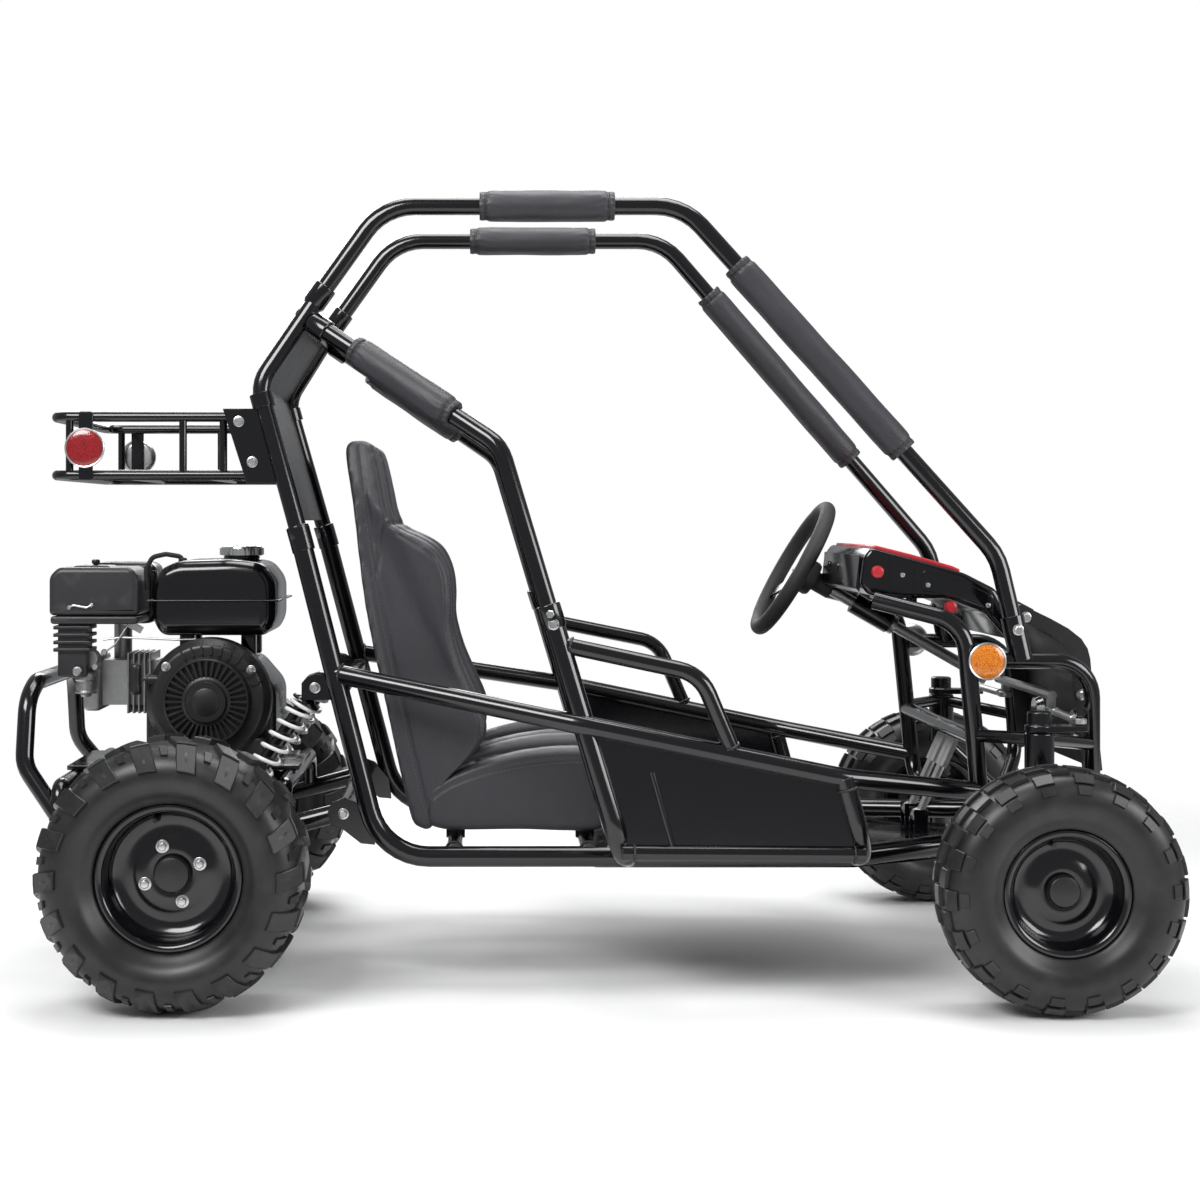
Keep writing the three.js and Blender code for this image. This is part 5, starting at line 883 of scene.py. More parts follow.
# %% Rear hoop, with its sockets and the panel behind the seats
def socket(forms, tip, root, wide=COLLAR_WIDE, deep=34):
    """A collar that a plugged tube stands in, with a rolled lip at its mouth."""
    reach = wide / 2
    forms.turned([(reach - 1.5, 0), (reach, 1.5), (reach, deep), (reach - 3, deep + 5)], tip, root - tip, 32)


def rear_hoop():
    """The hoop behind the seats, with its cross tube, sockets and rack plates."""
    forms = Forms()
    for side in SIDES.values():
        forms.tube(one_side(side, COLLAR_FOOT, HOOP_BEND, HOOP_TOP), LEG)
        socket(forms, *one_side(side, at(-388, 209, 1082), at(-411, 209, 1050)))
        socket(forms, *one_side(side, at(-384, 233, 1007), at(-415, 220, 1028)), deep=30)
        socket(forms, *one_side(side, at(-430, 255, 705.6), at(-419, 258, 668)), deep=20)
        forms.bar(*one_side(side, at(-482, 242, 890), at(-488, 241, 912)), COLLAR_WIDE)
        forms.profile([(-546, 888), (-490, 888), (-453, 772), (-509, 772)], side * 246.6, 5)
    forms.bar(at(-421, -217, 1033), at(-421, 217, 1033), RAIL)
    return forms


piece("rear_hoop_tubes", rear_hoop(), BLACK, "chassis", ["rear_hoop"])


def back_panel():
    """The dark sheet stretched between the hoop's legs."""
    forms = Forms()
    low, high = lerp(COLLAR, HOOP_BEND, 0.04), lerp(HOOP_BEND, HOOP_TOP, 0.75)
    for start, end in ((low, HOOP_BEND), (HOOP_BEND, high)):
        forms.plate([*one_side(-1, start), start, end, *one_side(-1, end)], PANEL)
    return forms


# %% Cage: roof rails, shoulder bars and side frames
for label, side in SIDES.items():
    rail = Forms().tube(one_side(side, ROOF_START, ROOF_REAR, ROOF_FRONT, PILLAR_BEND, PILLAR_FOOT), LEG,
                        bend=95)
    piece(f"roof_rail_tube_{label}", rail, BLACK, "chassis", [f"roof_rail_{label}"])
    bar = Forms().tube(one_side(side, SHOULDER_START, SHOULDER_BEND, at(-34, 373, 551)), LEG)
    piece(f"shoulder_bar_tube_{label}", bar, BLACK, "chassis", [f"shoulder_bar_{label}"])


def side_frame(side):
    """The upper rail, leg, loop, bottom rail and welded panel of one side."""
    forms = Forms()
    forms.tube(one_side(side, SIDE_REAR, SIDE_MID, SIDE_FRONT, SIDE_END), SIDE_TUBE, bend=120)
    forms.tube(one_side(side, LEG_TOP, LEG_FOOT, at(83, 280, 198)), 34)
    forms.tube(one_side(side, at(396, 385, 331), FRONT_DROP, RAIL_MID), SIDE_TUBE)
    forms.bar(*one_side(side, LEG_FOOT, FRONT_DROP), THIN)
    forms.tube(one_side(side, at(-28, 375, 530), LOOP_CORNER, at(232, 389, 365)), THIN)
    socket(forms, *one_side(side, at(-45, 370, 588), at(-32, 373, 546)), wide=38)
    forms.plate(one_side(side, LEG_FOOT, FRONT_DROP, SIDE_FRONT, SIDE_MID), PANEL)
    forms.bar(*one_side(side, at(109, 396, 341), at(140, 398.5, 231)), 9)
    return forms


for label, side in SIDES.items():
    piece(f"side_frame_tubes_{label}", side_frame(side), BLACK, "chassis", [f"side_frame_{label}"])


# %% Front frame: uprights, front hoop, A-arms and kingpin housings
def front_frame():
    """Uprights, front hoop, A-arms and kingpin housings, with the tubes across."""
    forms = Forms()
    for side in SIDES.values():
        forms.tube(one_side(side, DASH_HORN, UPRIGHT_TOP, UPRIGHT_LOW, UPRIGHT_FOOT), LEG)
        forms.tube(one_side(side, at(607, 268, 498), HOOP_FRONT, HOOP_LOW, BUMPER_END), THIN)
        forms.bar(*one_side(side, at(676, 262, 566), at(690, 267, 498)), COLLAR_WIDE)
        for height, roots in ((385, ((617, 265, 382), (804, 247, 367))),
                              (318, ((639, 193, 221), (768, 180, 234)))):
            for root in roots:
                forms.bar(*one_side(side, at(697, 345, height), at(*root)), STUB)
        base = one_side(side, at(697, 345, 308))[0]
        forms.turned([(20, 0), (22, 2), (22, 85), (20, 87)], base, UPWARD, 32)
        forms.bar(*one_side(side, at(551, 110, 569), at(551, 110, 591)), 18)
    forms.bar(at(551, -252, 569), at(551, 252, 569), THIN)
    forms.bar(at(755, -162, 212), at(755, 162, 212), LEG)
    forms.bar(at(618, -265, 376), at(618, 265, 376), THIN)
    forms.bar(at(508, 190, 570), at(572, 190, 533), 38)
    forms.bar(at(551, 190, 569), at(540, 190, 551), STUB)
    return forms


piece("front_frame_tubes", front_frame(), BLACK, "chassis", ["front_frame"])
piece("seat_back_panel", back_panel(), PLASTIC, "chassis")

# %% [markdown]
# ## Wheels
# A knobby tyre is a smooth carcass with blocks of tread standing on it.
# The carcass is turned from a side profile, and one pitch of tread is drawn on its curved face.
# The ring tree then repeats that pitch, so every block has the same shape and the pattern closes exactly.

# %% Tyres
TYRES = {
    "front": {"outer": 179.5, "rim": 91, "width": 145, "lug": 6.5, "cap": 23.5, "axle": at(696.6, 0, 179.5),
              "track": 458, "body": "front_wheel_{}"},
    "rear": {"outer": 200, "rim": 106, "width": 200, "lug": 8.5, "cap": 26.5, "axle": at(-593.4, 0, 200),
             "track": 430, "body": "rear_drive"},
}
# how often the tread repeats round a tyre, and how many sides the carcass has
PITCHES, CARCASS_SIDES = 18, 144
# the rim's half width as a share of the tyre's
RIM_SHARE = 0.60
BOLT_COUNT, BOLT_CIRCLE, BOLT_TURN = 4, 42.5, 0.35


def carcass(size):
    """Half of the carcass profile as (radius, across) steps, from the tread's middle to the bead."""
    half = size["width"] / 2
    low = size["outer"] - size["lug"]
    rim = size["rim"]
    wall = low - rim
    return [(low, 0), (low - 0.5, 0.3 * half), (low - 2.2, 0.52 * half), (low - 6, 0.70 * half),
            (low - 0.20 * wall, 0.84 * half), (low - 0.36 * wall, 0.915 * half),
            (low - 0.54 * wall, 0.93 * half), (low - 0.72 * wall, 0.88 * half),
            (low - 0.86 * wall, 0.78 * half), (rim + 3, 0.70 * half), (rim + 2, 0.64 * half),
            (rim + 0.6, 0.60 * half)]


def curve_steps(before, start, end, after, count):
    """Even steps of the smooth curve that leaves start for end, guided by its two neighbours."""
    line = []
    for step in range(count):
        t = step / count
        line.append(tuple(0.5 * (2 * b + (c - a) * t + (2 * a - 5 * b + 4 * c - d) * t * t
                                 + (3 * b - a - 3 * c + d) * t ** 3)
                          for a, b, c, d in zip(before, start, end, after)))
    return line


def smooth_line(steps, count=5):
    """A smoother run of steps through the given ones."""
    line = []
    for index in range(len(steps) - 1):
        line += curve_steps(steps[max(index - 1, 0)], steps[index], steps[index + 1],
                            steps[min(index + 2, len(steps) - 1)], count)
    return line + [steps[-1]]


def tyre_carcass(size, centre):
    """The smooth tyre under the tread, with its open bore."""
    half_line = smooth_line(carcass(size))
    line = [(radius, -across) for radius, across in reversed(half_line)] + half_line[1:]
    bore = size["rim"] + 0.4
    ring = line + [(bore, line[-1][1]), (bore, line[0][1])]
    return Forms().skin([[centre + at(radius * math.cos(angle), across, radius * math.sin(angle))
                          for radius, across in ring] for angle in angles(CARCASS_SIDES)], looped=True)


def tread_block(forms, size, corners, raised):
    """A block of tread over a patch of the carcass. Corners are (turn in pitches, share across) pairs."""
    line = smooth_line(carcass(size), 8)
    pitch = 2 * math.pi / PITCHES
    sink, shoulder = -1.5, raised * 0.82

    def place(turn, share, lift):
        index = min(abs(share) * (len(line) - 1), len(line) - 1.001)
        low, part = int(index), index - int(index)
        (r0, y0), (r1, y1) = line[low], line[low + 1]
        length = math.hypot(r1 - r0, y1 - y0) or 1
        radius = r0 * (1 - part) + r1 * part + (y1 - y0) / length * lift
        across = y0 * (1 - part) + y1 * part + -(r1 - r0) / length * lift
        return at(radius * math.cos(turn * pitch), radius * math.sin(turn * pitch),
                  -across if share < 0 else across)

    loop = []
    for start, end, steps in zip(corners, corners[1:] + corners[:1], (5, 2, 5, 2)):
        loop += [tuple(a + (b - a) * k / steps for a, b in zip(start, end)) for k in range(steps)]
    middle = tuple(sum(values) / len(loop) for values in zip(*loop))
    return forms.skin([[place(*(m + (v - m) * spread for v, m in zip(step, middle)), lift) for step in loop]
                       for spread, lift in ((1.05, sink), (1, shoulder), (0.93, raised))])


def tread_of(size, patches):
    """One pitch of tread, from patches: four corners in turn, and a height as a share of the full lug."""
    forms = Forms()
    for corners, share in patches:
        tread_block(forms, size, corners, (size["lug"] - 0.6) * share)
    return forms


def patch(hand, inner, outer, first, last, late=0.0):
    """Four corners of a block. First and last are its turns, in pitches, at the inner and the outer edge."""
    return [(late + first[0], hand * inner), (late + first[1], hand * outer), (late + last[1], hand * outer),
            (late + last[0], hand * inner)]


def front_tread(size):
    """Square blocks in staggered rows, with one small lug per pitch on the side wall."""
    patches = [([(0.12, -0.055), (0.12, 0.055), (0.60, 0.055), (0.60, -0.055)], 1)]
    for hand in (-1, 1):
        patches += [(patch(hand, 0.09, 0.20, (0.60, 0.60), (1.06, 1.06)), 1),
                    (patch(hand, 0.225, 0.335, (0.12, 0.12), (0.60, 0.60)), 0.8),
                    (patch(hand, 0.36, 0.44, (0.20, 0.20), (0.56, 0.56)), 0.55)]
    return tread_of(size, patches)


def rear_tread(size):
    """Curved wedges that sweep from the middle over the shoulder, one side half a pitch behind the other."""
    patches = []
    for hand, late in ((-1, 0.0), (1, 0.5)):
        patches += [(patch(hand, 0.03, 0.20, (-0.10, 0.16), (0.26, 0.58), late), 1),
                    (patch(hand, 0.215, 0.47, (0.16, 0.30), (0.60, 0.78), late), 0.7),
                    (patch(hand, 0.24, 0.34, (0.80, 0.88), (0.98, 1.04), late), 0.45)]
    return tread_of(size, patches)


def wheel_centre(size, side):
    """The middle of one wheel."""
    return size["axle"] + at(0, side * size["track"], 0)


for end, size in TYRES.items():
    for label, side in SIDES.items():
        centre = wheel_centre(size, side)
        tread = front_tread(size) if end == "front" else rear_tread(size)
        blocks = ring_of(tread, centre, LEFTWARD, PITCHES, RUBBER)
        whole = combine(f"{end}_tyre_rubber_{label}", tyre_carcass(size, centre).mesh("carcass"), blocks)
        piece(f"{end}_tyre_rubber_{label}", whole, RUBBER, size["body"].format(label), [f"{end}_tyre_{label}"],
              bevel=0, sharp=0.5)


# %% Rims
def rim_forms(size, side, half, face):
    """The whole rim, turned from its back to its hub."""
    rim, cap = size["rim"], size["cap"]
    seat = rim - 5
    back = [(0, -0.2 * half), (0.7 * seat, -0.2 * half), (seat - 8, -half + 4), (rim - 1, -half - 5),
            (rim + 1, -half - 3), (rim, -half), (seat, -half)]
    front = [(seat, half), (rim, half + 1), (rim + 1, half + 4), (rim - 1, half + 5.5), (seat - 3, half + 4),
             (seat - 6, half - 2), (seat - 9, face + 10), (0.86 * seat, face + 2), (0.70 * seat, face - 3),
             (0.55 * seat, face + 1), (0.45 * seat, face + 5), (cap + 6, face + 6), (cap + 2, face + 5),
             (0, face + 5)]
    return Forms().turned(back + front, wheel_centre(size, side), LEFTWARD * side, 96)


for end, size in TYRES.items():
    for label, side in SIDES.items():
        half = RIM_SHARE * size["width"] / 2
        face = 0.30 * half
        body = size["body"].format(label)
        piece(f"{end}_rim_paint_{label}", rim_forms(size, side, half, face), BLACK, body,
              [f"{end}_rim_{label}"], sharp=0.9)
        base, outward, cap = wheel_centre(size, side), LEFTWARD * side, size["cap"]
        one, two = axes_for(outward)
        if end == "rear":
            spots = [(base + outward_at(one, two, angle + BOLT_TURN) * BOLT_CIRCLE * MM
                      + outward * (face + 4.5) * MM, outward) for angle in angles(BOLT_COUNT)]
            bolts = spots_of(hex_bolt(14, 8, 20), spots, ZINC, bevel=0.4)
            piece(f"{end}_rim_bolts_{label}", bolts, ZINC, body, bevel=0)
        hub_cap = Forms().turned([(cap, 0), (cap, 11), (cap - 2, 14), (cap - 8, 15.5), (0, 16)],
                                 base + outward * (face + 4) * MM, outward, 64)
        piece(f"{end}_hub_cap_{label}", hub_cap, PLASTIC, body)
        valve_place = base + (one * 0.76 + two * 0.2) * size["rim"] * MM + outward * (face + 2) * MM
        valve = Forms().turned([(4.5, 0), (4.2, 6), (3, 9), (2.6, 20), (3.4, 21), (3.4, 27), (2.6, 28)],
                               valve_place, outward, 24)
        piece(f"{end}_valve_{label}", valve, FOAM, body, bevel=0)
print("pieces so far:", len(made_pieces))

# %% [markdown]
# ## Foam sleeves
# Foam sleeves in grey vinyl are wrapped round the roof rails, the pillars and the shoulder bars.
# Each is a tube whose skin is sewn shut along one side and laced tight at both ends.
# It could be a plain thick tube, but real vinyl puckers where it
# is drawn in, so the skin gets shallow creases near its ends.

# %% Sleeves round the tubes
SLEEVE = {"full": 50, "end": 43, "sides": 72, "spacing": 3, "lace": 10, "lip": 0.36}


def sleeve(start, end, shares, seed):
    """A sleeve over a share of a tube's run, with the places of its two ends."""
    first, last = lerp(start, end, shares[0]), lerp(start, end, shares[1])
    heading = (last - first).normalized()
    long = (last - first).length / MM
    one, two = axes_for(heading)
    chance = random.Random(seed)
    waves = [(chance.uniform(0.03, 0.09), chance.uniform(0, 6.28), chance.randint(2, 6),
              chance.uniform(0, 6.28))
             for _ in range(5)]
    rings = []
    steps = round(long / SLEEVE["spacing"])
    for row in range(steps + 1):
        along = long * row / steps
        near_end = min(along, long - along)
        drawn = math.exp(-near_end / 9)
        tied = math.exp(-((near_end - SLEEVE["lace"]) / 3.2) ** 2)
        radius = SLEEVE["full"] / 2 - 0.4 - drawn * (SLEEVE["full"] - SLEEVE["end"]) / 2 - tied * 2.2
        ring = []
        for turn in angles(SLEEVE["sides"]):
            crease = sum(math.sin(along * rate + shift) * math.cos(count * turn + roll)
                         for rate, shift, count, roll in waves) / 5
            pucker = math.cos(turn * 15 + 2 * math.sin(along * 0.1)) * math.exp(-near_end / 22) * 0.9
            seam = 1.5 * math.exp(-((turn - 3.6) * 25 / 1.6) ** 2)
            reach = min(radius + crease * 0.9 + pucker * 0.7 - seam, SLEEVE["full"] / 2)
            ring.append(first + heading * along * MM + outward_at(one, two, turn) * reach * MM)
        rings.append(ring)
    lips = [[lerp(place, middle, SLEEVE["lip"]) for place in ring]
            for ring, middle in ((rings[0], first), (rings[-1], last))]
    return Forms().skin([lips[0]] + rings + [lips[1]]), first, last


def lace(place, heading):
    """A cord drawn twice round the neck of a sleeve, with a small knot."""
    forms = Forms()
    for shift in (-1.6, 1.6):
        forms.turned([(20.6, shift - 1.3), (22.1, shift - 0.9), (22.5, shift), (22.1, shift + 0.9),
                      (20.6, shift + 1.3)],
                     place, heading, 40)
    one, two = axes_for(heading)
    knot = place + outward_at(one, two, 3.9) * 22.6 * MM
    forms.turned([(1.2, -3.4), (3.0, -1.6), (3.3, 0.4), (2.3, 2.4), (0.8, 3.4)], knot, heading + one, 12)
    return forms


SLEEVE_RUNS = {
    "roof": (ROOF_REAR, ROOF_FRONT, {"right": (0.32, 0.77), "left": (0.28, 0.75)}),
    "pillar": (ROOF_FRONT, PILLAR_BEND, {"right": (0.17, 0.705), "left": (0.17, 0.705)}),
    "shoulder": (at(-421, 217, 1033), SHOULDER_BEND, {"right": (0.26, 0.77), "left": (0.26, 0.77)}),
}
for run, (start, end, shares) in SLEEVE_RUNS.items():
    for label, side in SIDES.items():
        forms, first, last = sleeve(*one_side(side, start, end), shares[label], len(run) + side)
        skin = piece(f"{run}_pad_skin_{label}", forms, VINYL, "chassis", [f"{run}_pad_{label}"],
                     bevel=0, sharp=1.2)
        heading = (last - first).normalized()
        inward = heading * SLEEVE["lace"] * MM
        laces = combine("laces", *(lace(place, heading).mesh("lace")
                                   for place in (first + inward, last - inward)))
        piece(f"{run}_pad_laces_{label}", laces, FOAM, "chassis", bevel=0)
print("sleeves:", 2 * len(SLEEVE_RUNS))

# %% [markdown]
# ## Bucket seats
# Each seat is a foam bucket under sewn vinyl: a tall back
# with bolsters and a headrest, and a separate base cushion.
# Its side outline is a smooth loop, and several such loops across
# the seat give the dished middle and the raised bolsters.
# The foam is then remeshed, so that its edges can be softened evenly, and each seam is pressed in along a line.

# %% Seat outlines
SEAT = {"rear": -361.2, "bottom": 232.5, "depth": 412, "height": 608, "width": 246, "apart": 131}
# each step: bolster along and up, middle along and up, then the half width, as shares of the seat's size
BACK_STEPS = [
    (0.34, 0.004, 0.34, 0.004, 0.94), (0.29, 0.008, 0.29, 0.008, 0.95), (0.255, 0.045, 0.255, 0.045, 0.96),
    (0.17, 0.305, 0.18, 0.305, 1), (0.088, 0.57, 0.1, 0.57, 1), (0.038, 0.828, 0.05, 0.828, 0.82),
    (0.006, 0.965, 0.006, 0.965, 0.64), (0.016, 0.995, 0.016, 0.995, 0.58), (0.06, 1.0, 0.06, 1.0, 0.57),
    (0.1, 0.995, 0.1, 0.995, 0.58), (0.12, 0.965, 0.118, 0.965, 0.64), (0.145, 0.89, 0.138, 0.89, 0.76),
    (0.168, 0.815, 0.155, 0.815, 0.84), (0.205, 0.775, 0.163, 0.775, 0.92), (0.29, 0.748, 0.172, 0.75, 0.97),
    (0.36, 0.715, 0.184, 0.70, 1), (0.403, 0.655, 0.195, 0.645, 1), (0.416, 0.585, 0.205, 0.58, 1),
    (0.415, 0.52, 0.215, 0.52, 1), (0.45, 0.43, 0.235, 0.42, 1), (0.505, 0.345, 0.26, 0.33, 1),
    (0.545, 0.28, 0.275, 0.25, 1), (0.54, 0.235, 0.29, 0.18, 1), (0.48, 0.18, 0.31, 0.13, 1),
    (0.40, 0.13, 0.35, 0.08, 0.99), (0.36, 0.06, 0.36, 0.05, 0.96),
]
BASE_STEPS = [
    (0.985, 0.004, 0.985, 0.004, 0.95), (0.66, 0.002, 0.66, 0.002, 0.96), (0.36, 0.004, 0.36, 0.004, 0.96),
    (0.32, 0.05, 0.32, 0.03, 0.98), (0.33, 0.10, 0.33, 0.08, 0.985), (0.42, 0.145, 0.42, 0.095, 0.99),
    (0.56, 0.182, 0.55, 0.105, 1), (0.70, 0.205, 0.70, 0.115, 1), (0.85, 0.214, 0.85, 0.125, 1),
    (0.955, 0.205, 0.955, 0.128, 0.99), (0.993, 0.165, 0.993, 0.11, 0.98), (1.0, 0.09, 1.0, 0.07, 0.97),
]


def closed_line(steps, count):
    """A smooth closed loop through the given steps."""
    line = []
    for index in range(len(steps)):
        line += curve_steps(*(steps[(index + shift) % len(steps)] for shift in (-1, 0, 1, 2)), count)
    return line


def seat_place(along, up, across):
    """A place in the right-hand seat from shares of its size. Across goes from -1 to 1."""
    return at(SEAT["rear"] + along * SEAT["depth"], -SEAT["apart"] + across * SEAT["width"] / 2,
              SEAT["bottom"] + up * SEAT["height"])


def bolster(across):
    """How far a loop follows the bolster's outline rather than the dished middle's."""
    reach = abs(across)
    rise = min(max((reach - 0.30) / 0.42, 0), 1)
    fall = min(max((reach - 0.86) / 0.14, 0), 1)
    return rise * rise * (3 - 2 * rise) * (1 - 0.14 * fall * fall)


def bucket(steps):
    """A seat form: the same loop again and again across the seat, narrower where a step says so."""
    rings = []
    for index in range(33):
        across = -1 + index / 16
        blend = bolster(across)
        rings.append([seat_place(mid_x + (bold_x - mid_x) * blend, mid_z + (bold_z - mid_z) * blend,
                                 across * wide)
                      for bold_x, bold_z, mid_x, mid_z, wide in closed_line(steps, 6)])
    return Forms().skin(rings)


# %% Upholstery: soften the foam, then press in the seams
def upholster(forms, name):
    """Remeshes a form evenly and softens its edges, as foam under a tight cover does."""
    mesh = forms.mesh(name)
    tidy_normals(mesh)
    shaped = add_object(name, mesh)
    grid = shaped.modifiers.new("Even", "REMESH")
    grid.mode = "VOXEL"
    grid.voxel_size = 6 * MM
    soft = shaped.modifiers.new("Soft", "SMOOTH")
    soft.factor = 0.5
    soft.iterations = 7
    finer = shaped.modifiers.new("Finer", "SUBSURF")
    finer.levels = finer.render_levels = 1
    return plain_mesh(shaped)


def nearness(line):
    """A function that gives the distance from an (x, z) place to a line of steps, in metres."""
    marks = []
    for (ax, az), (bx, bz) in zip(line, line[1:]):
        parts = max(1, round(math.hypot(bx - ax, bz - az) / MM))
        marks += [(ax + (bx - ax) * k / parts, 0, az + (bz - az) * k / parts) for k in range(parts)]
    tree = KDTree(len(marks))
    for index, mark in enumerate(marks):
        tree.insert(mark, index)
    tree.balance()
    return lambda x, z: tree.find((x, 0, z))[2]


def seam_line(shares):
    """A seam's side outline in metres, from shares of the seat's size."""
    return [(place.x, place.z) for place in (seat_place(along, up, 0) for along, up in smooth_line(shares))]


def pressed(depth, width, distance):
    """How deep a groove is at a distance in metres. Depth and width are in millimetres."""
    return depth * MM * math.exp(-min((distance / (width * MM)) ** 2, 50))


def press_in(mesh, depth_at):
    """Moves every vertex inwards by its depth. Normals are read first, because a move makes them stale."""
    places = [(spot.co.copy(), spot.normal.copy()) for spot in mesh.vertices]
    flat = []
    for place, normal in places:
        flat.extend(place - normal * depth_at(place, normal))
    mesh.vertices.foreach_set("co", flat)
    mesh.update()


SEAT_MIDDLE, SEAT_HALF = -SEAT["apart"] * MM, SEAT["width"] / 2 * MM
# the middle panel's edge as a share across, and how the panel swells between its sewn channels
PANEL_EDGE, SWELL = 0.56, 2.0 * MM


def panel_depth(reach, along, long, channels):
    """How deep the middle panel is pressed: a seam at its edge, and channels at shares of its length."""
    depth = pressed(3.2, 3.6, abs(reach - PANEL_EDGE) * SEAT_HALF)
    if reach < PANEL_EDGE:
        depth += sum(pressed(3.4, 5.0, abs(along - channel) * long * MM) for channel in channels) - SWELL
    return depth


def sewn_back(mesh):
    """Presses the seat back's seams: along its rear edge, over the shoulder, and across its middle panel."""
    rear_seam = seam_line([(0.345, 0.03), (0.315, 0.07), (0.235, 0.305), (0.150, 0.57), (0.098, 0.80),
                           (0.06, 0.985)])
    shoulder_seam = seam_line([(0.165, 0.805), (0.145, 0.77), (0.135, 0.74), (0.140, 0.70), (0.128, 0.655)])
    front_seam = seam_line([(0.21, 0.758), (0.345, 0.70), (0.385, 0.655), (0.394, 0.585), (0.395, 0.52),
                            (0.428, 0.43), (0.485, 0.34), (0.523, 0.28), (0.518, 0.24)])
    seams = [(nearness(rear_seam), 2.4), (nearness(shoulder_seam), 2.0), (nearness(front_seam), 1.8)]

    def depth_at(place, normal):
        reach = abs(place.y - SEAT_MIDDLE) / SEAT_HALF
        up = (place.z - SEAT["bottom"] * MM) / (SEAT["height"] * MM)
        depth = 0
        if abs(normal.y) > 0.5:
            depth += sum(pressed(deep, 3.0, distance(place.x, place.z)) for distance, deep in seams)
            depth -= 1.6 * MM * math.exp(-((up - 0.42) / 0.3) ** 2) * (abs(normal.y) - 0.5)
        if normal.x > 0.25 and up < 0.72:
            depth += panel_depth(reach, up, SEAT["height"], (0.24, 0.34, 0.44, 0.54, 0.64))
        if normal.x > 0.25 and 0.77 < up < 0.80:
            depth += pressed(2.6, 3.6, abs(up - 0.785) * SEAT["height"] * MM)
        return depth

    press_in(mesh, depth_at)
    return rear_seam, front_seam


def sewn_base(mesh):
    """The base cushion: a crowned top with a dished middle panel and a seam round its edge."""
    edge_seam = seam_line([(0.345, 0.085), (0.42, 0.118), (0.56, 0.152), (0.70, 0.172), (0.85, 0.181),
                           (0.945, 0.176), (0.965, 0.14), (0.972, 0.07)])
    edge = nearness(edge_seam)

    def depth_at(place, normal):
        reach = abs(place.y - SEAT_MIDDLE) / SEAT_HALF
        along = (place.x - SEAT["rear"] * MM) / (SEAT["depth"] * MM)
        depth = 0
        if abs(normal.y) > 0.5:
            depth += pressed(2.2, 3.0, edge(place.x, place.z))
            depth -= 1.4 * MM * math.exp(-((along - 0.65) / 0.25) ** 2) * (abs(normal.y) - 0.5)
        if normal.z > 0.3:
            depth += panel_depth(reach, along, SEAT["depth"], (0.50, 0.62, 0.74, 0.86))
        return depth

    press_in(mesh, depth_at)
    return edge_seam


# %% Stitches beside a seam
STITCH = [(0.15, -2.3), (0.55, -1.7), (0.62, 0), (0.55, 1.7), (0.15, 2.3)]
STITCH_SPACING = 6.5


def stitched(mesh, line, shift):
    """Runs of stitches laid on the sides of a sewn form, beside a seam."""
    tree = BVHTree.FromPolygons([spot.co for spot in mesh.vertices],
                                [tuple(face.vertices) for face in mesh.polygons])
    runs = []
    for sign in (-1, 1):
        path = []
        for (ax, az), (bx, bz) in zip(line, line[1:]):
            long = max(math.hypot(bx - ax, bz - az), 1e-6)
            offset = Vector((-(bz - az) / long, 0, (bx - ax) / long)) * shift * MM
            aim = Vector((ax, (-SEAT["apart"] + sign * 160) * MM, az)) + offset
            hit, normal, _, _ = tree.ray_cast(aim, Vector((0, -sign, 0)))
            if hit and abs(normal.y) > 0.35:
                path.append(hit + normal * 0.2 * MM)
        long = sum((b - a).length for a, b in zip(path, path[1:])) / MM
        runs.append(row_of(standing(STITCH, 6), path, round(long / STITCH_SPACING), VINYL_THREAD))
    return runs


seat_back = upholster(bucket(BACK_STEPS), "seat_back")
rear_seam, front_seam = sewn_back(seat_back)
seat_base = upholster(bucket(BASE_STEPS), "seat_base")
edge_seam = sewn_base(seat_base)
stitches = combine("stitches", *stitched(seat_back, rear_seam, 4.5), *stitched(seat_back, front_seam, 4.5),
                   *stitched(seat_base, edge_seam, -4.5))
print("seat back:", len(seat_back.polygons), "faces; base:", len(seat_base.polygons), "; stitches:",
      len(stitches.polygons))


def moved(mesh, shift, name):
    """A copy of a mesh, moved. Copying keeps the two seats exactly alike."""
    made = mesh.copy()
    made.name = name
    made.transform(Matrix.Translation(shift))
    return made


for label, side in SIDES.items():
    shift = at(0, SEAT["apart"] * (1 + side), 0)
    for name, cushion, stands_for in (("back", seat_back, [f"seat_{label}"]), ("base", seat_base, ())):
        made = piece(f"seat_{name}_cushion_{label}", moved(cushion, shift, name), VINYL, "chassis", stands_for,
                     bevel=0, sharp=1.4)
    piece(f"seat_stitches_{label}", moved(stitches, shift, "thread"), VINYL_THREAD, "chassis",
          bevel=0)

# %% [markdown]
# ## Moulded boxes
# Tanks, covers and the dash are moulded: their side outline
# has round corners, and their sides curve in at the rim.
# A bevel could do this, but it is held back by the shortest edge near it.
# So the outline is eased corner by corner, and the sides
# are built as a few outlines that shrink towards the rim.

# %% A moulded box from its side outline
CORNER_STEPS = 5


def eased(outline, bend):
    """The same outline with every corner rounded."""
    line = []
    for index, (bx, bz) in enumerate(outline):
        (ax, az), (cx, cz) = outline[index - 1], outline[(index + 1) % len(outline)]
        before, after = math.hypot(ax - bx, az - bz), math.hypot(cx - bx, cz - bz)
        back = min(bend, 0.45 * before, 0.45 * after)
        start = (bx + (ax - bx) * back / before, bz + (az - bz) * back / before)
        end = (bx + (cx - bx) * back / after, bz + (cz - bz) * back / after)
        for step in range(CORNER_STEPS + 1):
            t = step / CORNER_STEPS
            line.append(tuple((1 - t) ** 2 * s + 2 * t * (1 - t) * b + t * t * e
                              for s, b, e in zip(start, (bx, bz), end)))
    return line


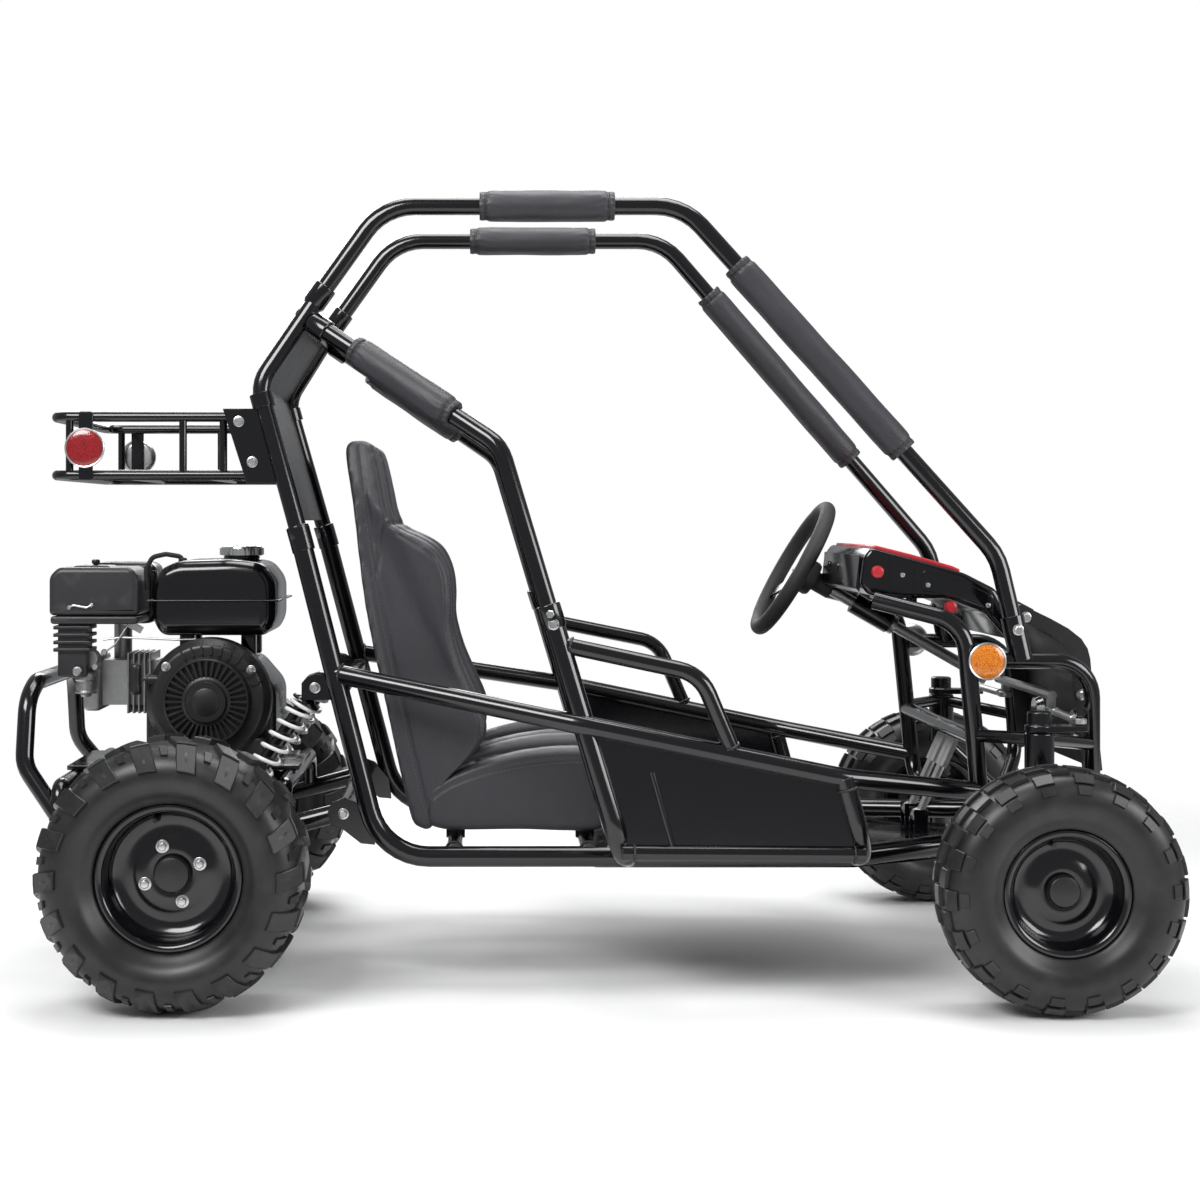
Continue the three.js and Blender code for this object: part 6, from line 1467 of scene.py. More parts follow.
def inset(outline, depth):
    """The same outline, drawn in by a depth."""
    turning = sum(ax * bz - bx * az for (ax, az), (bx, bz) in zip(outline, outline[1:] + outline[:1]))
    sign = 1 if turning > 0 else -1
    line = []
    for index, (bx, bz) in enumerate(outline):
        (ax, az), (cx, cz) = outline[index - 1], outline[(index + 1) % len(outline)]
        dx, dz = cx - ax, cz - az
        long = max(math.hypot(dx, dz), 1e-6)
        line.append((bx - sign * dz / long * depth, bz + sign * dx / long * depth))
    return line


def moulded(forms, outline, across, width, rim, bend=None):
    """A side outline carried across the kart, with its corners and its rims rounded."""
    line = eased(outline, bend or rim)
    rings = []
    levels = range(CORNER_STEPS + 1)
    for sign, level in [(-1, k) for k in levels] + [(1, k) for k in reversed(levels)]:
        angle = math.pi / 2 * level / CORNER_STEPS
        drawn = inset(line, rim * (1 - math.sin(angle)))
        y = across + sign * (width / 2 - rim * (1 - math.cos(angle)))
        rings.append([at(x, y, z) for x, z in drawn])
    return forms.skin(rings)


# %% [markdown]
# ## Engine
# The engine is a small single: a crankcase, a finned cylinder
# lying back, a tank on top and an air cleaner behind it.
# A ribbed fan cover with a pull grip faces the viewer. Its many blades repeat, so the ring tree sets them.
# Cast parts take the grainy engine paint, moulded parts take the plastic, and fasteners are bright zinc.

# %% Crankcase, cylinder and muffler
CRANK = at(-583.4, 0, 425)


def case_forms():
    """The crankcase on its feet, with its side cover, output shaft and filler boss."""
    forms = Forms()
    outline = [(-691.4, 318), (-479.4, 318), (-479.4, 441.8), (-521, 490), (-656.2, 490), (-691.4, 455.6)]
    moulded(forms, outline, 2, 188, 10, 16)
    for x in (-668, -503):
        moulded(forms, [(x - 22, 319), (x + 22, 319), (x + 16, 342), (x - 16, 342)], 2, 198, 4)
    forms.turned([(64, 90), (64, 97), (58, 101), (30, 103), (26, 108), (20, 110)], CRANK, LEFTWARD, 48)
    forms.bar(at(-583.4, 2, 425), at(-583.4, 192, 425), 20)
    forms.bar(at(-640, -60, 490), at(-640, -60, 499), 26)
    return forms


def cylinder_forms():
    """The cylinder with its fins and head, and the exhaust pipe up to the muffler."""
    forms = Forms()
    forms.block(at(-739, 2, 446), 116, 74, 74)
    for fin in range(5):
        x = -691.4 - fin * 9
        moulded(forms, rectangle(x - 2, 396, x + 2, 496), 2, 100, 1.6, 1)
    moulded(forms, rectangle(-802, 399.5, -772.4, 492.5), 2, 94, 6, 8)
    forms.bar(at(-749.4, 33, 446), at(-749.4, 33, 592), 30)
    return forms


def muffler_forms():
    """The muffler box with the two beads that stiffen it."""
    forms = Forms()
    moulded(forms, rectangle(-807.4, 540, -691.4, 644), 66, 84, 10, 22)
    for rise in (556, 628):
        moulded(forms, rectangle(-806, rise - 2, -693, rise + 2), 66, 83, 1.5, 1)
    return forms


piece("crankcase", case_forms(), ENGINE, "rear_swing", ["engine_block"])
piece("finned_cylinder", cylinder_forms(), DULL, "rear_swing")
piece("muffler_box", muffler_forms(), ENGINE, "rear_swing")
SLOT_HEIGHTS = (572, 584, 596, 608)
slots = [(at(-807.2, y, z), -AHEAD) for y in (48, 84) for z in SLOT_HEIGHTS]
slots += [(at(x, 108.2, z), LEFTWARD) for x in (-775, -725) for z in SLOT_HEIGHTS]
louvres = spots_of(Forms().block(at(0, 0, 0.6), 26, 5, 2.4), slots, BLACK, wobble=0)
piece("muffler_louvres", louvres, BLACK, "rear_swing", bevel=0)

# %% Recoil cover with its blades
COVER = at(-583.4, -92.3, 425)
SIDEWARD = -LEFTWARD


def cover_forms():
    """The cover's stepped shell, its foot, and the nozzle that the rope comes out of."""
    forms = Forms()
    profile = [(98, 0), (100, 2), (100, 40), (98.5, 43), (95, 46), (91, 53), (88, 55.5), (84, 56), (71, 56),
               (70, 58), (68.5, 70), (67, 71.6), (65.4, 71.6), (65, 70), (65, 61), (40, 61), (39.5, 70),
               (36, 71.8), (34, 72), (33.2, 76), (31.5, 78), (0.1, 78)]
    forms.turned(profile, COVER, SIDEWARD, 72)
    moulded(forms, rectangle(-673, 318.5, -493, 366), -114.3, 44, 5, 14)
    forms.tube([at(-682, -140, 459), at(-655, -140, 459), at(-640, -132, 452)], 16, bend=14)
    forms.turned([(6, -2), (8.6, -1), (9, 1.5), (8.2, 3.5)], at(-682.4, -140, 459), AHEAD, 24)
    return forms


# one blade of the grille, drawn for the ring tree: out along X, standing on Z
blade = Forms().skin([[at(38.5, -1.5, z), at(66, -2.3, z), at(66, 2.3, z), at(38.5, 1.5, z)]
                      for z in (58, 68, 70.6)])
blades = ring_of(blade, COVER, SIDEWARD, 36, PLASTIC)
rim_ribs = Forms()
for turn in range(10):
    angle = 0.35 + turn * 0.19
    outward, across = outward_at(AHEAD, UPWARD, angle), outward_at(UPWARD, -AHEAD, angle)
    rim_ribs.skin([[COVER + (outward * reach + across * k + SIDEWARD * lift) * MM
                    for k, lift in ((-1.4, 30), (-1.4, top), (1.4, top), (1.4, 30))]
                   for reach, top in ((73, 57.5), (75, 59.5), (88, 58.5), (96, 48))])
piece("recoil_cover_shell", combine("cover", cover_forms().mesh("a"), blades, rim_ribs.mesh("b")), PLASTIC,
      "rear_swing", ["recoil_cover"], bevel=0)
disc = Forms().turned([(21, -1), (22, 0), (22, 1.2), (21, 1.8), (0.1, 1.8)], COVER + SIDEWARD * 77.6 * MM,
                      SIDEWARD, 48)
piece("recoil_hub_disc", disc, PLASTIC, "rear_swing", bevel=0)
cover_bolts = [(COVER + outward_at(AHEAD, UPWARD, angle) * 86 * MM + SIDEWARD * 55.5 * MM, SIDEWARD)
               for angle in (0.62, 2.45, 4.6)]
piece("recoil_cover_bolts", spots_of(hex_bolt(10, 6, 15), cover_bolts, ZINC), ZINC, "rear_swing",
      bevel=0)
grip = Forms().turned([(5, 0), (7.5, 1.4), (9.2, 5), (9.3, 9), (8.3, 16), (7.8, 25), (8.3, 34), (9.3, 41),
                       (9.2, 45), (7.5, 48.6), (5, 50)], at(-699.4, -140.3, 434), UPWARD, 32)
piece("recoil_pull_grip", grip, PLASTIC, "grip", ["recoil_grip"], bevel=0)

# %% Fuel tank and its cap
def tank_forms():
    """The tank with its seam, its feet and the neck under the cap."""
    forms = Forms()
    outline = [(-679.4, 551.8), (-665.4, 527), (-493.4, 527), (-479.4, 551.8), (-479.4, 616.3), (-501.4, 644.8),
               (-549.4, 651), (-639.4, 648.5), (-669.4, 633.6), (-679.4, 601.4)]
    moulded(forms, outline, 0, 216, 20, 14)
    moulded(forms, rectangle(-687, 582.5, -471.8, 585.5), 0, 223.6, 1.2, 1)
    for along in (-630, -529):
        for across in (-40, 40):
            moulded(forms, rectangle(along - 12, 490.5, along + 12, 530), across, 24, 3)
    forms.turned([(33, -8), (33, -3), (30, 0), (30, 3.6), (28, 4)], at(-545.4, 0, 651), UPWARD, 40)
    return forms


piece("fuel_tank_shell", tank_forms(), BLACK, "rear_swing", ["fuel_tank"], bevel=0)
CAP = at(-545.4, 0, 655.3)
cap = Forms().turned([(33, 0), (34.5, 1), (34.5, 12), (33, 15), (30, 16.6), (24, 17), (23, 15.4), (8, 15.4),
                      (7, 16.6), (0.1, 16.8)], CAP, UPWARD, 64)
knurl = Forms()
knurl.skin([[at(34, -1.6, z), at(36.8, -1.0, z), at(36.8, 1.0, z), at(34, 1.6, z)] for z in (1.5, 12.5)])
piece("fuel_cap_knurled", combine("cap", cap.mesh("cap"), ring_of(knurl, CAP, UPWARD, 36, CHROME)), CHROME,
      "cap", ["fuel_cap"], bevel=0)

# %% Air cleaner, breather and carburettor
def cleaner_forms():
    """The cleaner's lid and base, and the ribbed elbow below it."""
    forms = Forms()
    outline = [(-845.4, 560), (-699.4, 560), (-699.4, 619.6), (-711.1, 638), (-830.8, 638), (-845.4, 623.3)]
    moulded(forms, outline, -52, 118, 9, 8)
    moulded(forms, rectangle(-843.4, 546, -701.4, 559), -52, 114, 4, 6)
    moulded(forms, rectangle(-833.4, 459, -785.4, 548), -74, 50, 4, 6)
    for rise in (540, 528, 516, 504):
        moulded(forms, rectangle(-839.4, rise - 3, -779.4, rise + 3), -74, 62, 2, 1.5)
    moulded(forms, [(-812, 637), (-748, 637), (-754, 640.5), (-806, 640.5)], -52, 66, 1.5, 3)
    return forms


def carburettor_forms():
    """The bowl, the barrel and two small shafts."""
    forms = Forms()
    forms.turned([(18, 0), (18, 3), (16.5, 4), (16.5, 20), (18, 22), (18, 30), (15, 34)], at(-791.4, -74, 432),
                 UPWARD, 40)
    forms.turned([(7, -6), (9, -4), (9, 0.5), (12, 2)], at(-791.4, -74, 432), UPWARD, 24)
    forms.bar(at(-787.4, -76, 488), at(-787.4, -46, 488), 30)
    forms.bar(at(-800, -106, 470), at(-800, -84, 470), 12)
    forms.turned([(8, -2), (8, 3), (6, 5)], at(-800, -104, 470), SIDEWARD, 20)
    forms.bar(at(-772, -104, 476), at(-772, -70, 476), 9)
    return forms


piece("air_cleaner_box", cleaner_forms(), GREY, "rear_swing", ["air_cleaner"])
piece("carburettor", carburettor_forms(), DULL, "rear_swing")
knob = Forms().turned([(4, 0), (4, 4), (6.2, 5), (6.8, 7), (6.8, 9.5), (5.6, 11.6), (2, 12.6), (0.1, 12.8)],
                      at(-779.7, -52, 638), UPWARD, 24)
piece("air_cleaner_knob", knob, PLASTIC, "rear_swing", bevel=0)
clip = Forms()
clip.tube([at(-812, -111.6, 573), at(-805, -112.6, 577), at(-783, -112.8, 573), at(-776, -112, 577)], 4, bend=5)
for x, z in ((-812, 573), (-776, 577)):
    clip.turned([(3.4, 0), (3.6, 1.6), (2.4, 2.8)], at(x, -110.8, z), SIDEWARD, 16)
piece("air_cleaner_clip", clip, ZINC, "rear_swing", bevel=0)
print("pieces so far:", len(made_pieces))

# %% [markdown]
# ## Swingarm, axle guard and rear shocks
# The engine and the rear axle ride on one swinging sub-frame, held up by two shocks with white coil springs.
# A spring must shorten as the shock closes; here its mesh is one fixed piece, left in the kart's frame on
# neither half of the shock.
# Its wire is a plain helix with closed end curls, which is how a real spring sits flat on its seats.

# %% Swingarm
def swingarm_forms():
    """Pivot tube, arms with their bearings and shock cheeks, engine plate and rear guard."""
    forms = Forms()
    forms.bar(at(-357, -262, 262), at(-357, 262, 262), 34)
    for side in SIDES.values():
        forms.tube(one_side(side, at(-357, 240, 262), at(-593, 240, 200), at(-800, 240, 245)), 30)
        forms.turned([(28, -17), (31, -15.5), (31, 15.5), (28, 17), (24, 17.2)], at(-593.4, side * 240, 200),
                     LEFTWARD, 40)
        for cheek in (-1, 1):
            forms.profile([(-556, 216), (-524, 222), (-522, 256), (-530, 270), (-538, 273), (-547, 270),
                           (-555, 256)], side * 240 + cheek * 15, 4)
        forms.bar(at(-538, side * 240 - 17, 254), at(-538, side * 240 + 17, 254), 12)
    for along, foot in ((-452.4, 237), (-802.8, 246)):
        forms.tube([at(along, -240, foot), at(along, -240, 298.5), at(along, 240, 298.5), at(along, 240, foot)],
                   25, bend=30)
    moulded(forms, rectangle(-815.3, 310, -439.9, 317.8), 0, 224, 1.5)
    half = [at(-798, 240, 245), at(-862, 215, 330), at(-862, 190, 430), at(-857, 150, 456)]
    forms.tube(one_side(-1, *half) + list(reversed(half)), 28)
    return forms


piece("swingarm_tubes", swingarm_forms(), BLACK, "rear_swing", ["swingarm"])

# %% Shock springs
EYE, FOOT = at(-402, 240, 455), at(-538, 240, 254)
SEAT_TOP, SEAT_FOOT = at(-419.2, 240, 430.2), at(-518.9, 240, 282.2)
COIL_STEPS, WIRE_SIDES = 26, 10


def coil(start, end, across, wire, turns):
    """A helix of wire from one seat to the other, with a closed curl at each end."""
    heading = (end - start).normalized()
    one, two = axes_for(heading)
    long = (end - start).length - wire * MM
    reach = (across - wire) / 2 * MM
    closed = 0.9 / turns
    path = []
    total = turns * COIL_STEPS
    for step in range(total + 1):
        share = step / total
        if share < closed:
            rise = share / closed * wire * MM
        elif share > 1 - closed:
            rise = long - (1 - share) / closed * wire * MM
        else:
            rise = wire * MM + (share - closed) / (1 - 2 * closed) * (long - 2 * wire * MM)
        angle = 2 * math.pi * turns * share
        path.append(start + heading * (rise + wire / 2 * MM) + outward_at(one, two, angle) * reach)
    return Forms().round_along(path, wire, WIRE_SIDES)


for label, side in SIDES.items():
    top, foot = one_side(side, SEAT_TOP, SEAT_FOOT)
    bridging(f"shock_spring_coil_{label}", coil(top, foot, 45, 6.5, 9), WHITE,
             [f"shock_spring_{label}"])

# %% Shock bodies and rods
for label, side in SIDES.items():
    eye, foot = one_side(side, EYE, FOOT)
    heading = (foot - eye).normalized()
    body, rod = (Forms().turned([(13, -12), (14, -11), (14, 11), (13, 12)], middle, LEFTWARD, 32)
                 for middle in (eye, foot))
    body.turned([(9, 8), (10, 20), (22, 26), (23, 27.5), (23, 30), (21.5, 30.6), (12.5, 31), (11.4, 33),
                 (11.4, 153), (9.5, 155.5)], eye, heading, 36)
    piece(f"shock_body_turned_{label}", body, BLACK, f"shock_{label}", [f"shock_body_{label}"],
          bevel=0)
    rod.turned([(8.4, 9), (8.4, 28), (21.5, 29.6), (23, 30.4), (23, 33), (21.5, 33.8), (8, 34.2), (6, 36),
                (6, 136)], foot, -heading, 36)
    piece(f"shock_rod_turned_{label}", rod, ZINC, f"shock_rod_{label}", [f"shock_rod_{label}"],
          bevel=0)

# %% [markdown]
# ## Dash, nose and lamps
# The dash is one moulded box with a red lid; the nose is a
# thin bent sheet with folded sides that carries two lamps.
# Both are drawn from their side outline, as they would be on paper, and then carried across the kart.
# The lamps and reflectors are turned, because they are round,
# and their lenses get small prisms from the material.

# %% Dash housing and lid
DASH = [(454, 612), (467, 596), (516, 591), (593, 591), (649, 570), (688, 524), (689, 568), (668, 606),
        (619, 631), (471, 672), (460, 658)]


def dash_forms():
    """The housing with the ribs and raised rims on its sides, and the switch plate."""
    forms = Forms()
    moulded(forms, DASH, 0, 390, 8, 7)
    for side in (-1, 1):
        for x, high, low in ((462, 650, 610), (500, 654, 600), (540, 640, 598)):
            forms.plate([at(along, side * 195.4, z) for along, z in rectangle(x - 1.4, high, x + 1.4, low)],
                        1.6, LEFTWARD)
        rim = [(548, 604), (640, 584), (664, 560), (664, 596), (616, 618), (552, 636)]
        moulded(forms, rim, side * 193.4, 5.2, 2, 6)
    moulded(forms, [(449.8, 606), (456, 600), (462, 652), (456, 660)], 0, 350, 2, 2)
    for across, wide in ((110, 20), (20, 16)):
        forms.bar(at(452, across, 634), at(462, across, 634), wide)
    return forms


def lid_forms():
    """The red lid, which follows the slope of the dash."""
    forms = Forms()
    rear, front = Vector((471, 0, 672)), Vector((619, 0, 631))
    way = (front - rear).normalized()
    rise = Vector((-way.z, 0, way.x))
    start, end = rear + way * 6, front - way * 6
    steps = ((start, -4), (end, -4), (end, 4.2), (end - way * 14, 6.2), (start + way * 60, 6.6), (start, 5.2))
    outline = [tuple((spot + rise * lift)[k] for k in (0, 2)) for spot, lift in steps]
    moulded(forms, outline, 0, 366, 3.5, 3)
    return forms


piece("dash_housing_shell", dash_forms(), BLACK, "chassis", ["dash_housing"], bevel=0.4)
piece("dash_lid", lid_forms(), RED, "chassis", bevel=0)
screw = standing([(4, -1), (4.2, 0.4), (3.4, 1.8), (1.6, 2.3), (0.1, 2.0)], 20)
screw_spots = [(at(x, side * 196.2, z), LEFTWARD * side)
               for side in (-1, 1) for x, z in ((560, 612), (655, 580), (520, 628))]
piece("dash_screws", spots_of(screw, screw_spots, ZINC), ZINC, "chassis", bevel=0)
knob = Forms().turned([(5, -6), (5, 0), (9, 1), (10, 3), (10, 8), (8.4, 11), (4, 12.4), (0.1, 12.6)],
                      at(596, -186, 577), (AHEAD * 0.2 - LEFTWARD).normalized(), 32)
piece("red_pull_knob", knob, RED, "chassis", bevel=0)
button = Forms().turned([(5, 0), (5, 10), (9.4, 10), (10, 11), (10, 15), (9, 17.6), (6, 18.8), (0.1, 19)],
                        at(480, -186.2, 633), SIDEWARD, 36)
piece("kill_switch_button", button, RED, "switch", ["kill_switch"], bevel=0)

# %% Nose fairing and headlamps
def nose_forms():
    """The bent sheet with its folded sides, brackets and three ribs."""
    forms = Forms()
    front, back, flange = (smooth_line(line, 4) for line in (
        [(706, 582), (800, 528), (818, 455), (833, 321)], [(702, 578), (796, 524), (814, 453), (829, 320)],
        [(676, 572), (770, 518), (788, 445), (803, 311)]))
    forms.profile(front + back[::-1], 0, 404)
    for side in (-1, 1):
        forms.profile(front + flange[::-1], side * 203, 4)
        corners = ((712, 150, 583), (796, 150, 534), (796, 158, 534), (712, 158, 583))
        forms.plate([at(x, side * y, z) for x, y, z in corners], 2.4, Vector((0.49, 0, 0.87)))
        forms.profile([(698, 560), (738, 548), (738, 572), (704, 590)], side * 150, 5)
    for place in (-60, 0, 60):
        forms.plate([at(807, place - 5, 512), at(819, place - 5, 462), at(819, place + 5, 462),
                     at(807, place + 5, 512)], 3, Vector((0.97, 0, 0.24)))
    return forms


LAMP_SHELL = [(20, 0), (29, 16), (30, 17), (30, 33), (28.4, 34), (27.2, 32), (26.6, 24), (16, 14), (0.1, 12)]
LAMP_LENS = [(26.6, 24), (26.8, 28), (22, 31.2), (12, 33.2), (0.1, 33.8)]
piece("nose_fairing_sheet", nose_forms(), PLASTIC, "chassis", ["nose_fairing"], sharp=0.5)
for label, side in SIDES.items():
    shell, face = (Forms().turned(line, at(809, side * 120, 388), AHEAD, 48)
                   for line in (LAMP_SHELL, LAMP_LENS))
    piece(f"headlamp_shell_{label}", shell, CHROME, "chassis", bevel=0)
    piece(f"headlamp_lens_{label}", face, CLEAR, "chassis", bevel=0)

# %% [markdown]
# ## Rear rack and reflectors
# The rack is bent from slim rod, so each rod is one tube with a bend at each corner.
# The reflectors are pressed pans with a domed lens, and a rolled silver rim catches the light round each one.

# %% Rack
def rack_forms():
    """Two bent hoops, the uprights between them and the bolt plates."""
    forms = Forms()
    for front, height in ((-499, 876), (-474, 785)):
        forms.tube([at(front, -232, height), at(-812, -232, height), at(-812, 232, height),
                    at(front, 232, height)], 16, bend=30)
    for side in (-1, 1):
        for along in (-787, -610, -547):
            forms.bar(at(along, side * 232, 785), at(along, side * 232, 876), 12)
        forms.profile([(-546, 888), (-506, 888), (-470, 772), (-509, 772)], side * 242.2, 5)
        moulded(forms, rectangle(-771, 777, -749, 884), side * 241.2, 3, 1, 4)
    for along in (-711, -583):
        forms.bar(at(along, -232, 785), at(along, 232, 785), 12)
    return forms


piece("rear_rack_rods", rack_forms(), BLACK, "chassis", ["rear_rack"])


def reflector(name, base, side, r, lens_material):
    """A pressed pan of radius r with its domed lens, facing sideways."""
    pan = [(0.7 * r, 0), (0.8 * r, 0.4), (r - 0.6, 5), (r, 6), (r, 9.6), (r - 1.2, 10.4), (r - 2.6, 9.8),
           (r - 3, 7)]
    dome = [(r - 2.7, 7), (r - 2.9, 9.4), (r - 6, 11), (0.6 * r, 12.2), (0.3 * r, 12.8), (0.1, 13)]
    pan, dome = (Forms().turned(line, base, LEFTWARD * side, 56) for line in (pan, dome))
    piece(f"{name}_pan", pan, ZINC, "chassis", [name], bevel=0)
    piece(f"{name}_lens", dome, lens_material, "chassis", bevel=0)


for label, side in SIDES.items():
    reflector(f"tail_reflector_{label}", at(-760, side * 243.4, 827), side, 31, RUBY)
    reflector(f"side_reflector_{label}", at(632, side * 281, 498), side, 29, AMBER)
print("pieces so far:", len(made_pieces))

# %% [markdown]
# ## Steering and front corners
# The wheel is a soft ring on three flat spokes, with a padded
# hub and a sleeved column that leans down to the steering link.
# Round parts are turned again with many sides, through the same
# places as the solids, so that they still meet their joints.

# %% Steering wheel and column
WHEEL_CENTRE = at(402, 190, 630)
COLUMN_AXIS = Vector((0.8688, 0, -0.4952))
# the radius of the wheel's ring, and of its grip, in mm
RING_RADIUS, GRIP_RADIUS = 119, 13.6


def bar_section(spot, across, face, wide, thick):
    """The four corners of a flat bar's section at a place."""
    return [spot + (across * x + face * z) * MM for x, z in rectangle(-wide, -thick, wide, thick)]


def wheel_forms():
    """The padded ring, its grip pinched at three places, and the hub with its sleeve."""
    forms = Forms()
    one, two = axes_for(COLUMN_AXIS)
    ring = []
    for angle in angles(96):
        outward = outward_at(one, two, angle)
        grip = GRIP_RADIUS - 0.7 * math.exp(-((math.sin(angle * 1.5 + 0.8)) / 0.16) ** 2)
        ring.append([WHEEL_CENTRE + outward * RING_RADIUS * MM + outward_at(outward, COLUMN_AXIS, t) * grip * MM
                     for t in angles(24)])
    forms.skin(ring, looped=True)
    hub = WHEEL_CENTRE + COLUMN_AXIS * 8 * MM
    forms.turned([(26, 0), (30, 2), (31, 5), (31, 30), (28, 35), (17, 36.5), (17, 68), (15.6, 70)], hub,
                 COLUMN_AXIS, 40)
    return forms


def spoke_forms():
    """Three flat spokes that narrow towards the ring."""
    forms = Forms()
    root = WHEEL_CENTRE + COLUMN_AXIS * 22 * MM
    for tip in (at(461, 190, 733), at(373, 293, 578), at(373, 87, 578)):
        way = (tip - root).normalized()
        across = way.cross(COLUMN_AXIS).normalized()
        face = across.cross(way).normalized()
        forms.skin([bar_section(lerp(root, tip, share), across, face, wide, 2.4)
                    for share, wide in ((0.05, 17), (0.35, 12.5), (0.65, 10), (0.92, 11))])
    return forms


piece("steering_wheel_ring", wheel_forms(), FOAM, "steering", ["steering_wheel"], bevel=0,
      sharp=0.8)
piece("steering_wheel_spokes", spoke_forms(), BLACK, "steering", bevel=1.2)
hub_bolts = [(WHEEL_CENTRE + COLUMN_AXIS * 8 * MM + outward_at(*axes_for(COLUMN_AXIS), angle) * 20 * MM,
              -COLUMN_AXIS) for angle in (0.5, 2.6, 4.7)]
piece("steering_wheel_bolts", spots_of(hex_bolt(8, 4, 11), hub_bolts, ZINC), ZINC, "steering",
      bevel=0)


def column_forms():
    """The shaft, its collar, and the flat arm with its pin at the foot."""
    forms = Forms()
    start, end = at(432, 190, 613), at(741, 190, 437)
    forms.bar(start, end, 20)
    forms.turned([(15, 0), (17, 1), (17, 9), (15, 10)], at(573, 190, 533), COLUMN_AXIS, 32)
    tip = at(752, 190, 465)
    way = (tip - end).normalized()
    long = (tip - end).length / MM
    face = LEFTWARD.cross(way).normalized()
    forms.skin([bar_section(end + way * reach * MM - COLUMN_AXIS * 4 * MM, LEFTWARD, face, wide, 4)
                for reach, wide in ((-12, 9), (-9, 13), (0, 14), (0.5 * long, 11), (long, 10), (long + 7, 7))])
    forms.bar(tip, at(773, 190, 453), 8)
    return forms


piece("steering_column_shaft", column_forms(), DULL, "steering", ["steering_column"])

# %% Front corners: a ribbed dust bellows round each strut
KINGPIN_X, KINGPIN_Y = 696.6, 345


def bellows(start, end, wide, folds):
    """A folded rubber sleeve between two places."""
    long = (end - start).length / MM
    profile = []
    for fold in range(folds * 4 + 1):
        share = fold / (folds * 4)
        swell = (1 - math.cos(2 * math.pi * share * folds)) / 2
        profile.append((wide / 2 - 3.4 * (1 - swell), long * share))
    return Forms().turned(profile, start, end - start, 40)


for label, side in SIDES.items():
    top, low = one_side(side, at(KINGPIN_X, KINGPIN_Y, 306), at(KINGPIN_X, KINGPIN_Y, 245.5))
    bridging(f"front_strut_bellows_{label}", bellows(top, low, 36, 6), FOAM,
             ())

# %% [markdown]
# ## Bolts and links
# A hexagon bolt is drawn once, and the spot tree sets a copy wherever the photograph shows a fastener.
# Each spot carries the heading that its bolt stands on, and a small
# random turn, because no two bolts stop at the same angle.

# %% Frame bolts
bolt_spots = []
for side in SIDES.values():
    aim = LEFTWARD * side
    bolt_spots += [(at(-402, side * 257.5, 455), aim), (at(-357, side * 272, 262), aim)]
    bolt_spots += [(at(x, side * 249.3, z), aim) for x, z in ((-521, 868), (-500, 805))]
    bolt_spots += [(at(x, side * (384 if z > 560 else 388.5), z), aim) for x, z in ((-41.5, 575), (-36.5, 560))]
    bolt_spots += [(at(681, side * 281.5, 546), aim)]
    bolt_spots += [(at(x, side * 205.2, z), aim) for x, z in ((712, 562), (800, 440))]
frame_bolts = spots_of(hex_bolt(), bolt_spots, ZINC, seed=7)
piece("frame_bolts", frame_bolts, ZINC, "chassis", bevel=0)
swing_spots = [(at(-538, side * 257.5, 254), LEFTWARD * side) for side in SIDES.values()]
swing_spots += [(at(x, y, 319), UPWARD) for x in (-668, -503) for y in (-99, 103)]
piece("swingarm_bolts", spots_of(hex_bolt(), swing_spots, ZINC, seed=3), ZINC, "rear_swing",
      bevel=0)

# %% Kingpins, knuckles and tie rods
def kingpin_forms(side):
    """The tube of one kingpin, its head and its steering arm."""
    forms = Forms()
    x, y = KINGPIN_X, side * KINGPIN_Y
    forms.bar(at(x, y, 158), at(x, y, 406), 24)
    forms.turned([(21, 0), (22, 1), (22, 9), (21, 10), (18, 11), (18, 29), (15, 31)], at(x, y, 396), UPWARD, 36)
    arm = [(x - 8, y - side * 20), (x + 20, y - side * 20), (772, side * 329), (772, side * 349),
           (x + 20, y + side * 20), (x - 8, y + side * 20)]
    forms.skin([[at(a, b, z) for a, b in eased(arm, 14)] for z in (396.4, 405.6)])
    forms.bar(at(759, side * 339, 401), at(759, side * 339, 419), 10)
    return forms


def knuckle_forms(side):
    """The sliding sleeve of one knuckle, with its stub axle."""
    forms = Forms()
    x, y = KINGPIN_X, side * KINGPIN_Y
    forms.hollow([(12.6, 1), (19, 0), (20, 2), (20, 91), (19, 93), (12.6, 94)], at(x, y, 150), UPWARD)
    forms.turned([(17, 14), (17, 70), (21, 72), (21, 78.5), (10, 79), (10, 131)], at(x, y, 180),
                 LEFTWARD * side, 36)
    return forms


def tie_rod_forms(side):
    """One rod with a ball joint and a lock nut at each end."""
    forms = Forms()
    outer, inner = one_side(side, at(759, 339, 411), at(767, 150, 411))
    way = (inner - outer).normalized()
    for spot in (outer, inner):
        forms.turned([(9, -4.5), (11, -3.4), (11, 3.4), (9, 4.5)], spot, UPWARD, 32)
    forms.bar(outer, inner, 8)
    forms.bar(outer + way * 38 * MM, inner - way * 38 * MM, 12)
    for spot, aim in ((outer + way * 32 * MM, way), (inner - way * 32 * MM, -way)):
        forms.turned([(6.4, 0), (7.4, 0.6), (7.4, 5.4), (6.4, 6)], spot, aim, 6)
    return forms


for label, side in SIDES.items():
    piece(f"kingpin_tube_{label}", kingpin_forms(side), BLACK, f"kingpin_{label}", [f"kingpin_{label}"])
    piece(f"knuckle_cast_{label}", knuckle_forms(side), BLACK, f"knuckle_{label}", [f"knuckle_{label}"],
          bevel=0)
    piece(f"tie_rod_turned_{label}", tie_rod_forms(side), ZINC, f"tie_rod_{label}", [f"tie_rod_{label}"],
          bevel=0)
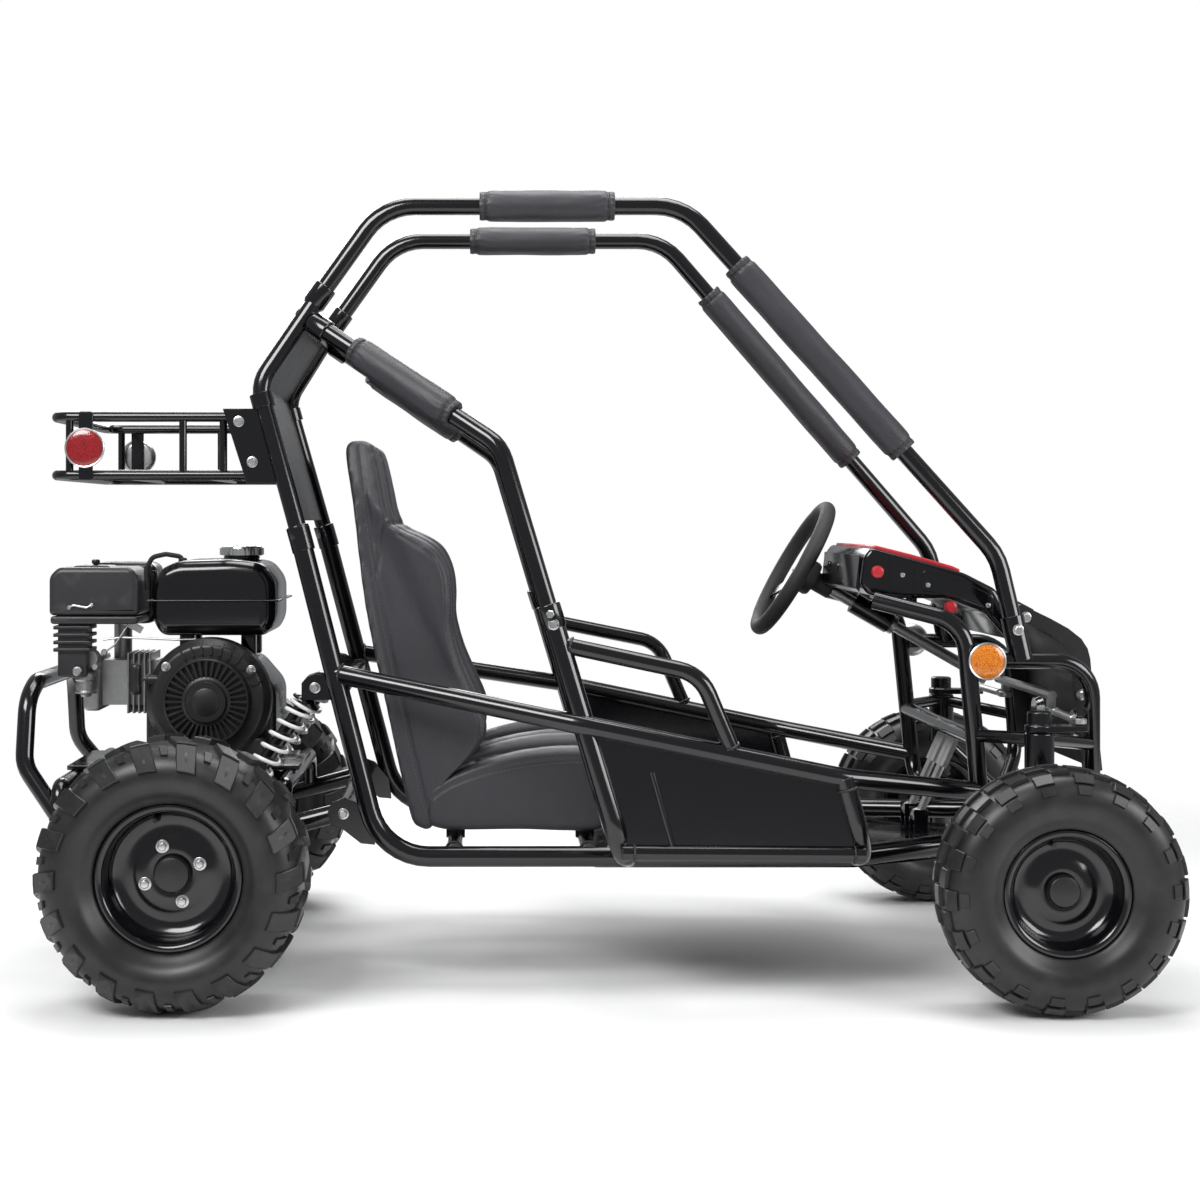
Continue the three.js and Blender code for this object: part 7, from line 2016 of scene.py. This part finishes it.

# %% Starter rope
# It is drawn with many short rings, left in the kart's frame on neither body.
rope_start, rope_end = at(-676, -140, 459), at(-690, -140, 459)
one, two = axes_for(rope_end - rope_start)
rope = Forms().skin([[lerp(rope_start, rope_end, k / 60) + outward_at(one, two, angle) * 1.9 * MM
                      for angle in angles(10)] for k in range(61)])
bridging("starter_rope", rope, FOAM, ())

# %% Pipe, lever and rods above the engine
pipe = Forms()
pipe_line = ((-692, 600), (-694, 634), (-684, 654), (-662, 659), (-637, 655), (-634, 645))
pipe.tube([at(x, -70, z) for x, z in pipe_line], 8, bend=14)
pipe.turned([(6, 0), (7, 1), (7, 5), (5.4, 7)], at(-634, -70, 646), UPWARD, 20)
piece("breather_pipe", pipe, FOAM, "rear_swing", bevel=0)
linkage = Forms()
linkage.plate([at(-735, -92, 548), at(-722, -92, 556), at(-694, -92, 540), at(-700, -92, 530)], 2.4, LEFTWARD)
linkage.tube([at(-760, -94, 520), at(-730, -94, 524), at(-640, -94, 520), at(-600, -90, 521)], 3.2, bend=12)
linkage.tube([at(-757, -100, 500), at(-740, -100, 512), at(-716, -95, 550)], 3.2, bend=10)
for place in (at(-716, -93, 550), at(-757, -100, 500)):
    linkage.turned([(5, -2), (5.4, 0), (4, 3)], place, SIDEWARD, 20)
piece("governor_linkage", linkage, ZINC, "rear_swing", bevel=0)

# %% [markdown]
# ## Welds
# Where two tubes meet, a real frame shows a ring of small overlapping ripples.
# One ripple is a low pebble, and the path tree lays a ring of them round each joint.

# %% Weld beads
RIPPLE = [(0.4, -2.4), (1.9, -1.6), (2.3, 0), (1.9, 1.6), (0.4, 2.4)]
RIPPLE_SPACING = 2.8


def bead(place, heading, across):
    """A ring of ripples round a tube of a diameter, where it meets another one."""
    one, two = axes_for(heading)
    path = [place + outward_at(one, two, angle) * across / 2 * MM for angle in angles(48)]
    count = round(math.pi * across / RIPPLE_SPACING)
    return row_of(standing(RIPPLE, 8), path, count, BLACK, looped=True)


beads = []
for side in SIDES.values():
    for start, end, reach, across in ((SIDE_REAR, SIDE_MID, 11, 31), (at(396, 385, 331), FRONT_DROP, 17, 31),
                                      (LEG_FOOT, FRONT_DROP, 18, 26), (FRONT_DROP, LEG_FOOT, 16, 26),
                                      (at(-28, 375, 530), LOOP_CORNER, 18, 26),
                                      (at(232, 389, 365), LOOP_CORNER, 14, 26),
                                      (at(607, 268, 498), HOOP_FRONT, 15, 26), (HOOP_LOW, BUMPER_END, 70, 26)):
        place, far = one_side(side, start, end)
        heading = (far - place).normalized()
        beads.append(bead(place + heading * reach * MM, heading, across))
for place in (at(-186, -272, 206), at(21, -272, 206), at(-364, -236, 452), at(-364, 236, 452)):
    beads.append(bead(place, LEFTWARD, 26))
piece("weld_beads", combine("beads", *beads), BLACK, "chassis", bevel=0,
      sharp=SHARP_SMALL)

# %% [markdown]
# ## Solids that keep their own shape
# A few working parts under the kart are already right as solids:
# the chain, the axle with its sprocket, the pedals.
# They keep their mesh, and only their material slots are filled with the finished metals.

# %% Finishes for the solids that stay
KEPT = {"chain": DULL, "rear_axle": DULL, "clutch_drum": ZINC, "steering_link": ZINC, "throttle_pedal": DULL,
        "brake_pedal": DULL}
for name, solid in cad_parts.items():
    if solid.hide_render:
        continue
    finish = KEPT.get(name, BLACK)
    for slot in solid.material_slots:
        slot.material = finish
    print("kept:", name)

# %% Count the finished pieces
print("pieces:", len(made_pieces))
